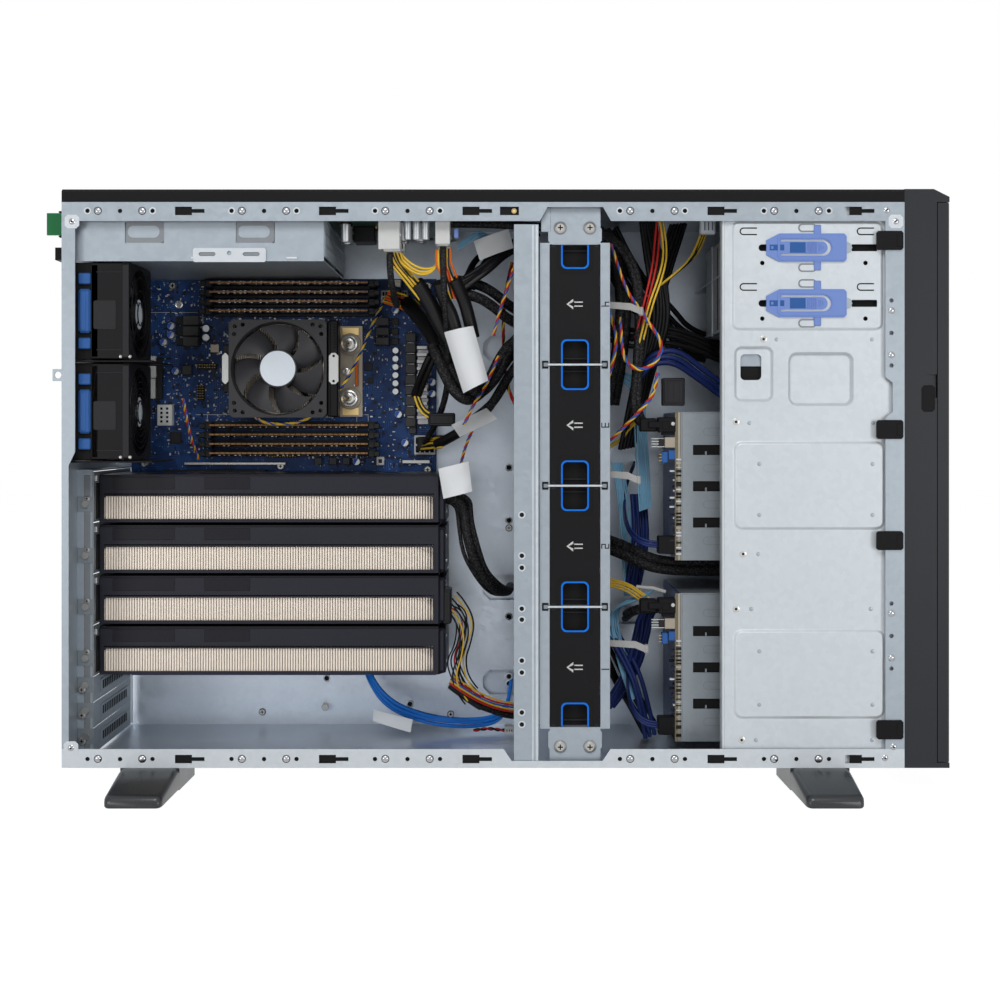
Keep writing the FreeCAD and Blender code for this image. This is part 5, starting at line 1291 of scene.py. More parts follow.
@dataclass
class Bezel(Assembly):
    """Front bezel with its hooks, door and power button."""

    hook_levels: tuple[Flat, ...] = ((414.7, 429.3), (270.0, 284.6), (185.0, 199.5), (40.2, 54.8))
    face: float = 347.5

    def build(self) -> None:
        """Add hooks, the finger recess's painted shade, the button's ring and the door's front."""
        self.hooks()
        self.door()
        self.button()

    def hooks(self) -> None:
        """Mould four flat hooks that clip over the front flange."""
        form = Form("bezel_hooks", Look.BLACK, Look.DARK)
        for low, high in self.hook_levels:
            middle = (low + high) / 2
            form.plate("xz", -90.6, 1.5, octagon((301.5, middle), (10.3, (high - low) / 2), 1.5))
            form.block((306.5, -91.0, middle - 5), (311.5, -89.3, middle + 5), 0, 0.5)
        # A black patch paints the finger recess's concave shade.
        form.block((327.0, -89.15, 292.0), (335.5, -88.7, 310.0), 0, 0.2)
        form.plate("xz", -89.2, 0.3, octagon((331.2, 301.0), (5.2, 10.2), 2.0),
                   [octagon((331.2, 301.0), (4.2, 9.0), 1.6)])
        form.piece()

    def door(self) -> None:
        """Line the door's front with slats inside a soft frame."""
        low, high = part_box("bezel_door")
        form = Form("door_front", Look.PAINT, Look.DARK, Look.NICKEL)
        x = self.face
        # Near-black bands between the slats, and the near-black ring round the frame, paint their shade.
        for step in range(24):
            z = low.z + 34 + step * 12.6
            form.block((x - 0.35, low.y + 24, z), (x - 0.02, high.y - 24, z + 5.4), 1, 0.12)
            form.block((x - 0.3, low.y + 24, z + 5.4), (x - 0.01, high.y - 24, z + 6.4), 0, 0.1)
        form.plate("yz", x - 0.3, 0.28, octagon((0, (low.z + high.z) / 2), (80, (high.z - low.z) / 2 - 8), 6),
                   [octagon((0, (low.z + high.z) / 2), (78.8, (high.z - low.z) / 2 - 9.2), 5.4)], 1)
        form.lathe((x - 0.6, low.y + 14, 392), FRONT,
                   [(0, 5.0), (0.4, 5.0), (0.55, 4.4), (0.4, 3.2), (0.4, 0)], 2, 28)
        form.block((x - 0.25, low.y + 13.2, 389.4), (x - 0.05, low.y + 14.8, 394.6), 1, 0.1)
        form.piece("bezel_door")

    def button(self) -> None:
        """Ring the power button on the bezel's top and set a lamp in its middle."""
        low, high = part_box("power_button")
        form = Form("button_mark", Look.FAN_GREY, Look.STICKER)
        mid_x, mid_y = (low.x + high.x) / 2, (low.y + high.y) / 2
        form.hoop("xy", (mid_x, mid_y, high.z - 0.2), 3.0, 0.18, 1, 24)
        form.lathe((mid_x, mid_y, high.z - 0.4), UP, [(0, 0.8), (0.35, 0.8), (0.38, 0.5), (0.38, 0)], 1, 16)
        form.piece("power_button")

    def dress(self) -> None:
        """Black mouldings."""
        clothe(Look.CHARCOAL, "front_bezel", "bezel_door")
        clothe(Look.FAN_GREY, "power_button")
        soften(0.6, "front_bezel")


@dataclass
class Feet(Assembly):
    """Four swing-out feet: rounded mouldings on ribbed pads."""

    names: tuple[str, ...] = ("foot_rear_near", "foot_rear_far", "foot_front_near", "foot_front_far")
    sole: float = 1.0
    corner: float = 4.4
    pivot: float = 81.0
    sections: tuple[Point, ...] = ((0.0, 18.2, 6.0), (0.9, 19.8, 7.9), (2.6, 20.9, 9.4), (5.4, 21.5, 10.4),
                                   (46.0, 22.4, 17.1),
                                   (50.0, 22.5, 17.7), (55.0, 22.6, 17.95), (58.0, 22.7, 17.95))

    def build(self) -> None:
        """Mould each foot, its root plate with the pivot hole and its ribs."""
        for name in self.names:
            low, high = part_box(name)
            inward = 1 if name.endswith("near") else -1
            tip = low.y if inward > 0 else high.y
            middle = (low.x + high.x) / 2
            form = Form(f"{name}_moulding", Look.FOOT, Look.DARK)
            self.moulding(form, middle, tip, inward)
            root = [(middle + side * half, tip + inward * along) for side, half, along in
                    ((-1, 22.7, 57.6), (1, 22.7, 57.6), (1, 24.0, 110.0), (1, 20.0, 114.0),
                     (-1, 20.0, 114.0), (-1, 24.0, 110.0))]
            form.plate("xy", self.sole, 16.95, root, [ring((middle, tip + inward * self.pivot), 5.6, 24)])
            for step in range(5):
                y = tip + inward * (8 + step * 7)
                form.block((middle - 17, y - 1.4, 0.02), (middle + 17, y + 1.4, self.sole + 0.4), 1, 0.3)
            form.piece(name, (name,))

    def moulding(self, form: Form, middle: float, tip: float, inward: int) -> None:
        """Loft the sloped toe through rounded sections.

        Args:
            form: the form that takes it.
            middle: the foot's middle along the case.
            tip: where the toe ends.
            inward: 1 if the case lies toward positive y, -1 if not.
        """
        points: list[Point] = []
        for along, half, tall in self.sections:
            radius = min(self.corner, (tall - self.sole) * 0.6)
            outline = [(-half, self.sole + 1.0), (-half + 1.0, self.sole), (half - 1.0, self.sole),
                       (half, self.sole + 1.0)]
            for centre, start in ((half - radius, 0), (radius - half, 90)):
                outline += arc((centre, tall - radius), radius, range(start, start + 91, 18))
            points.extend((middle + u * inward, tip + inward * along, v) for u, v in outline)
        size, rows = 16, len(self.sections)
        ends = [list(range(size))[::-1], [(rows - 1) * size + step for step in range(size)]]
        form.add(points, strips(rows, size) + ends)


@dataclass
class PowerBay(Assembly):
    """Supply cage, supplies, levers and the power board behind them."""

    cage_end: float = -132.7
    cage_side: float = -81.0
    board_under: float = 440.7
    supply_rear: float = -332.7

    def build(self) -> None:
        """Add the label bracket, the end vent, the board's parts and the supplies' rear faces."""
        self.bracket()
        self.vent()
        self.board_parts()
        for index in (1, 2):
            self.supply(index)

    def under(self, spot: Vector, normal: Vector) -> int:
        """Choose nylon for the sockets and bare metal for the capacitors under the board.

        Args:
            spot: a face's middle in millimetres.
            normal: its normal, which plays no part.

        Returns:
            The finish's number.
        """
        if spot.z > self.board_under - 0.1:
            return 0
        return 2 if -74.0 < spot.x < -47.2 else 1

    def bracket(self) -> None:
        """Bend a bright bracket with two slots under the cage's near edge."""
        form = Form("cage_bracket", Look.RIM, Look.STEEL_DARK, Look.PAPER, Look.STEEL_DARK, Look.DARK)
        y = self.cage_side - 1.5
        holes = [octagon((-222.5, 412.4), (6.5, 1.5), 1.0), octagon((-188.5, 412.4), (6.5, 1.5), 1.0),
                 ring((-205.4, 413.2), 1.7, 12)]
        form.plate("xz", y, 0.9, octagon((-205.3, 411.7), (28.1, 5.4), 1.2), holes)
        for x in (-222.5, -188.5):
            form.block((x - 6, y + 0.5, 411.2), (x + 6, y + 1.2, 413.6), 1, 0.1)
        for x, half in ((-229.6, 5.5), (-157.5, 4.0)):
            form.block((x - half, y + 0.8, 408.9), (x + half, y + 1.6, 410.3), 2, 0.2)
        for x in (-285.0, -200.0):
            outer = soft_rect((x, 421.4), (x + 29.0, 438.2), 2.0)
            inner = soft_rect((x + 1.0, 425.2), (x + 25.6, 434.4), 4.4)
            form.plate("xz", self.cage_side - 0.25, 0.3, outer, [inner], 3)
        form.piece()

    def vent(self) -> None:
        """Set a grid of slots into the cage's front end."""
        form = Form("cage_vent", Look.STEEL, Look.DARK)
        x = self.cage_end
        for bank in (-78.0, -3.0):
            # A near-black sheet behind the grid paints the shade in its slots.
            form.block((x - 0.6, bank, 411.0), (x + 0.4, bank + 70, 447.0), 1, 0.1)
            for step in range(13):
                y = bank + step * 70 / 12
                form.block((x - 0.2, y - 0.7, 411), (x + 0.9, y + 0.7, 447), 0, 0.2)
            for z in (411, 420, 429, 438, 447):
                form.block((x - 0.2, bank, z - 0.6), (x + 0.9, bank + 70, z + 0.6), 0, 0.2)
        form.piece()

    def board_parts(self) -> None:
        """Hang plugs, capacitors and small parts under the power board."""
        form = Form("power_board_parts", Look.IVORY, Look.CAN, Look.CHIP, Look.LATCH_BLUE,
                    Look.GOLD, Look.DARK)
        z = self.board_under
        for x, y, wide, tall, count in ((-87.2, -76.5, 13.0, 25.5, 6), (-45.8, -76.5, 9.6, 21.0, 4),
                                        (-84.0, -48.0, 12.0, 22.0, 6), (-45.8, -50.0, 9.6, 21.0, 4)):
            form.block((x, y, z - tall), (x + wide, y + 13, z - 0.4), 0, 0.5)
            form.block((x - 0.6, y - 0.5, z - tall * 0.55),
                       (x + wide + 0.6, y + 13.5, z - tall * 0.45), 0, 0.3)
            for row in range(count):
                left = x + 0.9 + row * (wide - 1.8) / count
                form.block((left, y - 0.25, z - tall + 2), (left + 0.7, y + 0.3, z - tall * 0.6), 5, 0.1)
            form.block((x + wide * 0.3, y - 1.6, z - tall * 0.7), (x + wide * 0.7, y, z - 3), 0, 0.4)
        for x, y, radius in ((-72.1, -68.0, 3.4), (-59.0, -66.0, 4.2), (-59.0, -52.0, 4.2),
                             (-72.0, -50.0, 3.4), (-118.0, -60.0, 4.0), (-118.0, -46.0, 4.0)):
            profile = [(0, radius), (15.5, radius), (16.2, radius - 0.5), (15.9, radius - 1.0), (15.9, 0)]
            form.lathe((x, y, z - 0.2), DOWN, profile, 1, 24)
            form.lathe((x, y, z - 0.2), DOWN, [(0, radius + 0.3), (2.0, radius + 0.3), (2.3, radius)], 2, 24)
        form.block((-32.5, -76, 426), (-29.0, -66, 433), 3, 0.5)
        form.block((-114.7, -30, 428), (-97.5, -8, z), 2, 0.6)
        draw = random.Random(31)
        for _ in range(46):
            x, y = draw.uniform(-128, -40), draw.uniform(-30, 64)
            long, wide = draw.choice(((3.0, 1.6), (1.6, 1.6), (5.0, 4.0), (1.6, 0.9)))
            form.block((x, y, z - draw.uniform(0.8, 1.8)), (x + long, y + wide, z),
                       draw.choice((2, 2, 5, 4)), 0.2)
        for x in (-128.0, -40.0):
            for y in (-74.0, 62.0):
                form.screw((x, y, z), DOWN, 2.6, 1.4, 1, 5)
        form.piece()

    def supply(self, index: int) -> None:
        """Fit the rear face of a supply: fan guard and lamp.

        Args:
            index: its number, 1 for the near one.
        """
        low, high = part_box(f"psu_module_{index}")
        form = Form(f"psu_trim_{index}", Look.DARK, Look.STEEL_DARK, Look.NICKEL, Look.GREEN)
        x = self.supply_rear + 0.2
        y = low.y + 20.5
        # A near-black disc paints the shade behind the fan guard.
        form.lathe((x + 0.3, y, 433.5), REAR, disc(13.2, 0.25), 0, 32)
        for radius in (4.2, 7.4, 10.6, 13.4):
            form.hoop("yz", (x - 0.5, y, 433.5), radius, 0.4, 1, 28)
        form.spokes((x - 0.5, y, 433.5), (-13.6, 13.6), DIAGONALS[:2], 0.45, 1)
        form.lathe((x, high.y - 5.5, 444.0), REAR, [(0, 1.5), (0.5, 1.5), (0.8, 0.9), (0.8, 0)], 3, 16)
        form.piece(f"psu_module_{index}")

    def dress(self) -> None:
        """Steel cage, black handles and green levers."""
        clothe(Look.STEEL, "psu_cage")
        for index in (1, 2):
            clothe_by(f"psu_module_{index}", (Look.STEEL, Look.BLACK),
                      lambda spot, normal: int(spot.x < -333.2))
            clothe(Look.GREEN, f"psu_latch_{index}")
            soften(0.3, f"psu_latch_{index}")
        clothe_by("power_board", (Look.POWER_BOARD, Look.IVORY, Look.CAN), self.under)


@dataclass
class RearFans(Assembly):
    """Two pull-out fans behind the main board, with blue grips."""

    centre_y: float = -44.2
    centres: Flat = (368.72, 291.12)
    grip_face: float = -312.0
    face: float = -283.0

    def build(self) -> None:
        """Add wheels, guards, plates and grip edges."""
        for index, z in enumerate(self.centres, 1):
            self.wheel(index, z)
            self.module(index, z)

    def wheel(self, index: int, z: float) -> None:
        """Put a swept wheel in place of the plain rotor.

        Args:
            index: the fan's number.
            z: the height of its middle.
        """
        low, high = part_box(f"rear_fan_rotor_{index}")
        form = Form(f"rear_fan_wheel_{index}", Look.FAN, Look.STICKER)
        tip = (high.z - low.z) / 2
        deep = self.face - 1.0 - low.x
        Wheel(tip * 0.44, tip, deep).build(form, (low.x + 0.2, self.centre_y, z), FRONT)
        form.lathe((low.x + deep + 0.1, self.centre_y, z), FRONT, disc(tip * 0.36, 0.2), 1, 28)
        form.piece(f"rear_fan_rotor_{index}", (f"rear_fan_rotor_{index}",))

    def module(self, index: int, z: float) -> None:
        """Mould one module: two flanges on a waisted duct, near wall, grips and guard.

        Args:
            index: the fan's number.
            z: the height of its middle.
        """
        name = f"rear_fan_module_{index}"
        low, high = part_box(name)
        half = (high.z - low.z) / 2
        form = Form(f"rear_fan_case_{index}", Look.FAN, Look.SCREW, Look.DARK, Look.HANDLE_BLUE,
                    Look.FAN_GREY)
        bore = [ring((self.centre_y, z), 35.0, 48)]
        for x, thick, reach, cut, skin in ((self.grip_face, 5.0, half, 2.5, 0),
                                           (self.grip_face + 5, 19.5, half - 1.8, 9.0, 0),
                                           (self.face - 4.5, 4.5, half, 2.5, 4)):
            form.plate("yz", x, thick, octagon((self.centre_y, z), (reach, reach), cut), bore, skin)
        form.block((self.grip_face, low.y, z - half + 1), (self.face - 4, low.y + 1.6, z + half - 1), 0, 0.5)
        form.plate("xz", low.y - 0.4, 0.5, octagon((-301.4, z - 3), (8.6, 11.0), 1.0), (), 4)
        form.block((-329.0, low.y + 3, z - half + 0.4),
                   (self.grip_face + 0.4, low.y + 5, z + half - 0.4), 2, 0.4)
        form.block((low.x, low.y - 0.5, z - 17), (self.grip_face - 0.4, low.y + 11, z + 17), 3, 1.6)
        form.block((low.x + 1.6, low.y - 0.9, z - 15), (low.x + 6.4, low.y + 0.4, z + 15), 3, 0.8)
        for side in (-1, 1):
            form.block((low.x, low.y, z + side * 25 - 4.3),
                       (self.grip_face - 0.4, low.y + 11, z + side * 25 + 4.3), 3, 0.8)
            form.block((-308.0, low.y - 0.3, z + side * 30 - 0.4),
                       (self.face - 5, low.y + 0.2, z + side * 30 + 0.4), 4, 0.2)
        for x in (self.face - 6.4, self.face + 1.0):
            form.lathe((x, low.y + 1.5, z - half + 2.6), NEAR,
                       [(0, 1.3), (1.6, 1.3), (2.1, 0.8), (2.2, 0)], 1, 14)
        for radius in (9.0, 14.0, 19.0, 24.0, 29.0, 34.0)[:: 3 - index]:
            form.hoop("yz", (self.face + 0.3, self.centre_y, z), radius, 0.5, 4, 36)
        form.spokes((self.face - 0.5, self.centre_y, z), (8.64, 36.0), DIAGONALS, 0.6, 4)
        form.piece(name, (name,))


@dataclass
class RearFace(Assembly):
    """Outside of the case that the photo hides: exhaust guards, card ports and the far cover's edges."""

    wall: float = -332.7
    fan_y: float = -44.2
    fan_levels: Flat = (368.72, 291.12)
    guard_rings: tuple[float, ...] = (9.0, 16.0, 23.0, 30.0, 37.0)
    bracket_face: float = -319.1
    bracket_top: float = 243.6
    card_pitch: float = 40.64
    port: Flat = (16.6, 5.8)
    far: float = 89.0

    def build(self) -> None:
        """Add guards, ports, vents and cover edges."""
        self.guards()
        self.ports()
        self.cover()

    def guards(self) -> None:
        """Weld a wire guard into each exhaust opening."""
        form = Form("exhaust_guards", Look.NICKEL, Look.SCREW, Look.DARK)
        for z in self.fan_levels:
            for radius in self.guard_rings:
                form.hoop("yz", (self.wall + 0.6, self.fan_y, z), radius, 0.7, 0, 40)
            form.spokes((self.wall + 0.9, self.fan_y, z), (9.0, 39.5), DIAGONALS, 0.8, 0)
        form.piece()

    def ports(self) -> None:
        """Set four ports and a row of vent slots into each card bracket."""
        form = Form("card_ports", Look.NICKEL, Look.DARK, Look.CHIP)
        x = self.bracket_face
        wide, tall = self.port
        for card in range(4):
            top = self.bracket_top - card * self.card_pitch
            for step in range(4):
                y, z = -12.0 + step * 20.4, top - 30.6
                rim = octagon((y, z), (wide / 2, tall / 2), 0.9)
                mouth = octagon((y, z), (wide / 2 - 1.0, tall / 2 - 1.0), 0.7)
                form.plate("yz", x - 1.0, 1.0, rim, [mouth], 0)
                # A near-black face paints the shade inside each port.
                form.plate("yz", x - 0.3, 0.2, rim, (), 1)
                form.block((x - 0.8, y - wide / 2 + 2.4, z - 0.5),
                           (x - 0.2, y + wide / 2 - 2.4, z + 0.5), 2, 0.1)
            for step in range(16):
                y = -34.0 + step * 6.2
                # Each vent slot is a near-black patch that paints its shade.
                form.plate("yz", x - 0.15, 0.2, octagon((y, top - 11.5), (1.7, 6.4), 1.2), (), 1)
        form.piece()

    def cover(self) -> None:
        """Hem the far cover and set its two screws."""
        form = Form("far_cover_hems", Look.PAINT, Look.DARK, Look.SCREW)
        low, high = part_box("right_side_cover")
        for z in (low.z + 1.0, high.z - 3.0):
            form.block((low.x + 1.0, self.far - 0.2, z), (high.x - 1.0, self.far + 0.5, z + 2.0), 0, 0.4)
        for x in (low.x + 1.0, high.x - 3.0):
            form.block((x, self.far - 0.2, low.z + 3.0), (x + 2.0, self.far + 0.5, high.z - 3.0), 0, 0.4)
        for z in (60.0, 410.0):
            form.screw((low.x + 9.0, self.far, z), FAR, 3.4, 1.6, 2, 1)
        form.piece()


@dataclass
class MainBoard(Assembly):
    """Main board with its parts and memory. Places are across and down from its rear top corner."""

    seed: int = 11
    loose_parts: int = 900
    chip_rows: int = 9

    def __post_init__(self) -> None:
        """Read the board's place from its CAD node."""
        low, high = part_box("motherboard")
        self.rear, self.face, self.top = low.x, low.y, high.z
        self.long, self.tall = high.x - low.x, high.z - low.z

    def on(self, form: Form, across: float, down: float, size: Flat, rise: float, skin: int,
           bevel: float = 0.3, lift: float = 0.0) -> None:
        """Stand a block on the board.

        Args:
            form: the form that takes it.
            across: its rear side.
            down: its upper side.
            size: its width and height.
            rise: how far it stands out.
            skin: the finish's number.
            bevel: the edge's bevel.
            lift: where it starts above the board.
        """
        x, z = self.rear + across, self.top - down
        form.block((x, self.face - lift - rise, z - size[1]), (x + size[0], self.face - lift, z), skin, bevel)

    def can(self, form: Form, across: float, down: float, radius: float, rise: float, skin: int,
            mark: Optional[int] = None) -> None:
        """Stand a round capacitor on the board, with a coloured half on its end.

        Args:
            form: the form that takes it.
            across: its middle across.
            down: its middle down.
            radius: its radius.
            rise: its height.
            skin: the can's finish.
            mark: the finish of the half disc.
        """
        x, z = self.rear + across, self.top - down
        profile = [(0, radius * 0.94), (0.7, radius), (rise - 0.7, radius), (rise, radius * 0.86), (rise, 0)]
        form.lathe((x, self.face, z), NEAR, profile, skin, 18)
        if mark is not None:
            half = arc((x, z), radius * 0.84, range(60, 241, 20))
            form.plate("xz", self.face - rise - 0.12, 0.2, half, (), mark)

    def build(self) -> None:
        """Fit sockets, power parts, chips and memory."""
        self.parts()
        self.loose()
        self.memory()

    def parts(self) -> None:
        """Everything that is soldered on and large enough to name."""
        form = Form("board_parts", Look.CHIP, Look.CAN, Look.FERRITE, Look.ALUMINIUM, Look.IVORY, Look.SOCKET,
                    Look.WIRE_BLUE, Look.GOLD, Look.TAN, Look.NICKEL, Look.DARK, Look.STEEL)
        chip, can, coil, bare, white, black, blue, gold, tan, bright, dark, _ = range(12)
        for row in range(3):
            self.on(form, 212.9, 34.0 + 8.5 * row, (12.2, 7.2), 9.0, coil, 0.8)
            self.on(form, 226.4, 34.6 + 8.5 * row, (6.2, 5.6), 2.2, chip)
            self.on(form, 46.8, 32.4 + 9.1 * row, (13.8, 8.6), 11.5, coil, 0.8)
            self.on(form, 39.6, 33.2 + 9.1 * row, (5.6, 7.0), 2.4, chip)
        for row in range(9):
            self.on(form, 238.6, 47.0 + 9.2 * row, (9.6, 8.4), 7.6, coil, 0.9)
            self.on(form, 240.4, 54.8 + 9.2 * row, (6.0, 1.5), 1.4, bright, 0.1)
        for row in range(6):
            self.can(form, 230.4, 62.7 + 7.1 * row, 2.9, 8.0, can)
        for row in range(11):
            self.on(form, 249.5, 59.2 + 6.0 * row, (8.9, 3.0), 19.0, bare, 0.3)
        self.on(form, 249.2, 58.6, (9.5, 68.0), 3.0, bare, 0.3)
        for across, down in ((35.7, 41.3), (35.7, 49.2), (29.1, 55.3), (39.6, 80.6), (230.2, 27.6),
                             (232.9, 117.9), (238.5, 142.7), (196.5, 159.0), (262.0, 90.0), (262.0, 100.0)):
            self.can(form, across, down, 3.4, 7.0, can, blue)
        for down in (43.5, 51.4):
            self.can(form, 66.1, down, 3.4, 7.4, can)
        for across, down in ((162.9, 155.4), (175.8, 155.4), (187.4, 155.4), (245.0, 128.6)):
            self.on(form, across - 3.2, down, (6.4, 6.4), 4.2, coil, 0.6)
        self.on(form, 213.6, 154.8, (6.6, 7.4), 3.0, white, 0.4)
        self.on(form, 215.3, 156.8, (3.2, 3.4), 3.3, black, 0.2)
        self.on(form, 33.9, 133.4, (9.6, 9.8), 1.6, chip, 0.3)
        self.on(form, 44.6, 75.0, (8.8, 8.8), 4.4, coil, 0.8)
        self.on(form, 69.0, 57.0, (7.4, 7.0), 1.4, tan, 0.2)
        self.on(form, 203.0, 73.0, (6.8, 6.8), 1.4, chip, 0.2)
        self.on(form, 206.0, 86.0, (4.6, 4.6), 1.2, chip, 0.2)
        self.ports(form, white, bright, dark)
        self.sockets(form, white, black, bright, gold, dark)
        for across, down in ((36.1, 6.1), (258.0, 6.2), (12.0, 160.0), (130.0, 163.0), (258.0, 166.0)):
            form.screw((self.rear + across, self.face, self.top - down), NEAR, 3.6, 2.2, bright, dark)
        form.lathe((self.rear + 41.3, self.face, self.top - 22.2), NEAR,
                   [(0, 3.4), (0.5, 3.4), (0.7, 2.9), (0.7, 1.9), (0.1, 1.9), (0.1, 0)], bright, 20)
        form.piece(replaces=("board_components",))

    def sockets(self, form: Form, white: int, black: int, bright: int, gold: int, dark: int) -> None:
        """Power, fan, drive and card sockets.

        Args:
            form: the form that takes them.
            white: the number of its white finish.
            black: the number of its black finish.
            bright: the number of its bright finish.
            gold: the number of its gold finish.
            dark: the number of its dark finish.
        """
        self.on(form, 218.2, 11.2, (23.0, 10.8), 13.0, white, 0.5)
        for column in range(9):
            for row in range(2):
                self.on(form, 219.6 + 2.4 * column, 12.4 + 4.6 * row, (1.7, 3.6), 13.3, dark, 0.1)
        self.on(form, 246.9, 136.2, (18.0, 16.6), 12.0, white, 0.5)
        for column in range(4):
            for row in range(2):
                self.on(form, 248.2 + 4.1 * column, 137.8 + 7.4 * row, (3.2, 5.8), 12.3, dark, 0.2)
        self.on(form, 224.4, 1.6, (10.6, 6.2), 9.0, white, 0.4)
        for column in range(4):
            self.on(form, 225.6 + 2.4 * column, 3.4, (0.8, 0.8), 11.0, gold, 0.1)
        self.on(form, 13.4, 67.4, (9.4, 19.0), 9.0, white, 0.5)
        self.on(form, 17.6, 87.0, (4.6, 17.2), 9.0, white, 0.5)
        self.on(form, 22.9, 68.4, (5.0, 36.6), 6.0, black, 0.4)
        self.on(form, 24.2, 109.6, (13.0, 18.2), 9.0, white, 0.5)
        for row in range(4):
            self.on(form, 15.0, 69.4 + 4.2 * row, (2.4, 2.4), 9.3, dark, 0.2)
            self.on(form, 27.0, 112.0 + 3.7 * row, (2.0, 2.0), 9.3, dark, 0.2)
            self.on(form, 32.0, 112.0 + 3.7 * row, (2.0, 2.0), 9.3, dark, 0.2)
        for across, down, columns, rows in ((57.2, 74.0, 8, 2), (57.6, 92.0, 3, 6), (118.0, 153.4, 12, 1)):
            self.on(form, across, down, (2.2 * columns, 2.2 * rows), 2.4, black, 0.2)
            for column in range(columns):
                for row in range(rows):
                    self.on(form, across + 0.8 + 2.2 * column, down + 0.8 + 2.2 * row, (0.6, 0.6),
                            7.6, gold, 0.05)
        self.on(form, 198.8, 329.6, (15.0, 10.8), 8.0, black, 0.5)
        for index in range(4):
            down = self.top - part_box(f"card_shroud_{index + 1}")[1].z - 2.9
            self.on(form, 29.6, down, (89.0, 7.4), 11.0, black, 0.5)
        self.on(form, 46.6, 159.6, (88.0, 2.2), 3.4, bright, 0.3)
        self.on(form, 236.0, 157.6, (24.0, 3.0), 3.4, bright, 0.3)

    def ports(self, form: Form, white: int, bright: int, dark: int) -> None:
        """Stacked port shells at the rear edge.

        Args:
            form: the form that takes them.
            white: the number of its white finish.
            bright: the number of its bright finish.
            dark: the number of its dark finish.
        """
        stacks = ((8.0, 16.0, 30.0, 2), (27.0, 18.0, 26.0, 3), (52.0, 30.0, 18.0, 2), (84.0, 17.0, 18.0, 2),
                  (106.0, 32.0, 14.0, 1))
        for down, tall, rise, cells in stacks:
            self.on(form, -13.0, down, (28.0, tall), rise, bright, 0.4)
            step = rise / cells
            for cell in range(cells):
                self.on(form, -13.5, down + 1.6, (1.4, tall - 3.2), step - 2.4, dark, 0.2, cell * step + 1.2)
                self.on(form, -13.7, down + 3.4, (1.2, tall - 6.8), step * 0.2, white, 0.1,
                        cell * step + step * 0.42)

    def loose(self) -> None:
        """Scatter small resistors and chips over the free areas."""
        draw = random.Random(self.seed)
        form = Form("board_small_parts", Look.IVORY, Look.TAN, Look.CHIP, Look.CAN)
        areas = ((14.0, 2.0, 78.0, 150.0, 0.62), (196.0, 26.0, 66.0, 124.0, 0.26),
                 (90.0, 32.0, 104.0, 4.0, 0.05), (150.0, 152.0, 110.0, 10.0, 0.07))
        for left, upper, wide, tall, share in areas:
            for _ in range(int(self.loose_parts * share)):
                across, down = left + draw.random() * wide, upper + draw.random() * tall
                kind = draw.choices((0, 1, 2, 3), (4, 2, 4, 3))[0]
                size = (draw.choice((1.0, 1.6, 2.2)), draw.choice((0.6, 0.9, 1.2)))
                if draw.random() < 0.5:
                    size = (size[1], size[0])
                scale = 1.7 if kind == 2 else 1.0
                self.on(form, across, down, (size[0] * scale, size[1] * scale),
                        0.5 + 0.5 * draw.random(), kind, 0.08)
        for across, down, wide, tall in ((56.0, 118.0, 38.0, 0.35), (196.0, 118.0, 0.35, 34.0),
                                         (206.0, 118.0, 0.35, 34.0),
                                         (196.0, 118.0, 10.0, 0.35), (196.0, 152.0, 10.0, 0.35),
                                         (62.0, 4.0, 0.35, 34.0),
                                         (14.0, 29.0, 44.0, 0.35), (66.0, 118.0, 0.35, 36.0)):
            self.on(form, across, down, (wide, tall), 0.12, 0, 0.02)
        form.piece()

    def memory(self) -> None:
        """Chips and small parts on the memory modules, and the sockets' end latches."""
        form = Form("memory_chips", Look.CHIP, Look.CAN, Look.SOCKET, Look.GOLD, Look.IVORY)
        low, high = part_box("memory_modules")
        draw = random.Random(self.seed + 1)
        pitch, thick, edge = 7.95, 1.4, low.y
        for bank in (high.z, 281.02):
            for row in range(4):
                upper = bank - pitch * row
                for side in (-1, 1):
                    z = upper if side > 0 else upper - thick
                    for chip in range(self.chip_rows):
                        x = low.x + 6.0 + chip * (high.x - low.x - 12.0) / self.chip_rows
                        form.block((x, edge + 3.4, z), (x + 10.6, edge + 14.5, z + side * 1.1), 0, 0.15)
                        for tick in range(3):
                            spot = x + 1.0 + tick * 4.0 + draw.random() * 1.4
                            form.block((spot, edge + 1.2, z),
                                       (spot + draw.choice((0.8, 1.6)), edge + 2.6, z + side * 0.6),
                                       draw.choice((1, 1, 4, 0)), 0.08)
                for end, lean in ((low.x - 4.6, -1), (high.x + 4.6, 1)):
                    x0, x1 = sorted((end - lean * 5.0, end + lean * 2.2))
                    form.block((x0, edge + 9.0, upper - thick - 2.3), (x1, edge + 16.0, upper + 2.3), 2, 0.7)
                    form.block((min(end, end + lean * 5.2), edge + 7.4, upper - thick - 1.6),
                               (max(end, end + lean * 5.2), edge + 11.0, upper + 1.6), 2, 0.7)
        form.piece()

    def dress(self) -> None:
        """Navy board, dark sockets, copper-brown module edges."""
        clothe(Look.BOARD, "motherboard")
        clothe(Look.SOCKET, "memory_slots")
        clothe_by("memory_modules", (Look.BOARD, Look.MEMORY_EDGE), lambda spot, normal: int(normal.y < -0.5))


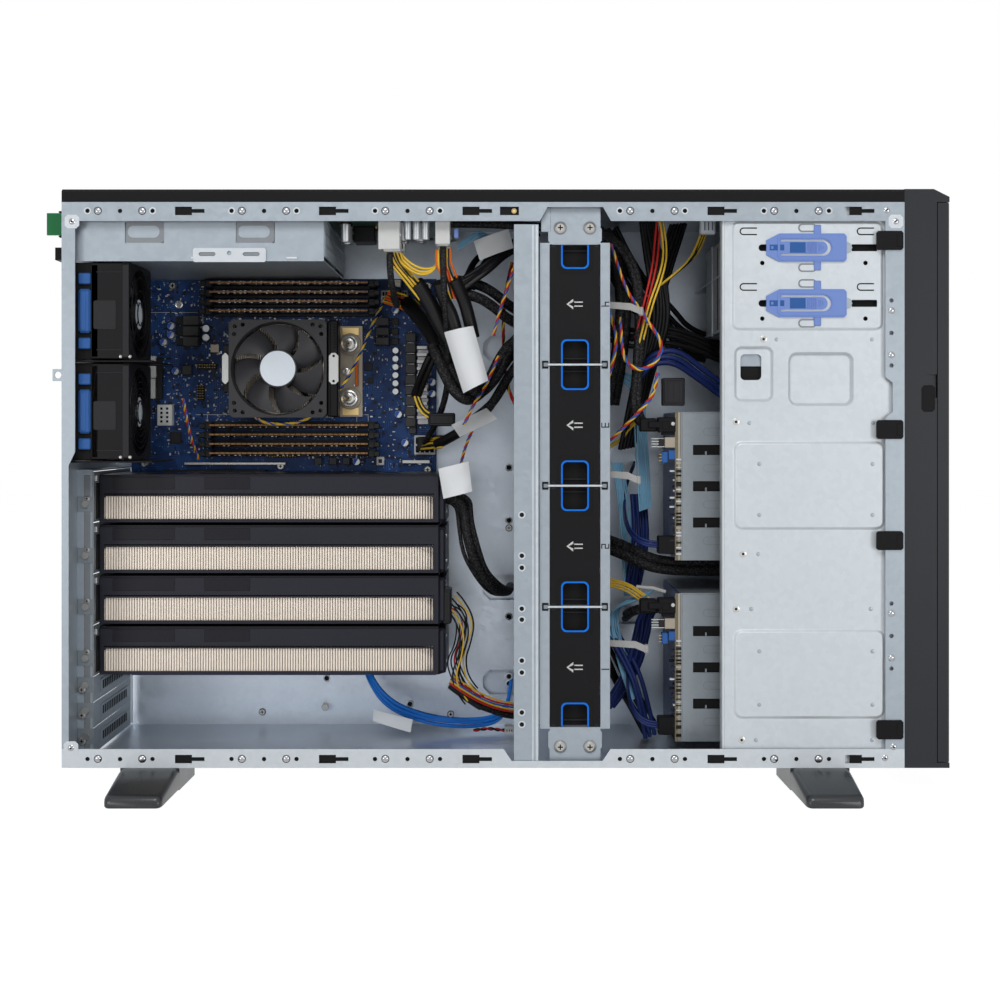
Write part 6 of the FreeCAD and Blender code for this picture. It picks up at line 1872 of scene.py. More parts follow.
@dataclass
class Cooler(Assembly):
    """Processor frame, heatsink and fan."""

    size: float = 81.0
    hub: float = 15.0
    sticker: float = 14.6
    bore: float = 38.0
    fin_count: int = 46
    fin_thick: float = 0.5

    def __post_init__(self) -> None:
        """Read the fan's place from its frame's CAD node."""
        low, high = part_box("cpu_fan_frame")
        self.x, self.z = (low.x + high.x) / 2, (low.z + high.z) / 2
        self.front, self.back = low.y, high.y

    def build(self) -> None:
        """Build frame, wheel, fins and clips."""
        self.frame()
        self.wheel()
        self.fins()
        self.clips()

    def frame(self) -> None:
        """Square frame with a flared bore, corner holes and struts."""
        form = Form("cooler_fan_frame", Look.FAN_SATIN, Look.DARK, Look.FAN)
        half = self.size / 2
        outline = octagon((self.x, self.z), (half, half), 3.0)
        for level, thick, radius in ((self.front, 3.4, self.bore + 1.0), (self.back - 3.0, 3.0, self.bore)):
            holes = [ring((self.x, self.z), radius, 64)]
            for a in (-1, 1):
                for b in (-1, 1):
                    for inset in ((5.0, 5.6), (11.6, 4.2), (4.4, 12.0)):
                        holes.append(ring((self.x + a * (half - inset[0]), self.z + b * (half - inset[1])),
                                          1.75, 14))
            form.plate("xz", level, thick, outline, holes, 0)
        bell = [(0.2, self.bore + 1.0), (3.4, self.bore - 0.2), (self.back - self.front, self.bore - 0.2)]
        shell = [(self.back - self.front - 0.2, self.bore + 1.4), (0.2, self.bore + 2.2), *bell]
        sides = 64
        points = [(u, self.front + along, v) for along, radius in shell
                  for u, v in ring((self.x, self.z), radius, sides)]
        closed = strips(len(shell) + 1, sides)
        form.add(points, [[corner % len(points) for corner in quad] for quad in closed], 0)
        form.lathe((self.x, self.back, self.z), NEAR,
                   [(0, self.hub + 2), (3.0, self.hub + 2), (3.2, 0)], 2, 32)
        for index in range(4):
            angle = math.radians(45 + 90 * index)
            out = (self.x + (self.bore + 1) * math.cos(angle), self.back - 1.6,
                   self.z + (self.bore + 1) * math.sin(angle))
            form.tube([(self.x, self.back - 1.6, self.z), out], 1.5, 2, 8)
        form.piece(replaces=("cpu_fan_frame",))

    def wheel(self) -> None:
        """Seven swept blades and the blank sticker on the hub."""
        form = Form("cooler_fan_wheel", Look.FAN_SATIN, Look.STICKER, Look.FAN)
        blades = Wheel(self.hub + 1.2, self.bore - 1.4, 9.6, 7, 45.0, 16.0)
        blades.build(form, (self.x, self.back - 4.8, self.z), NEAR, 0)
        label = [(0, self.sticker), (0.25, self.sticker), (0.3, self.sticker - 0.3), (0.3, 0)]
        form.lathe((self.x, self.back - 14.35, self.z), NEAR, label, 1, 40)
        form.piece("cpu_fan_rotor", ("cpu_fan_rotor",))

    def fins(self) -> None:
        """Close fins on a base, with the fan's clip rails."""
        form = Form("cooler_fins", Look.CHAMPAGNE, Look.ALUMINIUM, Look.BRASS)
        low, high = part_box("cpu_heatsink")
        pitch = (high.x - low.x - 2.0) / (self.fin_count - 1)
        for index in range(self.fin_count):
            x = low.x + 0.8 + index * pitch
            form.block((x, low.y + 0.3, low.z + 0.5),
                       (x + self.fin_thick, high.y - 14.0, high.z - 0.5), 0, 0.05)
        form.block((low.x, high.y - 15.0, low.z), (high.x, high.y - 11.0, high.z), 1, 0.4)
        form.block((self.x - 20, high.y - 12.0, self.z - 20), (self.x + 20, high.y, self.z + 20), 2, 0.5)
        for rise in (22.0, 30.0):
            for side in (-26.0, 26.0):
                form.tube([(low.x + 0.4, high.y - rise, self.z + side),
                           (high.x - 0.4, high.y - rise, self.z + side)],
                          2.6, 2, 12)
        form.piece(replaces=("cpu_heatsink",))

    def clips(self) -> None:
        """Side clips with white tabs, sprung screws and the frame's lever."""
        form = Form("cooler_clips", Look.FAN, Look.IVORY, Look.NICKEL, Look.DARK, Look.WIRE_ORANGE,
                    Look.TAN, Look.BRASS)
        half = self.size / 2
        right, left = self.x + half, self.x - half
        form.block((right, self.front + 3.0, self.z - 40),
                   (right + 9.2, self.back + 8.0, self.z + 40), 0, 1.0)
        form.block((right + 1.2, self.front + 2.0, self.z - 39),
                   (right + 3.0, self.front + 4.0, self.z + 39), 3, 0.3)
        for step in range(9):
            form.block((right + 5.4, self.front + 2.6, self.z + 17 + step * 2.4),
                       (right + 8.6, self.front + 3.6, self.z + 18.2 + step * 2.4), 3, 0.2)
        for x0, x1, thick in ((right + 1.9, right + 9.6, 3.2), (left - 5.6, left - 0.4, 3.2)):
            mid = (x0 + x1) / 2
            form.plate("xz", self.front + 0.6, thick,
                       octagon((mid, self.z), ((x1 - x0) / 2, 12.9), 2.4), (), 1)
        for z in (self.z - 10.4, self.z + 10.4):
            form.lathe((right + 5.8, self.front + 0.7, z), NEAR, disc(1.1, 0.3), 3, 12)
        form.block((left - 5.0, self.front + 3.6, self.z - 20), (left, self.back + 4.0, self.z + 20), 0, 0.8)
        low, high = part_box("cpu_socket_frame")
        x = high.x - 10.5
        for z in (self.z - 23.5, self.z + 23.5):
            tower = [(0, 6.6), (1.2, 6.9), (1.6, 5.6), (3.4, 5.2), (3.8, 4.4), (5.0, 4.4), (5.4, 2.6),
                     (6.2, 2.4), (6.2, 0)]
            form.lathe((x, low.y + 2.0, z), NEAR, tower, 2, 24)
            for coil in range(3):
                rim = [(-0.45, 5.6), (0, 6.1), (0.45, 5.6)]
                form.lathe((x, low.y + 1.2 + coil * 1.8, z), NEAR, rim, 2, 24)
            form.screw((x, low.y - 4.1, z), NEAR, 2.5, 0.7, 5, 3)
            form.lathe((x, high.y - 3.0, z), NEAR, [(0, 9.6), (0.7, 9.6), (1.0, 9.2), (1.0, 0)], 5, 30)
        form.lathe((x - 3.4, high.y - 3.0, self.z), NEAR, [(0, 3.4), (2.6, 3.4), (3.0, 2.6), (3.0, 0)], 2, 16)
        form.block((x + 4.6, high.y - 8.0, self.z - 12.5), (x + 7.2, high.y - 4.0, self.z + 11.0), 4, 0.5)
        form.tube([(x + 3.4, high.y - 6.0, self.z - 13.0), (x + 5.4, high.y - 6.5, self.z - 6.0),
                   (x + 5.4, high.y - 6.5, self.z + 6.0), (x + 3.4, high.y - 6.0, self.z + 13.0)], 0.8, 2, 8)
        for z0, z1 in ((self.z + 31.5, self.z + 38.0), (self.z - 38.0, self.z - 31.5)):
            form.block((x - 7.0, high.y - 3.6, z0), (x + 7.4, high.y - 2.6, z1), 6, 0.2)
        form.piece()

    def dress(self) -> None:
        """Tan frame."""
        clothe(Look.TAN, "cpu_socket_frame")


@dataclass
class Cards(Assembly):
    """Four double-width graphics cards, their brackets and the blank slot covers."""

    count: int = 4
    nose: float = -46.3
    window_drop: float = 15.3
    window_tall: float = 20.3
    window_inset: float = 3.5
    shell: float = 1.6
    fin_pitch: float = 2.12
    fin_cap: float = 1.62
    fin_deep: float = 26.0
    bend_length: float = 22.0
    bend_depth: float = 15.0
    panels: tuple[Flat, Flat] = ((10.8, 49.6), (84.2, 36.6))
    panel_tall: float = 10.2

    def build(self) -> None:
        """Build fins, shroud trim, brackets and slot covers."""
        for index in range(1, self.count + 1):
            self.trim(index)
        self.fins()
        self.brackets()
        self.covers()

    def fins(self) -> None:
        """Folded fins that curve inward at the front end of each card."""
        form = Form("card_fins", Look.CHAMPAGNE, Look.DARK)
        for index in range(1, self.count + 1):
            low, high = part_box(f"card_shroud_{index}")
            start = low.x + self.window_inset - 1.0
            stop = self.nose - self.window_inset + 1.0
            z1 = high.z - self.window_drop + 0.6
            z0 = z1 - self.window_tall - 1.2
            face = low.y + self.shell + 0.1
            for step in range(int((stop - start) / self.fin_pitch)):
                x = start + step * self.fin_pitch
                near_end = max(0.0, (x - (stop - self.bend_length)) / self.bend_length)
                y = face + self.bend_depth * (1 - math.sqrt(max(0.0, 1 - near_end ** 2)))
                form.block((x, y, z0), (x + self.fin_cap, y + self.fin_deep, z1), 0, 0.35)
            # A near-black block inside the stack paints the shade between the fins.
            form.block((start, face + 2.4, z0), (stop - 16.0, face + self.fin_deep, z1), 1, 0.1)
        form.piece(replaces=("card_fin_stacks",))

    def trim(self, index: int) -> None:
        """Flush panels, window lip and nose plate of one card.

        Args:
            index: the card, from the top.
        """
        form = Form(f"card_trim_{index}", Look.SLATE_PANEL, Look.SLATE, Look.DARK, Look.NICKEL)
        low, high = part_box(f"card_shroud_{index}")
        for offset, wide in self.panels:
            x = low.x + offset
            form.block((x, low.y - 0.35, high.z - self.panel_tall),
                       (x + wide, low.y + 0.3, high.z - 0.5), 0, 0.25)
        x0, x1 = low.x + self.window_inset, self.nose - self.window_inset
        z1 = high.z - self.window_drop
        mid, half = ((x0 + x1) / 2, z1 - self.window_tall / 2), ((x1 - x0) / 2, self.window_tall / 2)
        outer = octagon(mid, (half[0] + 0.9, half[1] + 0.9), 1.6)
        inner = octagon(mid, (half[0] - 0.5, half[1] - 0.5), 1.5)
        form.plate("xz", low.y - 0.3, 1.2, outer, (inner,), 1)
        form.block((self.nose - 0.5, low.y + 3.0, low.z + 1.2),
                   (high.x - 0.2, low.y + 70.0, high.z - 1.2), 1, 1.4)
        for z in (low.z + 8.0, high.z - 8.0):
            form.lathe((high.x - 0.3, low.y + 22.0, z), FRONT,
                       [(0, 1.8), (0.7, 1.8), (0.9, 1.4), (0.9, 0)], 3, 12)
        form.piece()

    def brackets(self) -> None:
        """Bracket tabs with screws, retaining fingers and the ledge strip."""
        form = Form("card_bracket_trim", Look.STEEL_PAINTED_SHADE, Look.SCREW, Look.DARK, Look.BLACK, Look.NICKEL,
                    Look.STEEL_DARK)
        for index in range(1, self.count + 1):
            card_low, card_high = part_box(f"card_shroud_{index}")
            x = card_low.x - 8.6
            z = card_high.z - 19.8
            form.block((x - 3.4, card_low.y - 9.0, card_low.z + 3.0),
                       (card_low.x + 0.4, card_low.y + 4.0, card_high.z - 5.0), 3, 0.8)
            form.lathe((x + 1.6, card_low.y - 9.0, z), NEAR,
                       [(0, 3.6), (0.8, 3.6), (0.8, 2.9), (0.3, 2.7), (0.3, 0)], 1, 18)
            form.screw((x + 1.6, card_low.y - 9.0, z), NEAR, 2.3, 1.4, 4, 2)
            form.block((x - 1.6, card_low.y - 11.0, card_high.z - 3.4),
                       (card_low.x + 1.0, card_low.y - 9.6, card_high.z + 1.4), 4, 0.3)
            form.screw((x + 1.4, card_low.y - 11.0, card_high.z - 1.0), NEAR, 2.4, 1.2, 1, 2)
            for lift in (8.4, 27.6):
                form.block((x - 6.6, card_low.y - 10.2, card_low.z + lift),
                           (x - 1.8, card_low.y - 8.8, card_low.z + lift + 3.4), 0, 0.4)
        strip = part_box("card_shroud_1")[1].z
        bottom = part_box("card_shroud_4")[0].z
        form.block((-326.2, -49.6, bottom - 60.0), (-321.2, -48.2, strip + 1.5), 5, 0.3)
        for lift in (20.0, 60.5, 101.0, 141.5):
            form.screw((-323.8, -49.6, bottom + lift), NEAR, 2.2, 1.2, 1, 2)
        form.piece()

    def covers(self) -> None:
        """Ribs, slots and screws on the blank slot covers."""
        form = Form("slot_cover_trim", Look.STEEL_PAINTED_SHADE, Look.DARK, Look.SCREW, Look.STEEL_DARK)
        low, high = part_box("slot_covers")
        pitch = 20.32
        for index in range(3):
            z = 20.7 + pitch * (index + 0.5)
            form.block((high.x - 0.2, -30.0, z - 5.6), (high.x + 0.5, 62.0, z + 5.6), 0, 0.3)
            # The slots are near-black bars that paint their shade.
            for step in range(14):
                form.block((high.x + 0.35, -24.0 + step * 5.8, z - 3.4),
                           (high.x + 0.75, -21.2 + step * 5.8, z + 3.4), 1, 0.15)
            form.screw((low.x + 3.6, low.y - 0.2, z), NEAR, 3.0, 1.6, 2, 1)
        form.piece()

    def dress(self) -> None:
        """Slate shrouds and boards, and brackets in steel darkened as painted shade."""
        clothe(Look.SLATE, *(f"card_shroud_{index}" for index in range(1, self.count + 1)))
        clothe(Look.SLATE_PANEL, "card_boards")
        clothe(Look.STEEL_PAINTED_SHADE, "card_brackets", "slot_covers")


@dataclass
class FanWall(Assembly):
    """Middle fan cage with four pull-out fans, and the card support bracket beside it."""

    count: int = 4
    notch_wide: float = 21.5
    notch_tall: float = 18.5
    line: float = 1.3
    number_tall: float = 5.4

    def build(self) -> None:
        """Trim each fan, then the cage and the bracket."""
        for index in range(1, self.count + 1):
            self.fan(index)
            self.rotor(index)
        self.cage()
        self.bracket()

    def fan(self, index: int) -> None:
        """Blue rims, recesses darkened as painted shade, arrow and grille of one fan.

        Args:
            index: the fan, from the floor.
        """
        body = f"fan_module_{index}"
        form = Form(f"fan_trim_{index}", Look.OUTLINE_BLUE, Look.DARK, Look.IVORY, Look.FAN, Look.FAN_GREY)
        low, high = part_box(body)
        x, y = (low.x + high.x) / 2, low.y
        half = self.notch_wide / 2
        for side, edge in ((1, low.z), (-1, high.z)):
            tall = self.notch_tall
            outer = self.arch(x, edge, half, tall, side, 4.2)
            inner = self.arch(x, edge, half - self.line, tall - self.line, side, 3.4)
            form.plate("xz", y - 0.25, 0.9, outer + inner[::-1], (), 0)
            # Near-black bands round each notch and a sheet behind it paint the recess's shade.
            wide = self.arch(x, edge, half + 3.6, tall + 4.2, side, 6.0)
            rim = self.arch(x, edge, half + 0.05, tall + 0.05, side, 4.2)
            form.plate("xz", y - 0.12, 0.5, wide + rim[::-1], (), 1)
            form.block((x - half + 0.6, y + 8.2, min(edge, edge + side * tall)),
                       (x + half - 0.6, y + 8.9, max(edge, edge + side * tall)), 1, 0.1)
            form.block((x - half + 1.0, y + 6.4, edge + side * 3.2),
                       (x + half - 1.0, y + 8.0, edge + side * 4.6), 4, 0.3)
        z = (low.z + high.z) / 2
        arrow = [(-8.6, 0.0), (-3.4, 4.0), (-3.4, 2.0), (4.0, 2.0), (4.0, 1.1), (-2.5, 1.1),
                 (-2.5, 2.3), (-7.0, 0.0),
                 (-2.5, -2.3), (-2.5, -1.1), (4.0, -1.1), (4.0, -2.0), (-3.4, -2.0), (-3.4, -4.0)]
        form.plate("xz", y - 0.12, 0.3, [(x + 2.0 + u, z + v) for u, v in arrow], (), 2)
        middle = (y + (high.y - low.y) / 2, z)
        for x_face, reach in ((low.x - 0.5, 0.9), (high.x - 0.4, 0.9)):
            for radius in (12.0, 20.0, 28.0, 36.0, 42.0):
                form.plate("yz", x_face, reach, ring(middle, radius, 48),
                           (ring(middle, radius - 1.1, 48),), 4)
            form.spokes((x_face + 0.45, *middle), (10.5, 43.5), DIAGONALS, 0.7, 4, 8)
        for edge in (low.z + 0.4, high.z - 1.8):
            form.block((low.x + 1.0, y - 0.2, edge), (x - half - 4.4, y + 0.6, edge + 1.4), 4, 0.3)
            form.block((x + half + 4.4, y - 0.2, edge), (high.x - 1.0, y + 0.6, edge + 1.4), 4, 0.3)
        form.piece(body)

    @staticmethod
    def arch(x: float, edge: float, half: float, tall: float, side: int, cut: float) -> list[Flat]:
        """A notch outline that is open at its edge.

        Args:
            x: its middle.
            edge: the height of the open edge.
            half: half its width.
            tall: its depth from the edge.
            side: 1 if it goes up from the edge, -1 if down.
            cut: the radius of its closed corners.

        Returns:
            The outline from one side of the edge to the other.
        """
        points = [(x - half, edge)]
        for centre, start in ((x - half + cut, 180), (x + half - cut, 90)):
            bend = arc((centre, tall - cut), cut, range(start, start - 91, -18))
            points += [(u, edge + side * v) for u, v in bend]
        points.append((x + half, edge))
        return points

    def rotor(self, index: int) -> None:
        """Swept wheel of one fan.

        Args:
            index: the fan, from the floor.
        """
        name = f"fan_rotor_{index}"
        low, high = part_box(name)
        form = Form(f"fan_wheel_{index}", Look.FAN, Look.STICKER)
        centre = (low.x, (low.y + high.y) / 2, (low.z + high.z) / 2)
        Wheel(18.4, 41.2, high.x - low.x, 7, 40.0, 18.0, 1.4, 5, 5).build(form, centre, FRONT, 0)
        form.piece(name, (name,))

    def cage(self) -> None:
        """Bars between the fans, strip holes, numbers and bracket screws."""
        form = Form("fan_cage_trim", Look.PALE_STEEL_PAINTED_LIGHT, Look.DARK, Look.SCREW, Look.STEEL,
                    Look.STEEL_PAINTED_SHADE, Look.IVORY)
        low, high = part_box("fan_cage")
        first = part_box("fan_module_1")[0]
        for index in range(1, self.count):
            z = (part_box(f"fan_module_{index}")[1].z + part_box(f"fan_module_{index + 1}")[0].z) / 2
            # Near-black patches at both edges paint the shade in the strip holes.
            form.block((low.x + 1.6, low.y - 0.9, z - 3.0), (low.x + 6.4, low.y - 0.2, z + 3.0), 1, 0.3)
            form.block((high.x - 6.4, low.y - 0.9, z - 3.0), (high.x - 1.6, low.y - 0.2, z + 3.0), 1, 0.3)
            form.block((low.x + 3.0, low.y - 1.5, z - 0.8), (high.x - 3.0, low.y - 0.5, z + 0.8), 0, 0.35)
            for x in (low.x + 2.6, high.x - 6.0):
                form.block((x, low.y - 1.8, z - 1.5), (x + 3.4, low.y - 0.9, z + 1.5), 4, 0.5)
        for index in range(1, self.count + 1):
            fan_low, fan_high = part_box(f"fan_module_{index}")
            self.number(form, index, high.x - 3.6, low.y, (fan_low.z + fan_high.z) / 2, 1)
        form.block((first.x - 7.0, low.y - 0.5, 429.4), (first.x + 0.4, low.y + 0.4, 448.0), 3, 0.3)
        for z in (432.4, 33.3):
            for side in (-11.4, 11.4):
                x = (low.x + high.x) / 2 + side
                form.lathe((x, low.y - 0.2, z), NEAR, [(0, 5.0), (0.5, 5.0), (0.8, 4.6), (0.8, 0)], 4, 24)
                form.screw((x, low.y - 0.9, z), NEAR, 4.3, 2.0, 2, 1)
        for z0, z1 in ((419.6, 434.6), (29.6, 47.6)):
            outline = octagon(((low.x + high.x) / 2, (z0 + z1) / 2), (20.6, (z1 - z0) / 2), 3.0)
            form.plate("xz", low.y - 0.25, 0.5, outline, (), 3)
        form.piece()

    def number(self, form: Form, digit: int, x: float, y: float, z: float, skin: int) -> None:
        """Print one slot number, turned on its side, from bars.

        Args:
            form: the form that takes it.
            digit: 1 to 4.
            x: its middle.
            y: the surface it is on.
            z: its middle height.
            skin: the finish's number.
        """
        bars = {1: "bc", 2: "abged", 3: "abgcd", 4: "fgbc"}[digit]
        wide, tall = self.number_tall * 0.55, self.number_tall
        strokes = {"a": (0, 1, 1, 1), "b": (1, 0.5, 1, 1), "c": (1, 0, 1, 0.5), "d": (0, 0, 1, 0),
                   "e": (0, 0, 0, 0.5), "f": (0, 0.5, 0, 1), "g": (0, 0.5, 1, 0.5)}
        for bar in bars:
            u0, v0, u1, v1 = strokes[bar]
            spots = [((0.5 - v) * tall, (0.5 - u) * wide) for u, v in ((u0, v0), (u1, v1))]
            xs = sorted(x - spot[0] for spot in spots)
            zs = sorted(z + spot[1] for spot in spots)
            form.block((xs[0] - 0.4, y - 0.12, zs[0] - 0.4), (xs[1] + 0.4, y + 0.1, zs[1] + 0.4), skin, 0.05)

    def bracket(self) -> None:
        """Edge folds and hole rims of the card support bracket."""
        form = Form("support_bracket_trim", Look.PALE_STEEL_PAINTED_LIGHT, Look.DARK, Look.STEEL)
        low, high = part_box("card_support_bracket")
        form.block((high.x - 5.0, low.y - 0.45, low.z + 1.0),
                   (high.x - 3.6, low.y + 0.3, high.z - 0.6), 0, 0.4)
        form.block((high.x - 2.2, low.y - 0.3, low.z + 1.0),
                   (high.x - 0.2, low.y + 0.3, high.z - 0.6), 0, 0.25)
        for step in range(5):
            plug = (23.2, low.y + 0.3, 243.8 - step * 40.64)
            form.lathe(plug, NEAR, [(0, 2.5), (0.4, 2.5), (0.45, 2.3), (0.45, 0)], 2, 20)
        x = low.x + 6.0
        for z in (211.8, 180.4, 171.2, 139.8, 131.4, 100.0, 90.8, 60.2, 51.0):
            form.lathe((x, low.y + 0.1, z), NEAR,
                       [(0, 2.9), (0.35, 2.8), (0.45, 2.3), (0.3, 1.9), (0.3, 0)], 0, 20)
            # A near-black disc paints the shade in each hole.
            form.lathe((x, low.y - 0.15, z), NEAR, [(0, 1.75), (0.3, 1.75), (0.32, 0)], 1, 16)
        form.piece()

    def dress(self) -> None:
        """Steel cage, black fans."""
        clothe(Look.STEEL, "fan_cage", "card_support_bracket")
        for index in range(1, self.count + 1):
            clothe(Look.FAN, f"fan_module_{index}")


@dataclass
class DriveBays(Assembly):
    """Bay plate with its latches, drive cages, backplanes and trays."""

    face: float = -85.0
    sheet: float = 1.2
    rise: float = 1.6
    slope: float = 2.6
    slot_half: float = 2.7
    latch_heights: Flat = (416.8, 374.1)

    def build(self) -> None:
        """Press the plate, cut its slots, then fit latches, cages and backplanes."""
        self.plate()
        self.marks()
        for index in (1, 2):
            self.latch(index)
        self.cages()
        self.backplanes()

    def plate(self) -> None:
        """Plate with pressed panels and real slots."""
        # The plate is in the paler steel, brightened as painted light.
        form = Form("bay_plate", Look.PALE_STEEL_PAINTED_LIGHT, Look.DARK, Look.STEEL)
        low, high = part_box("drive_bay_plate")
        face = self.face
        back = face + self.sheet
        upper = ((180.7, 353.0), (297.6, 437.4))
        window = soft_rect((188.4, 315.3), (204.5, 335.3), 3.4)
        panels = (((183.0, 298.4), (213.7, 341.5), 6.0, -3.0, (window,)),
                  ((224.5, 295.3), (275.2, 336.9), 7.0, -4.0, ()),
                  ((182.2, 200.0), (299.0, 268.4), 7.0, self.rise, ()),
                  ((182.2, 54.8), (299.0, 123.9), 7.0, self.rise, ()))
        outline = [(low.x, low.z), (high.x, low.z), (high.x, high.z), (low.x, high.z)]
        cuts = [soft_rect(start, end, radius, 0.05) for start, end, radius, _, _ in panels]
        cuts.append(soft_rect(*upper, 6.0, 0.05))
        form.plate("xz", face, self.sheet, outline, cuts, 0)
        for start, end, radius, out, holes in panels:
            pan(form, face, start, end, radius, out, 0, holes, self.slope)
        pan(form, face, *upper, 6.0, self.rise, 0, self.slots(), self.slope)
        form.block((low.x - 0.2, face - 0.5, low.z + 1.0), (low.x + 2.2, back + 10.0, high.z - 1.0), 0, 0.6)
        # Near-black sheets behind the upper panel and the window paint the shade behind their holes.
        form.block((178.0, back + 1.0, 349.0), (309.0, back + 2.0, 441.0), 1, 0.2)
        form.block((186.0, back + 5.0, 312.0), (208.0, back + 6.0, 326.0), 1, 0.2)
        form.block((186.0, back + 4.0, 326.0), (208.0, back + 5.0, 338.0), 2, 0.2)
        for z in (396.3, 353.6):
            form.block((low.x, face + 0.6, z), (high.x, high.y, z + self.sheet), 2, 0.3)
        form.piece(replaces=("drive_bay_plate",))

    def slots(self) -> list[list[Flat]]:
        """Lay out the holes in the upper panel.

        Returns:
            The outline of each hole.
        """
        found: list[list[Flat]] = []
        for z in self.latch_heights:
            found.append(soft_rect((273.0, z - self.slot_half), (292.6, z + self.slot_half), 0.6, steps=2))
            found.append(soft_rect((201.6, z - 2.6), (209.6, z + 2.6), 2.5))
            for x in (204.5, 283.7):
                found.append(ring((x, z - 11.7), 1.75, 16))
            for x in (187.0, 276.9):
                found.append(self.hook(x, z + 12.6))
        return found

    @staticmethod
    def hook(x: float, z: float) -> list[Flat]:
        """A slit bent like a U that is open to the front.

        Args:
            x: its closed end.
            z: its middle.

        Returns:
            The slit's outline.
        """
        wide, half, slit = 13.4, 3.0, 1.0
        outer = arc((x + half, z), half, range(90, 271, 20))
        inside = half - slit
        inner = arc((x + half, z), inside, range(270, 89, -20))
        return [(x + wide, z + half), *outer, (x + wide, z - half), (x + wide, z - inside), *inner,
                (x + wide, z + inside)]

    def marks(self) -> None:
        """Rivets, dimples and the lug wells beside the latches."""
        form = Form("bay_plate_marks", Look.NICKEL, Look.DARK, Look.STEEL, Look.STEEL_DARK)
        face = self.face
        for x, z in ((205.7, 346.8), (184.5, 283.1), (189.9, 181.6), (184.5, 139.3), (188.8, 38.6)):
            form.lathe((x, face + 0.1, z), NEAR,
                       [(0, 2.7), (0.4, 2.6), (0.6, 2.0), (0.45, 1.1), (0.45, 0)], 0, 20)
            # A near-black dot paints the shade in each rivet's hollow.
            form.lathe((x, face - 0.4, z), NEAR, disc(1.0, 0.12), 1, 14)
        for x, z in ((215.7, 346.5), (289.0, 346.5), (194.9, 282.3), (289.8, 282.3), (201.6, 181.6),
                     (196.2, 139.3), (199.8, 38.6), (288.0, 139.3), (289.0, 38.6)):
            form.lathe((x, face + 0.1, z), NEAR, [(0, 1.7), (0.35, 1.4), (0.5, 0.7), (0.55, 0)], 2, 16)
        for x in (202.2, 289.1):
            for z in (250.8, 211.7, 107.0, 66.0):
                form.lathe((x, face - self.rise + 0.1, z), NEAR,
                           [(0, 1.7), (0.35, 1.4), (0.5, 0.7), (0.55, 0)], 2, 16)
        for z in self.latch_heights:
            for side in (-1, 1):
                start = z + side * 12.0
                well = soft_rect((232.0, min(start, start + side * 6.6)),
                                 (246.0, max(start, start + side * 6.6)), 3.0)
                inner = soft_rect((233.1, min(start, start + side * 6.6) + 1.1),
                                  (246.0, max(start, start + side * 6.6) - 1.1), 2.2)
                form.plate("xz", face - self.rise - 0.35, 0.5, well, (inner,), 3)
            form.lathe((268.8, face - self.rise - 0.6, z), NEAR, disc(4.6, 0.3), 2, 8)
        form.piece()

    def latch(self, index: int) -> None:
        """Sliding latch with a sprung tongue and finger ribs.

        Args:
            index: 1 upper, 2 lower.
        """
        name = f"drive_latch_{index}"
        low, high = part_box(name)
        z = self.latch_heights[index - 1]
        form = Form(f"bay_latch_{index}", Look.LATCH_BLUE, Look.HANDLE_BLUE, Look.DARK, Look.PALE_STEEL_PAINTED_LIGHT)
        x0, x1, y0, y1 = low.x, high.x, low.y - 0.6, low.y + 2.0
        body = [(x0, z - 5.6), (x0 + 10.0, z - 10.8), (x1 - 2.0, z - 10.8), (x1, z - 8.8), (x1, z + 8.8),
                (x1 - 2.0, z + 10.8), (x0 + 10.0, z + 10.8), (x0, z + 5.6)]
        slit_x, bend, wide = x0 + 43.6, 6.2, 1.5
        outer = arc((slit_x, z), bend, range(-90, 91, 15))
        inside = bend - wide
        inner = arc((slit_x - 1.4, z), inside, range(90, -91, -15))
        slit = [(x0 + 11.0, z - bend), *outer, (x0 + 11.0, z + bend), (x0 + 11.0, z + inside), *inner,
                (x0 + 11.0, z - inside)]
        form.plate("xz", y0, y1 - y0, body, (slit,), 0)
        form.plate("xz", y0 - 0.5, 0.6, [(x0 + 11.2, z - 9.6), (x1 - 1.6, z - 9.6), (x1 - 1.2, z - 8.4),
                                         (x1 - 1.2, z + 8.4),
                                         (x1 - 1.6, z + 9.6), (x0 + 11.2, z + 9.6), (x0 + 8.6, z + 7.6),
                                         (x0 + 8.6, z - 7.6)],
                   ([(x0 + 10.4, z - 7.2), (slit_x, z - 7.2), (slit_x + 5.4, z - 5.0), (slit_x + 7.2, z),
                     (slit_x + 5.4, z + 5.0), (slit_x, z + 7.2), (x0 + 10.4, z + 7.2)],), 0)
        form.block((x0 + 18.0, y0 - 0.25, z - 4.0), (x0 + 30.0, y0 + 0.4, z + 4.0), 1, 0.2)
        for rib in range(5):
            form.block((x0 + 31.2 + rib * 1.6, y0 - 0.7, z - 4.0),
                       (x0 + 32.0 + rib * 1.6, y0 + 0.3, z + 4.0), 0, 0.3)
        for step, half in enumerate((3.0, 2.2, 1.2)):
            form.block((x0 + 40.0 + step * 1.5, y0 - 0.5, z - half),
                       (x0 + 40.7 + step * 1.5, y0 + 0.3, z + half), 0, 0.2)
        form.block((x0 + 2.4, y0 - 0.3, z - 2.2), (x0 + 13.6, y0 + 0.4, z + 2.2), 1, 0.5)
        form.block((x0 + 3.4, y0 - 0.5, z - 1.2), (x0 + 5.4, y0 + 0.4, z + 1.2), 0, 0.3)
        for side in (-1, 1):
            edge = z + side * 10.4
            form.block((x0 + 36.6, y0 + 0.2, min(edge, edge + side * 7.0)),
                       (x0 + 42.0, y1, max(edge, edge + side * 7.0)), 0, 0.5)
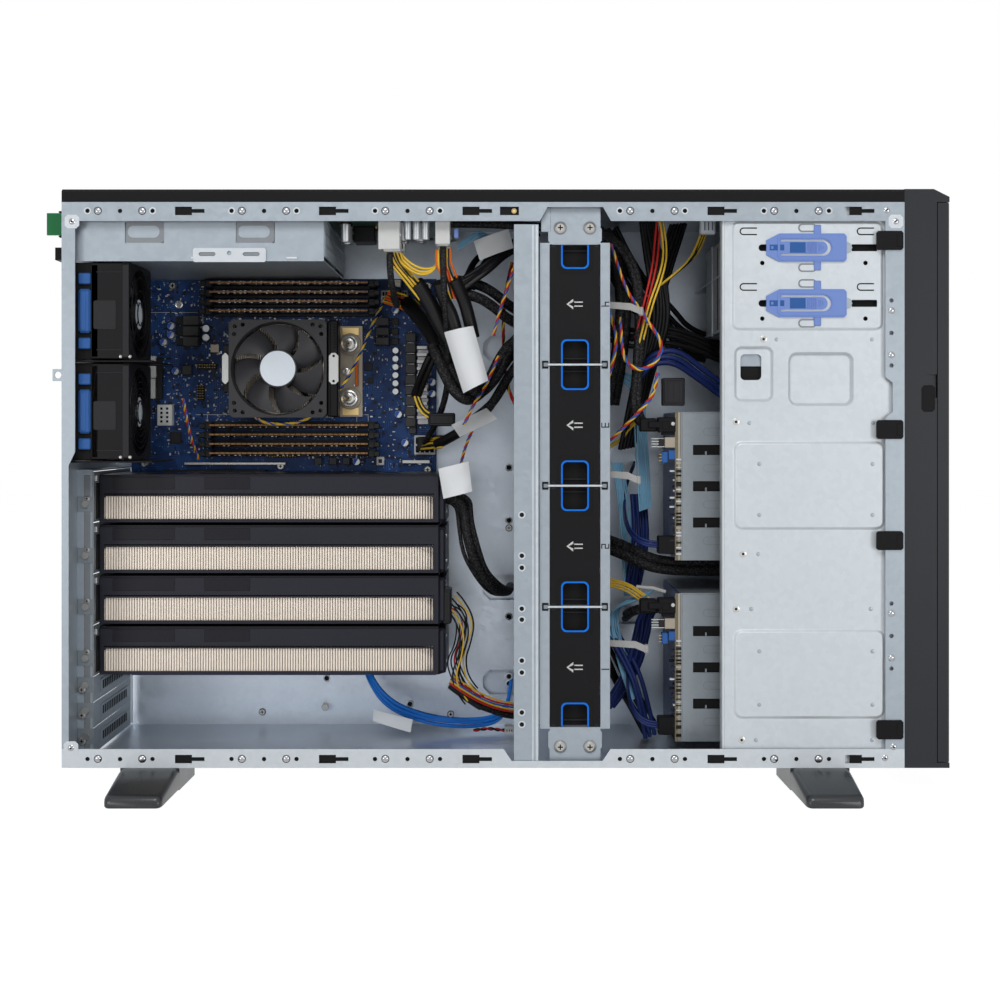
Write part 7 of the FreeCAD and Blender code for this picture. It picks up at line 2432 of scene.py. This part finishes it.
        # A near-black disc behind the slit's end paints the shade in it.
        form.lathe((slit_x + 2.6, y1 + 0.05, z), NEAR, [(0, 3.6), (0.1, 3.6), (0.12, 0)], 2, 16)
        form.piece(name, (name,))

    def cages(self) -> None:
        """Pressed rails, edge folds and near-black blocks that paint the shade in the slots of the drive
        cages.
        """
        form = Form("drive_cage_trim", Look.STEEL_DARK, Look.DARK, Look.STEEL_PAINTED_SHADE, Look.SCREW)
        for base in (31.0, 174.0):
            low = Vector((145.5, -53.0, base))
            for index in range(3):
                z = base + 1.2 + (index + 1) * 28.65
                # Near-black blocks behind the slots paint their shade.
                form.block((155.9, low.y + 0.4, z - 3.6), (178.3, low.y + 1.6, z + 3.6), 1, 0.3)
                form.block((165.0, low.y - 0.25, z - 3.9), (166.4, low.y + 0.5, z - 1.0), 2, 0.2)
            for index in range(4):
                z = base + 1.2 + index * 28.65 + 14.3
                rail = soft_rect((163.4, z - 3.2), (182.0, z + 3.2), 3.0)
                inner = soft_rect((163.9, z - 2.7), (181.5, z + 2.7), 2.6)
                form.plate("xz", low.y - 0.2, 0.3, rail, (inner,), 0)
            form.block((145.6, low.y - 0.5, base + 0.4), (147.0, low.y + 0.4, base + 116.6), 2, 0.3)
            form.block((145.5, low.y - 0.4, base + 116.2), (311.0, low.y + 1.0, base + 117.4), 2, 0.3)
        form.piece()

    def backplanes(self) -> None:
        """Plugs, pins, indicators and small parts on the two backplanes."""
        form = Form("backplane_parts", Look.BLACK, Look.IVORY, Look.HANDLE_BLUE, Look.GOLD,
                    Look.BOARD_EDGE, Look.CHIP, Look.CAN, Look.DARK, Look.TAN)
        draw = random.Random(5)
        for base, top in ((31.0, 148.0), (174.0, 291.0)):
            y = -53.0
            form.block((141.2, y - 0.5, base), (143.4, y + 1.4, top), 4, 0.2)
            form.block((143.4, y - 0.2, base), (145.6, y + 0.8, top), 8, 0.2)
            z = top - 4.0
            form.block((128.0, y - 1.0, z - 12.0), (142.0, y + 12.0, z), 0, 0.8)
            form.block((113.5, y + 0.4, z - 11.4), (127.0, y + 10.6, z - 0.6), 0, 1.2)
            form.block((120.0, y - 1.4, z - 8.6), (130.0, y + 2.0, z - 3.2), 0, 0.8)
            form.block((131.0, y - 1.4, z - 9.6), (137.0, y + 1.0, z - 3.4), 7, 0.4)
            form.lathe((139.6, y - 0.6, z - 5.2), NEAR, [(0, 1.5), (0.6, 1.5), (1.0, 0.9), (1.1, 0)], 1, 14)
            z = top - 19.6
            form.block((133.0, y - 0.4, z - 8.6), (141.6, y + 10.0, z), 8, 0.4)
            form.block((128.4, y + 1.0, z - 7.4), (133.4, y + 8.0, z - 1.2), 5, 0.4)
            for pin in range(4):
                form.tube([(122.8, y + 1.6, z - 1.4 - pin * 2.1), (134.0, y + 1.6, z - 1.4 - pin * 2.1)],
                          0.45, 1, 6)
            z = top - 31.4
            form.block((131.0, y - 0.4, z - 8.6), (135.6, y + 9.0, z), 2, 0.4)
            for pin in range(3):
                form.tube([(128.6, y + 1.2, z - 2.0 - pin * 2.4), (131.4, y + 1.2, z - 2.0 - pin * 2.4)],
                          0.35, 3, 6)
            form.block((136.2, y - 0.3, z - 6.0), (141.4, y + 7.0, z + 1.2), 2, 0.4)
            for step in range(26):
                spot = base + 3.0 + step * 3.0 + draw.random() * 1.4
                kind = draw.choice((5, 5, 7, 6, 8))
                form.block((142.0, y - 1.2, spot),
                           (146.2, y - 0.1, spot + draw.choice((0.8, 1.4, 2.2))), kind, 0.12)
            for step in range(16):
                spot = base + 6.0 + step * 4.2 + draw.random() * 2.0
                reach = draw.choice((1.4, 2.4, 4.0))
                form.block((141.2 - reach, y + draw.random() * 3, spot), (141.4, y + 5.0, spot + 1.6),
                           draw.choice((5, 5, 6, 7)), 0.2)
            z = base + 12.0
            form.block((128.0, y + 0.6, z - 7.0), (142.0, y + 12.6, z + 7.0), 0, 0.8)
        form.piece()

    def dress(self) -> None:
        """Steel cages darkened as painted shade, navy backplanes, black trays."""
        clothe(Look.STEEL_PAINTED_SHADE, "drive_cages")
        clothe_by("drive_backplanes", (Look.BACKPLANE, Look.BLACK), lambda spot, normal: int(spot.x < 143.3))
        clothe(Look.BLACK, "drive_trays")


@dataclass(frozen=True)
class Run:
    """Wires that are laid together: side by side, or twisted when a pitch is given."""

    name: str
    looks: tuple[Look, ...]
    radius: float
    points: tuple[Point, ...]
    count: int = 1
    spread: Point = (0.0, 0.0, 0.0)
    pitch: float = 0.0

    def lay(self, seed: int) -> None:
        """Make one curve piece for each finish.

        Args:
            seed: what loose wires are drawn from.
        """
        if self.pitch:
            routes = twist(self.points, self.count, self.radius * 1.15, self.pitch)
        else:
            routes = fan_of(self.points, self.count, self.spread, seed)
        kinds = tuple(dict.fromkeys(self.looks))
        for look in kinds:
            own = [route for index, route in enumerate(routes) if self.looks[index % len(self.looks)] is look]
            if own:
                strand(f"{self.name}_{look.name.lower()}", look, own, self.radius)


BLACKS = (Look.WIRE_BLACK,)
TAPES = (Look.TAPE,)
SLEEVES = (Look.SLEEVE,)
NAVY = (Look.CABLE_NAVY,)
PALE = (Look.RIBBON_BLUE,)
YELLOWS = (Look.WIRE_YELLOW,)
TRIO = (Look.WIRE_RED, Look.WIRE_YELLOW, Look.WIRE_BLUE)
LEADS = (Look.WIRE_ORANGE, Look.WIRE_YELLOW, Look.WIRE_BLACK, Look.WIRE_ORANGE, Look.WIRE_RED)


@dataclass
class Cabling(Assembly):
    """Leads between supply, board, cards, fans and drives, with their plugs and blank tags."""

    card_lead: tuple[Point, ...] = (
        (-40.7, -20, 222.1), (-26.7, -20, 222.1), (-24.7, -22, 202.1), (-20.7, -23, 180.1), (-12.7, -16, 161),
        (-3.7, -6, 148), (5.3, 18, 141.5), (10.8, 48, 140), (12.3, 84, 139))
    board_lead: tuple[Point, ...] = (
        (-82.7, -69.8, 416.7), (-82.7, -69.8, 400), (-81, -54, 385), (-80, -22, 378), (-83, 12, 380),
        (-88.3, 36, 391.8), (-88.3, 58.9, 391.8))
    processor_lead: tuple[Point, ...] = (
        (-41.2, -69.8, 420.7), (-41.2, -69.8, 402), (-40, -56, 372), (-38, -32, 340), (-40, -2, 308),
        (-50, 24, 282), (-61.9, 42, 265.1), (-61.9, 60.9, 265.1))
    drive_lead: tuple[Point, ...] = (
        (-34.7, -40, 441.5), (-4, -40, 441.5), (45, -42, 438), (88, -43, 434), (110, -44, 410),
        (115, -45, 368), (112, -46, 322), (110, -46.4, 292), (118, -46.4, 279), (131.5, -46.4, 279))
    lower_lead: tuple[Point, ...] = (
        (131.5, -46.4, 136), (118, -46.4, 136), (108, -38, 132), (105, -16, 126), (107, 16, 121),
        (113, 50, 118), (119, 84, 117))
    board_data: tuple[Point, ...] = (
        (-111.5, 65.9, 73.4), (-111.5, 53.9, 73.4), (-107.5, 43.9, 65.4), (-97.5, 37.9, 51.4),
        (-81.5, 33.9, 39.4),
        (-48.5, 31.9, 30.4), (-13.7, 36, 28), (4.3, 50, 32), (11.7, 68, 44), (12.3, 84, 56))
    upper_data: tuple[Point, ...] = (
        (131.5, -46.4, 186), (118, -46.4, 186), (107, -36, 194), (104, -12, 208), (108, 22, 226),
        (115, 54, 240), (121, 84, 247))
    lower_data: tuple[Point, ...] = (
        (131.5, -46.4, 43), (119, -46.4, 43), (109, -40, 52), (106, -20, 68), (109, 10, 85), (118, 40, 101),
        (128, 64, 111), (134, 84, 116))

    def build(self) -> None:
        """Lay the held cables first, then the loose wires, plugs and tags."""
        self.held()
        for seed, run in enumerate((*self.near_runs(), *self.far_runs())):
            run.lay(seed)
        self.plugs()
        self.tags()

    def held(self) -> None:
        """Lay the eight held cables on the CAD routes."""
        for run in (Run("card_lead", SLEEVES, 1.7, self.card_lead, 6, (5.4, 0.0, 2.6)),
                    Run("card_core", SLEEVES, 4.4, self.card_lead, 1),
                    Run("board_lead", SLEEVES, 2.6, self.board_lead, 1),
                    Run("processor_lead", SLEEVES, 2.6, self.processor_lead, 1),
                    Run("drive_lead", SLEEVES, 3.0, self.drive_lead, 2, (1.6, 0.6, 0.4)),
                    Run("lower_lead", SLEEVES, 2.5, self.lower_lead, 2, (0.4, 0.4, 1.8)),
                    Run("board_data", (Look.SATA_BLUE,), 1.7, self.board_data, 3, (0.6, 0.0, 3.0)),
                    Run("upper_data", NAVY, 1.0, self.upper_data, 3, (0.2, 0.3, 1.8)),
                    Run("lower_data", NAVY, 1.0, self.lower_data, 3, (0.2, 0.3, 1.8))):
            run.lay(HELD_SEED)
        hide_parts("cable_harness")

    @staticmethod
    def near_runs() -> tuple[Run, ...]:
        """Loose wires between supply, board and cards.

        Returns:
            The runs, in the order that they are laid.
        """
        return (
            Run("first_plug", (Look.WIRE_YELLOW, Look.WIRE_BLACK), 0.95,
                ((-80, -68, 416), (-78, -66, 408), (-72, -62, 400), (-65, -58, 392), (-59, -53, 385),
                 (-54, -48, 379)),
                9, (4.4, 2.6, 1.0)),
            Run("plug_loop", YELLOWS, 0.95,
                ((-77, -62, 415), (-71, -64, 407), (-59, -66, 400), (-48, -64, 402), (-43, -64, 413),
                 (-41, -66, 418)),
                3, (1.0, 1.0, 2.0)),
            Run("second_plug", LEADS, 0.95,
                ((-41, -69, 418), (-41, -67, 408), (-38, -64, 399), (-35, -58, 390), (-32, -52, 381)), 9,
                (5.2, 2.0, 0.8)),
            Run("first_tape", TAPES, 6.6,
                ((-63, -55, 393), (-54, -47, 380), (-47, -40, 366), (-38, -34, 350))),
            Run("second_tape", TAPES, 5.2,
                ((-39, -61, 394), (-34, -53, 381), (-29, -47, 367), (-24, -44, 349)), 2, (6.0, 1.0, 1.4)),
            Run("second_sleeve", SLEEVES, 4.4,
                ((-26, -44, 332), (-16, -36, 306), (-3, -28, 316), (6, -24, 340), (16, -18, 352),
                 (28, -4, 356)), 2,
                (3.0, 2.0, 3.0)),
            Run("board_plug", LEADS, 0.95, ((-94, 50, 391), (-85, 38, 387), (-76, 28, 384), (-66, 16, 377)),
                12, (2.0, 2.0, 5.0)),
            Run("board_tape", TAPES, 6.4, ((-75, 26, 384), (-63, 8, 370), (-54, -4, 357), (-47, -13, 343))),
            Run("board_sleeve", SLEEVES, 5.0,
                ((-49, -12, 348), (-41, -22, 329), (-32, -27, 310), (-19, -24, 302),
                 (-6, -14, 314), (5, -4, 333), (16, 8, 343), (28, 20, 346)), 2, (2.4, 2.0, 2.4)),
            Run("roof_sleeve", SLEEVES, 4.2,
                ((-31, -45, 391), (-16, -40, 389), (-2, -34, 381), (13, -26, 369), (28, -10, 364)), 2,
                (1.0, 3.0, 5.0)),
            Run("roof_black", BLACKS, 2.4,
                ((27, -20, 433), (13, -30, 425), (-2, -40, 411), (-16, -44, 399), (-30, -46, 390)), 5,
                (3.0, 6.0, 7.0)),
            Run("roof_wires", BLACKS, 1.6,
                ((28, 10, 436), (8, 0, 432), (-8, -16, 420), (-18, -30, 402), (-26, -40, 386)), 5,
                (8.0, 8.0, 4.0)),
            Run("second_lead", SLEEVES, 3.8,
                ((28, -18, 342), (13, -12, 326), (3, -4, 308), (-7, 4, 293), (-24, 10, 281)), 2,
                (1.6, 1.0, 2.4)),
            Run("lead_tape", TAPES, 4.4, ((-24, 8, 279), (-39, 18, 270), (-50, 31, 265))),
            Run("lead_wires", (Look.WIRE_YELLOW, Look.WIRE_BLACK, Look.WIRE_YELLOW), 0.95,
                ((-44, 24, 267), (-54, 36, 267), (-60, 46, 266), (-65, 58, 265)), 8, (1.0, 2.0, 4.6)),
            Run("strap", TAPES, 2.6, ((-52, -8, 338), (-59, 2, 325), (-67, 20, 306)), 2, (2.2, 0.0, 0.0)),
            Run("strap_wires", (Look.WIRE_YELLOW, Look.WIRE_BLACK), 0.9,
                ((-67, 20, 308), (-64, 15, 296), (-55, 11, 289), (-44, 8, 284)), 4, (1.6, 1.0, 1.6)),
            Run("twist_high", TRIO, 0.7, ((14, -50, 405), (8, -47, 386), (3, -44, 371), (-2, -42, 352)),
                3, pitch=13.0),
            Run("twist_mid", TRIO, 0.7, ((2, -40, 336), (-8, -38, 313), (-18, -34, 297), (-26, -28, 281)),
                3, pitch=13.0),
            Run("twist_low", TRIO, 0.7, ((-20, 0, 276), (-25, 6, 264), (-30, 14, 247)), 3, pitch=11.0),
            Run("pale_pair", PALE, 0.8, ((-30, -45, 422), (-19, -44, 431), (-11, -42, 433), (-2, -40, 427)),
                4, (0.0, 1.0, 2.4)),
            Run("fan_lead", (Look.WIRE_YELLOW, Look.WIRE_BLUE, Look.WIRE_BLACK), 0.65,
                ((-142, 20, 299), (-128, 27, 316), (-117, 36, 338), (-106, 45, 366), (-96, 53, 388),
                 (-88, 62, 401)), 4,
                pitch=12.0),
            Run("fan_lead_low", (Look.WIRE_YELLOW, Look.WIRE_BLUE), 0.65,
                ((-206, 20, 292), (-196, 23, 284), (-178, 24, 282), (-159, 22, 286), (-142, 20, 299)),
                3, pitch=12.0),
            Run("rear_lead", TRIO, 0.7, ((-262, 20, 303), (-260, 26, 285), (-258, 36, 268), (-255, 50, 252)),
                3, pitch=10.0),
            Run("card_end", (Look.WIRE_BLACK, Look.WIRE_YELLOW, Look.WIRE_BLACK), 0.7,
                ((-37, -18, 139), (-30, -19, 132), (-22, -20, 116), (-26, -20, 98), (-31, -18, 84),
                 (-28, -16, 70), (-20, -14, 60)), 6,
                (5.0, 3.0, 6.0)),
            Run("card_end_back", (Look.WIRE_BLACK, Look.WIRE_BLACK, Look.WIRE_RED), 0.6,
                ((-37, -14, 132), (-27, -14, 128), (-28, -13, 106), (-36, -12, 92), (-32, -13, 78),
                 (-24, -14, 64), (-14, -12, 56)), 5,
                (4.0, 3.0, 3.0)),
            Run("end_tape", TAPES, 3.8, ((-37, -16, 70), (-25, -14, 60), (-12, -9, 51))),
            Run("end_sleeve", SLEEVES, 3.4, ((-13, -10, 52), (0, -4, 46), (13, 4, 41), (28, 14, 39))),
            Run("end_wires", TRIO, 0.75, ((-37, -19, 75), (-25, -17, 66), (-8, -11, 56), (10, -2, 49),
                                          (28, 10, 45)), 5,
                (1.0, 2.0, 3.0)),
            Run("floor_twist", (Look.WIRE_RED, Look.WIRE_BLACK), 0.8,
                ((-19, 18, 26), (-7, 20, 27), (5, 24, 25), (22, 30, 23)), 2, pitch=12.0),
            Run("wall_loop", (Look.WIRE_RED, Look.WIRE_YELLOW, Look.WIRE_BLACK), 0.75,
                ((13, -20, 413), (7, -16, 383), (6, -10, 349), (9, -4, 315), (18, 8, 293)), 4, pitch=18.0),
        )

    @staticmethod
    def far_runs() -> tuple[Run, ...]:
        """Loose wires between the fan wall and the drives.

        Returns:
            The runs, in the order that they are laid.
        """
        return (
            Run("wall_red", (Look.WIRE_RED,), 0.85,
                ((131, -30, 447), (128, -38, 425), (126, -46, 406), (119, -52, 380), (112, -46, 350)), 2,
                (1.6, 0.4, 0.0)),
            Run("wall_yellow", YELLOWS, 0.85,
                ((133, -30, 444), (136, -38, 421), (131, -48, 398), (121, -53, 374), (114, -46, 342)), 2,
                (1.4, 1.0, 0.0)),
            Run("bay_plug", (Look.WIRE_YELLOW, Look.WIRE_BLACK), 0.95,
                ((167, -28, 435), (162, -32, 420), (150, -36, 407), (132, -40, 393)), 5, (2.6, 1.0, 1.6)),
            Run("wall_twist", TRIO, 0.8,
                ((91, -50, 424), (103, -54, 388), (116, -56, 368), (130, -55, 345), (125, -54, 330),
                 (112, -54, 325), (101, -54, 335), (98, -52, 366)), 3, pitch=15.0),
            Run("wall_twist_left", TRIO, 0.8,
                ((90, -40, 372), (95, -50, 350), (92, -52, 330), (89, -44, 318)), 3, pitch=15.0),
            Run("wall_twist_low", TRIO, 0.8,
                ((128, -50, 322), (124, -54, 306), (117, -55, 296), (104, -52, 282), (90, -44, 268)),
                3, pitch=15.0),
            Run("wall_navy", NAVY, 2.3,
                ((112, -16, 308), (119, -22, 329), (132, -25, 336), (147, -24, 335), (166, -18, 322),
                 (189, -12, 306)), 3,
                (1.4, 1.0, 4.4)),
            Run("ribbon_top", PALE, 0.75,
                ((96, 12, 325), (112, 4, 320), (118, 0, 305), (119, -4, 277), (120, -8, 246),
                 (122, -10, 212)), 8,
                (4.6, 1.0, 1.6)),
            Run("ribbon_mid", PALE, 0.75, ((100, 6, 250), (106, 4, 217), (108, 2, 182), (110, 2, 140)), 7,
                (4.0, 1.0, 0.0)),
            Run("navy_mid", NAVY, 1.9, ((117, 2, 224), (120, -2, 195), (117, -2, 170), (112, 4, 144)), 4,
                (5.0, 1.0, 0.0)),
            Run("short_yellow", YELLOWS, 0.85,
                ((116, -10, 285), (109, -6, 279), (104, 0, 269), (92, 8, 262)), 2, (0.6, 0.6, 1.6)),
            Run("wall_sleeve", SLEEVES, 4.6,
                ((92, -2, 183), (109, -18, 177), (126, -24, 169), (157, -22, 166), (189, -14, 166)), 2,
                (0.6, 1.6, 3.2)),
            Run("low_yellow", YELLOWS, 0.85,
                ((91, -4, 152), (103, -10, 150), (114, -16, 145), (124, -22, 137)), 4, (1.0, 1.0, 2.6)),
            Run("ribbon_low", PALE, 0.75,
                ((125, -20, 145), (116, -14, 140), (99, -6, 133), (95, -2, 117), (101, -2, 100),
                 (106, -6, 79), (114, -10, 58)), 9, (3.4, 1.0, 2.4)),
            Run("navy_low", NAVY, 2.3, ((130, -24, 138), (122, -14, 129), (119, -8, 107), (110, 0, 74),
                                        (92, 10, 46)), 4,
                (5.0, 2.0, 1.0)),
            Run("loom_left", SLEEVES, 4.0, ((88, 0, 442), (99, -8, 414), (105, -12, 383), (102, -8, 342),
                                            (95, 2, 298)),
                2, (3.0, 3.0, 0.0)),
            Run("loom_middle", BLACKS, 1.9,
                ((123, -22, 446), (126, -25, 422), (132, -27, 395), (136, -22, 362), (124, -10, 326),
                 (114, 4, 286)), 6, (6.0, 4.0, 1.0)),
            Run("loom_right", BLACKS, 1.9,
                ((149, -10, 445), (140, -16, 418), (130, -20, 390), (124, -23, 358), (118, -16, 316),
                 (108, 4, 262)), 5, (6.0, 4.0, 1.0)),
            Run("loom_across", BLACKS, 2.1,
                ((90, 8, 360), (110, -2, 350), (134, -6, 357), (160, 0, 351), (187, 10, 340)), 4,
                (1.0, 3.0, 6.0)),
            Run("loom_back", BLACKS, 2.4,
                ((92, 30, 440), (112, 34, 400), (140, 36, 372), (160, 40, 350), (186, 44, 345)), 6,
                (9.0, 6.0, 9.0)),
            Run("loom_low", NAVY, 1.9, ((93, 2, 114), (107, -8, 90), (118, -12, 65), (126, -8, 26)), 3,
                (4.0, 2.0, 1.0)),
            Run("loom_floor", BLACKS, 1.9, ((92, 10, 96), (104, 20, 70), (116, 26, 48), (130, 30, 24)), 4,
                (6.0, 4.0, 2.0)),
        )

    @staticmethod
    def plugs() -> None:
        """Mould the plugs, the ties and the small lever."""
        form = Form("cable_plugs", Look.IVORY, Look.SOCKET, Look.FAN_GREY, Look.TIE, Look.STICKER)
        for low, high, skin in (((-56, 4, 280), (-34, 14, 291), 2), ((-43, -30, 121), (-36, -10, 149), 1),
                                ((131, -54, 296), (149, -46, 318), 2), ((164, -36, 434), (176, -26, 446), 4),
                                ((7, 20, 22), (15, 30, 29), 0), ((-92, 50, 386), (-82, 62, 398), 1),
                                ((-68, 52, 259), (-56, 64, 271), 1), ((-122, 56, 68), (-104, 66, 79), 1)):
            form.block(low, high, skin, 0.9)
            form.block((low[0] + 1.5, low[1] - 0.8, low[2] + 2),
                       (high[0] - 1.5, low[1] + 1, high[2] - 2), skin, 0.4)
            for step in range(3):
                x = low[0] + (high[0] - low[0]) * (0.25 + 0.25 * step)
                form.block((x - 0.35, low[1] - 1.0, low[2] + 2.6), (x + 0.35, low[1], high[2] - 2.6), 1, 0.1)
        for z, reach in ((372.5, 113.0), (240.5, 111.0), (108.5, 117.0)):
            strap = [(88.0, z - 0.5), (reach - 8, z - 2.0), (reach, z - 5.5), (reach, z),
                     (reach - 8, z + 3.5), (88.0, z + 4.5)]
            form.plate("xz", -66.0, 0.8, strap, (), 3)
            form.block((reach - 1.2, -66.4, z - 6.2), (reach + 2.2, -60, z + 0.6), 3, 0.8)
        form.tube([(111, -50, 153), (124, -51, 152), (134, -50, 149)], 1.4, 3, 8)
        form.piece()

    def tags(self) -> None:
        """Wrap blank tags round the bundles."""
        form = Form("cable_tags", Look.PAPER)
        for corners, bulge in ((((-41, -52, 354), (-18, -54, 359), (-6, -50, 316), (-26, -48, 306)), 6.0),
                               (((-37, 2, 281), (-8, -4, 295), (1, -2, 286), (-30, 4, 271)), 4.0),
                               (((-46, -41, 246), (-22, -42, 252), (-19, -41, 228), (-42, -40, 222)), 4.0),
                               (((-103, 26, 42), (-70, 24, 34), (-72, 25, 23), (-104, 27, 32)), 1.0),
                               (((-18, -44, 427), (10, -42, 437), (14, -40, 422), (-13, -42, 412)), 3.0)):
            self.tag(form, corners, bulge)
        form.piece()

    @staticmethod
    def tag(form: Form, corners: Sequence[Point], bulge: float, steps: int = 8) -> None:
        """Bend one thin tag between four corners.

        Args:
            form: the form that takes it.
            corners: its corners in turn.
            bulge: how far its middle comes forward.
            steps: stretches along each side.
        """
        a, b, c, d = (Vector(corner) for corner in corners)
        row = steps + 1
        points = []
        for side in (0.0, 0.35):
            for up in range(row):
                for along in range(row):
                    u, v = along / steps, up / steps
                    spot = a.lerp(b, u).lerp(d.lerp(c, u), v)
                    bow = math.sin(math.pi * u) ** 0.7 * bulge + 0.7 * math.sin(5 * v + 3 * u)
                    points.append(spot + Vector((0.0, side - bow, 0.0)))
        form.add(points, leaf(row, row))


def main() -> None:
    """Build every sub-assembly in order."""
    logging.basicConfig(level=logging.INFO, format="%(name)s %(message)s")
    for group in (Studio(), Case(), Bezel(), Feet(), PowerBay(), RearFans(), RearFace(), MainBoard(),
                  Cooler(), Cards(), FanWall(), DriveBays(), Cabling()):
        group.make()


if __name__ == "__main__":
    main()
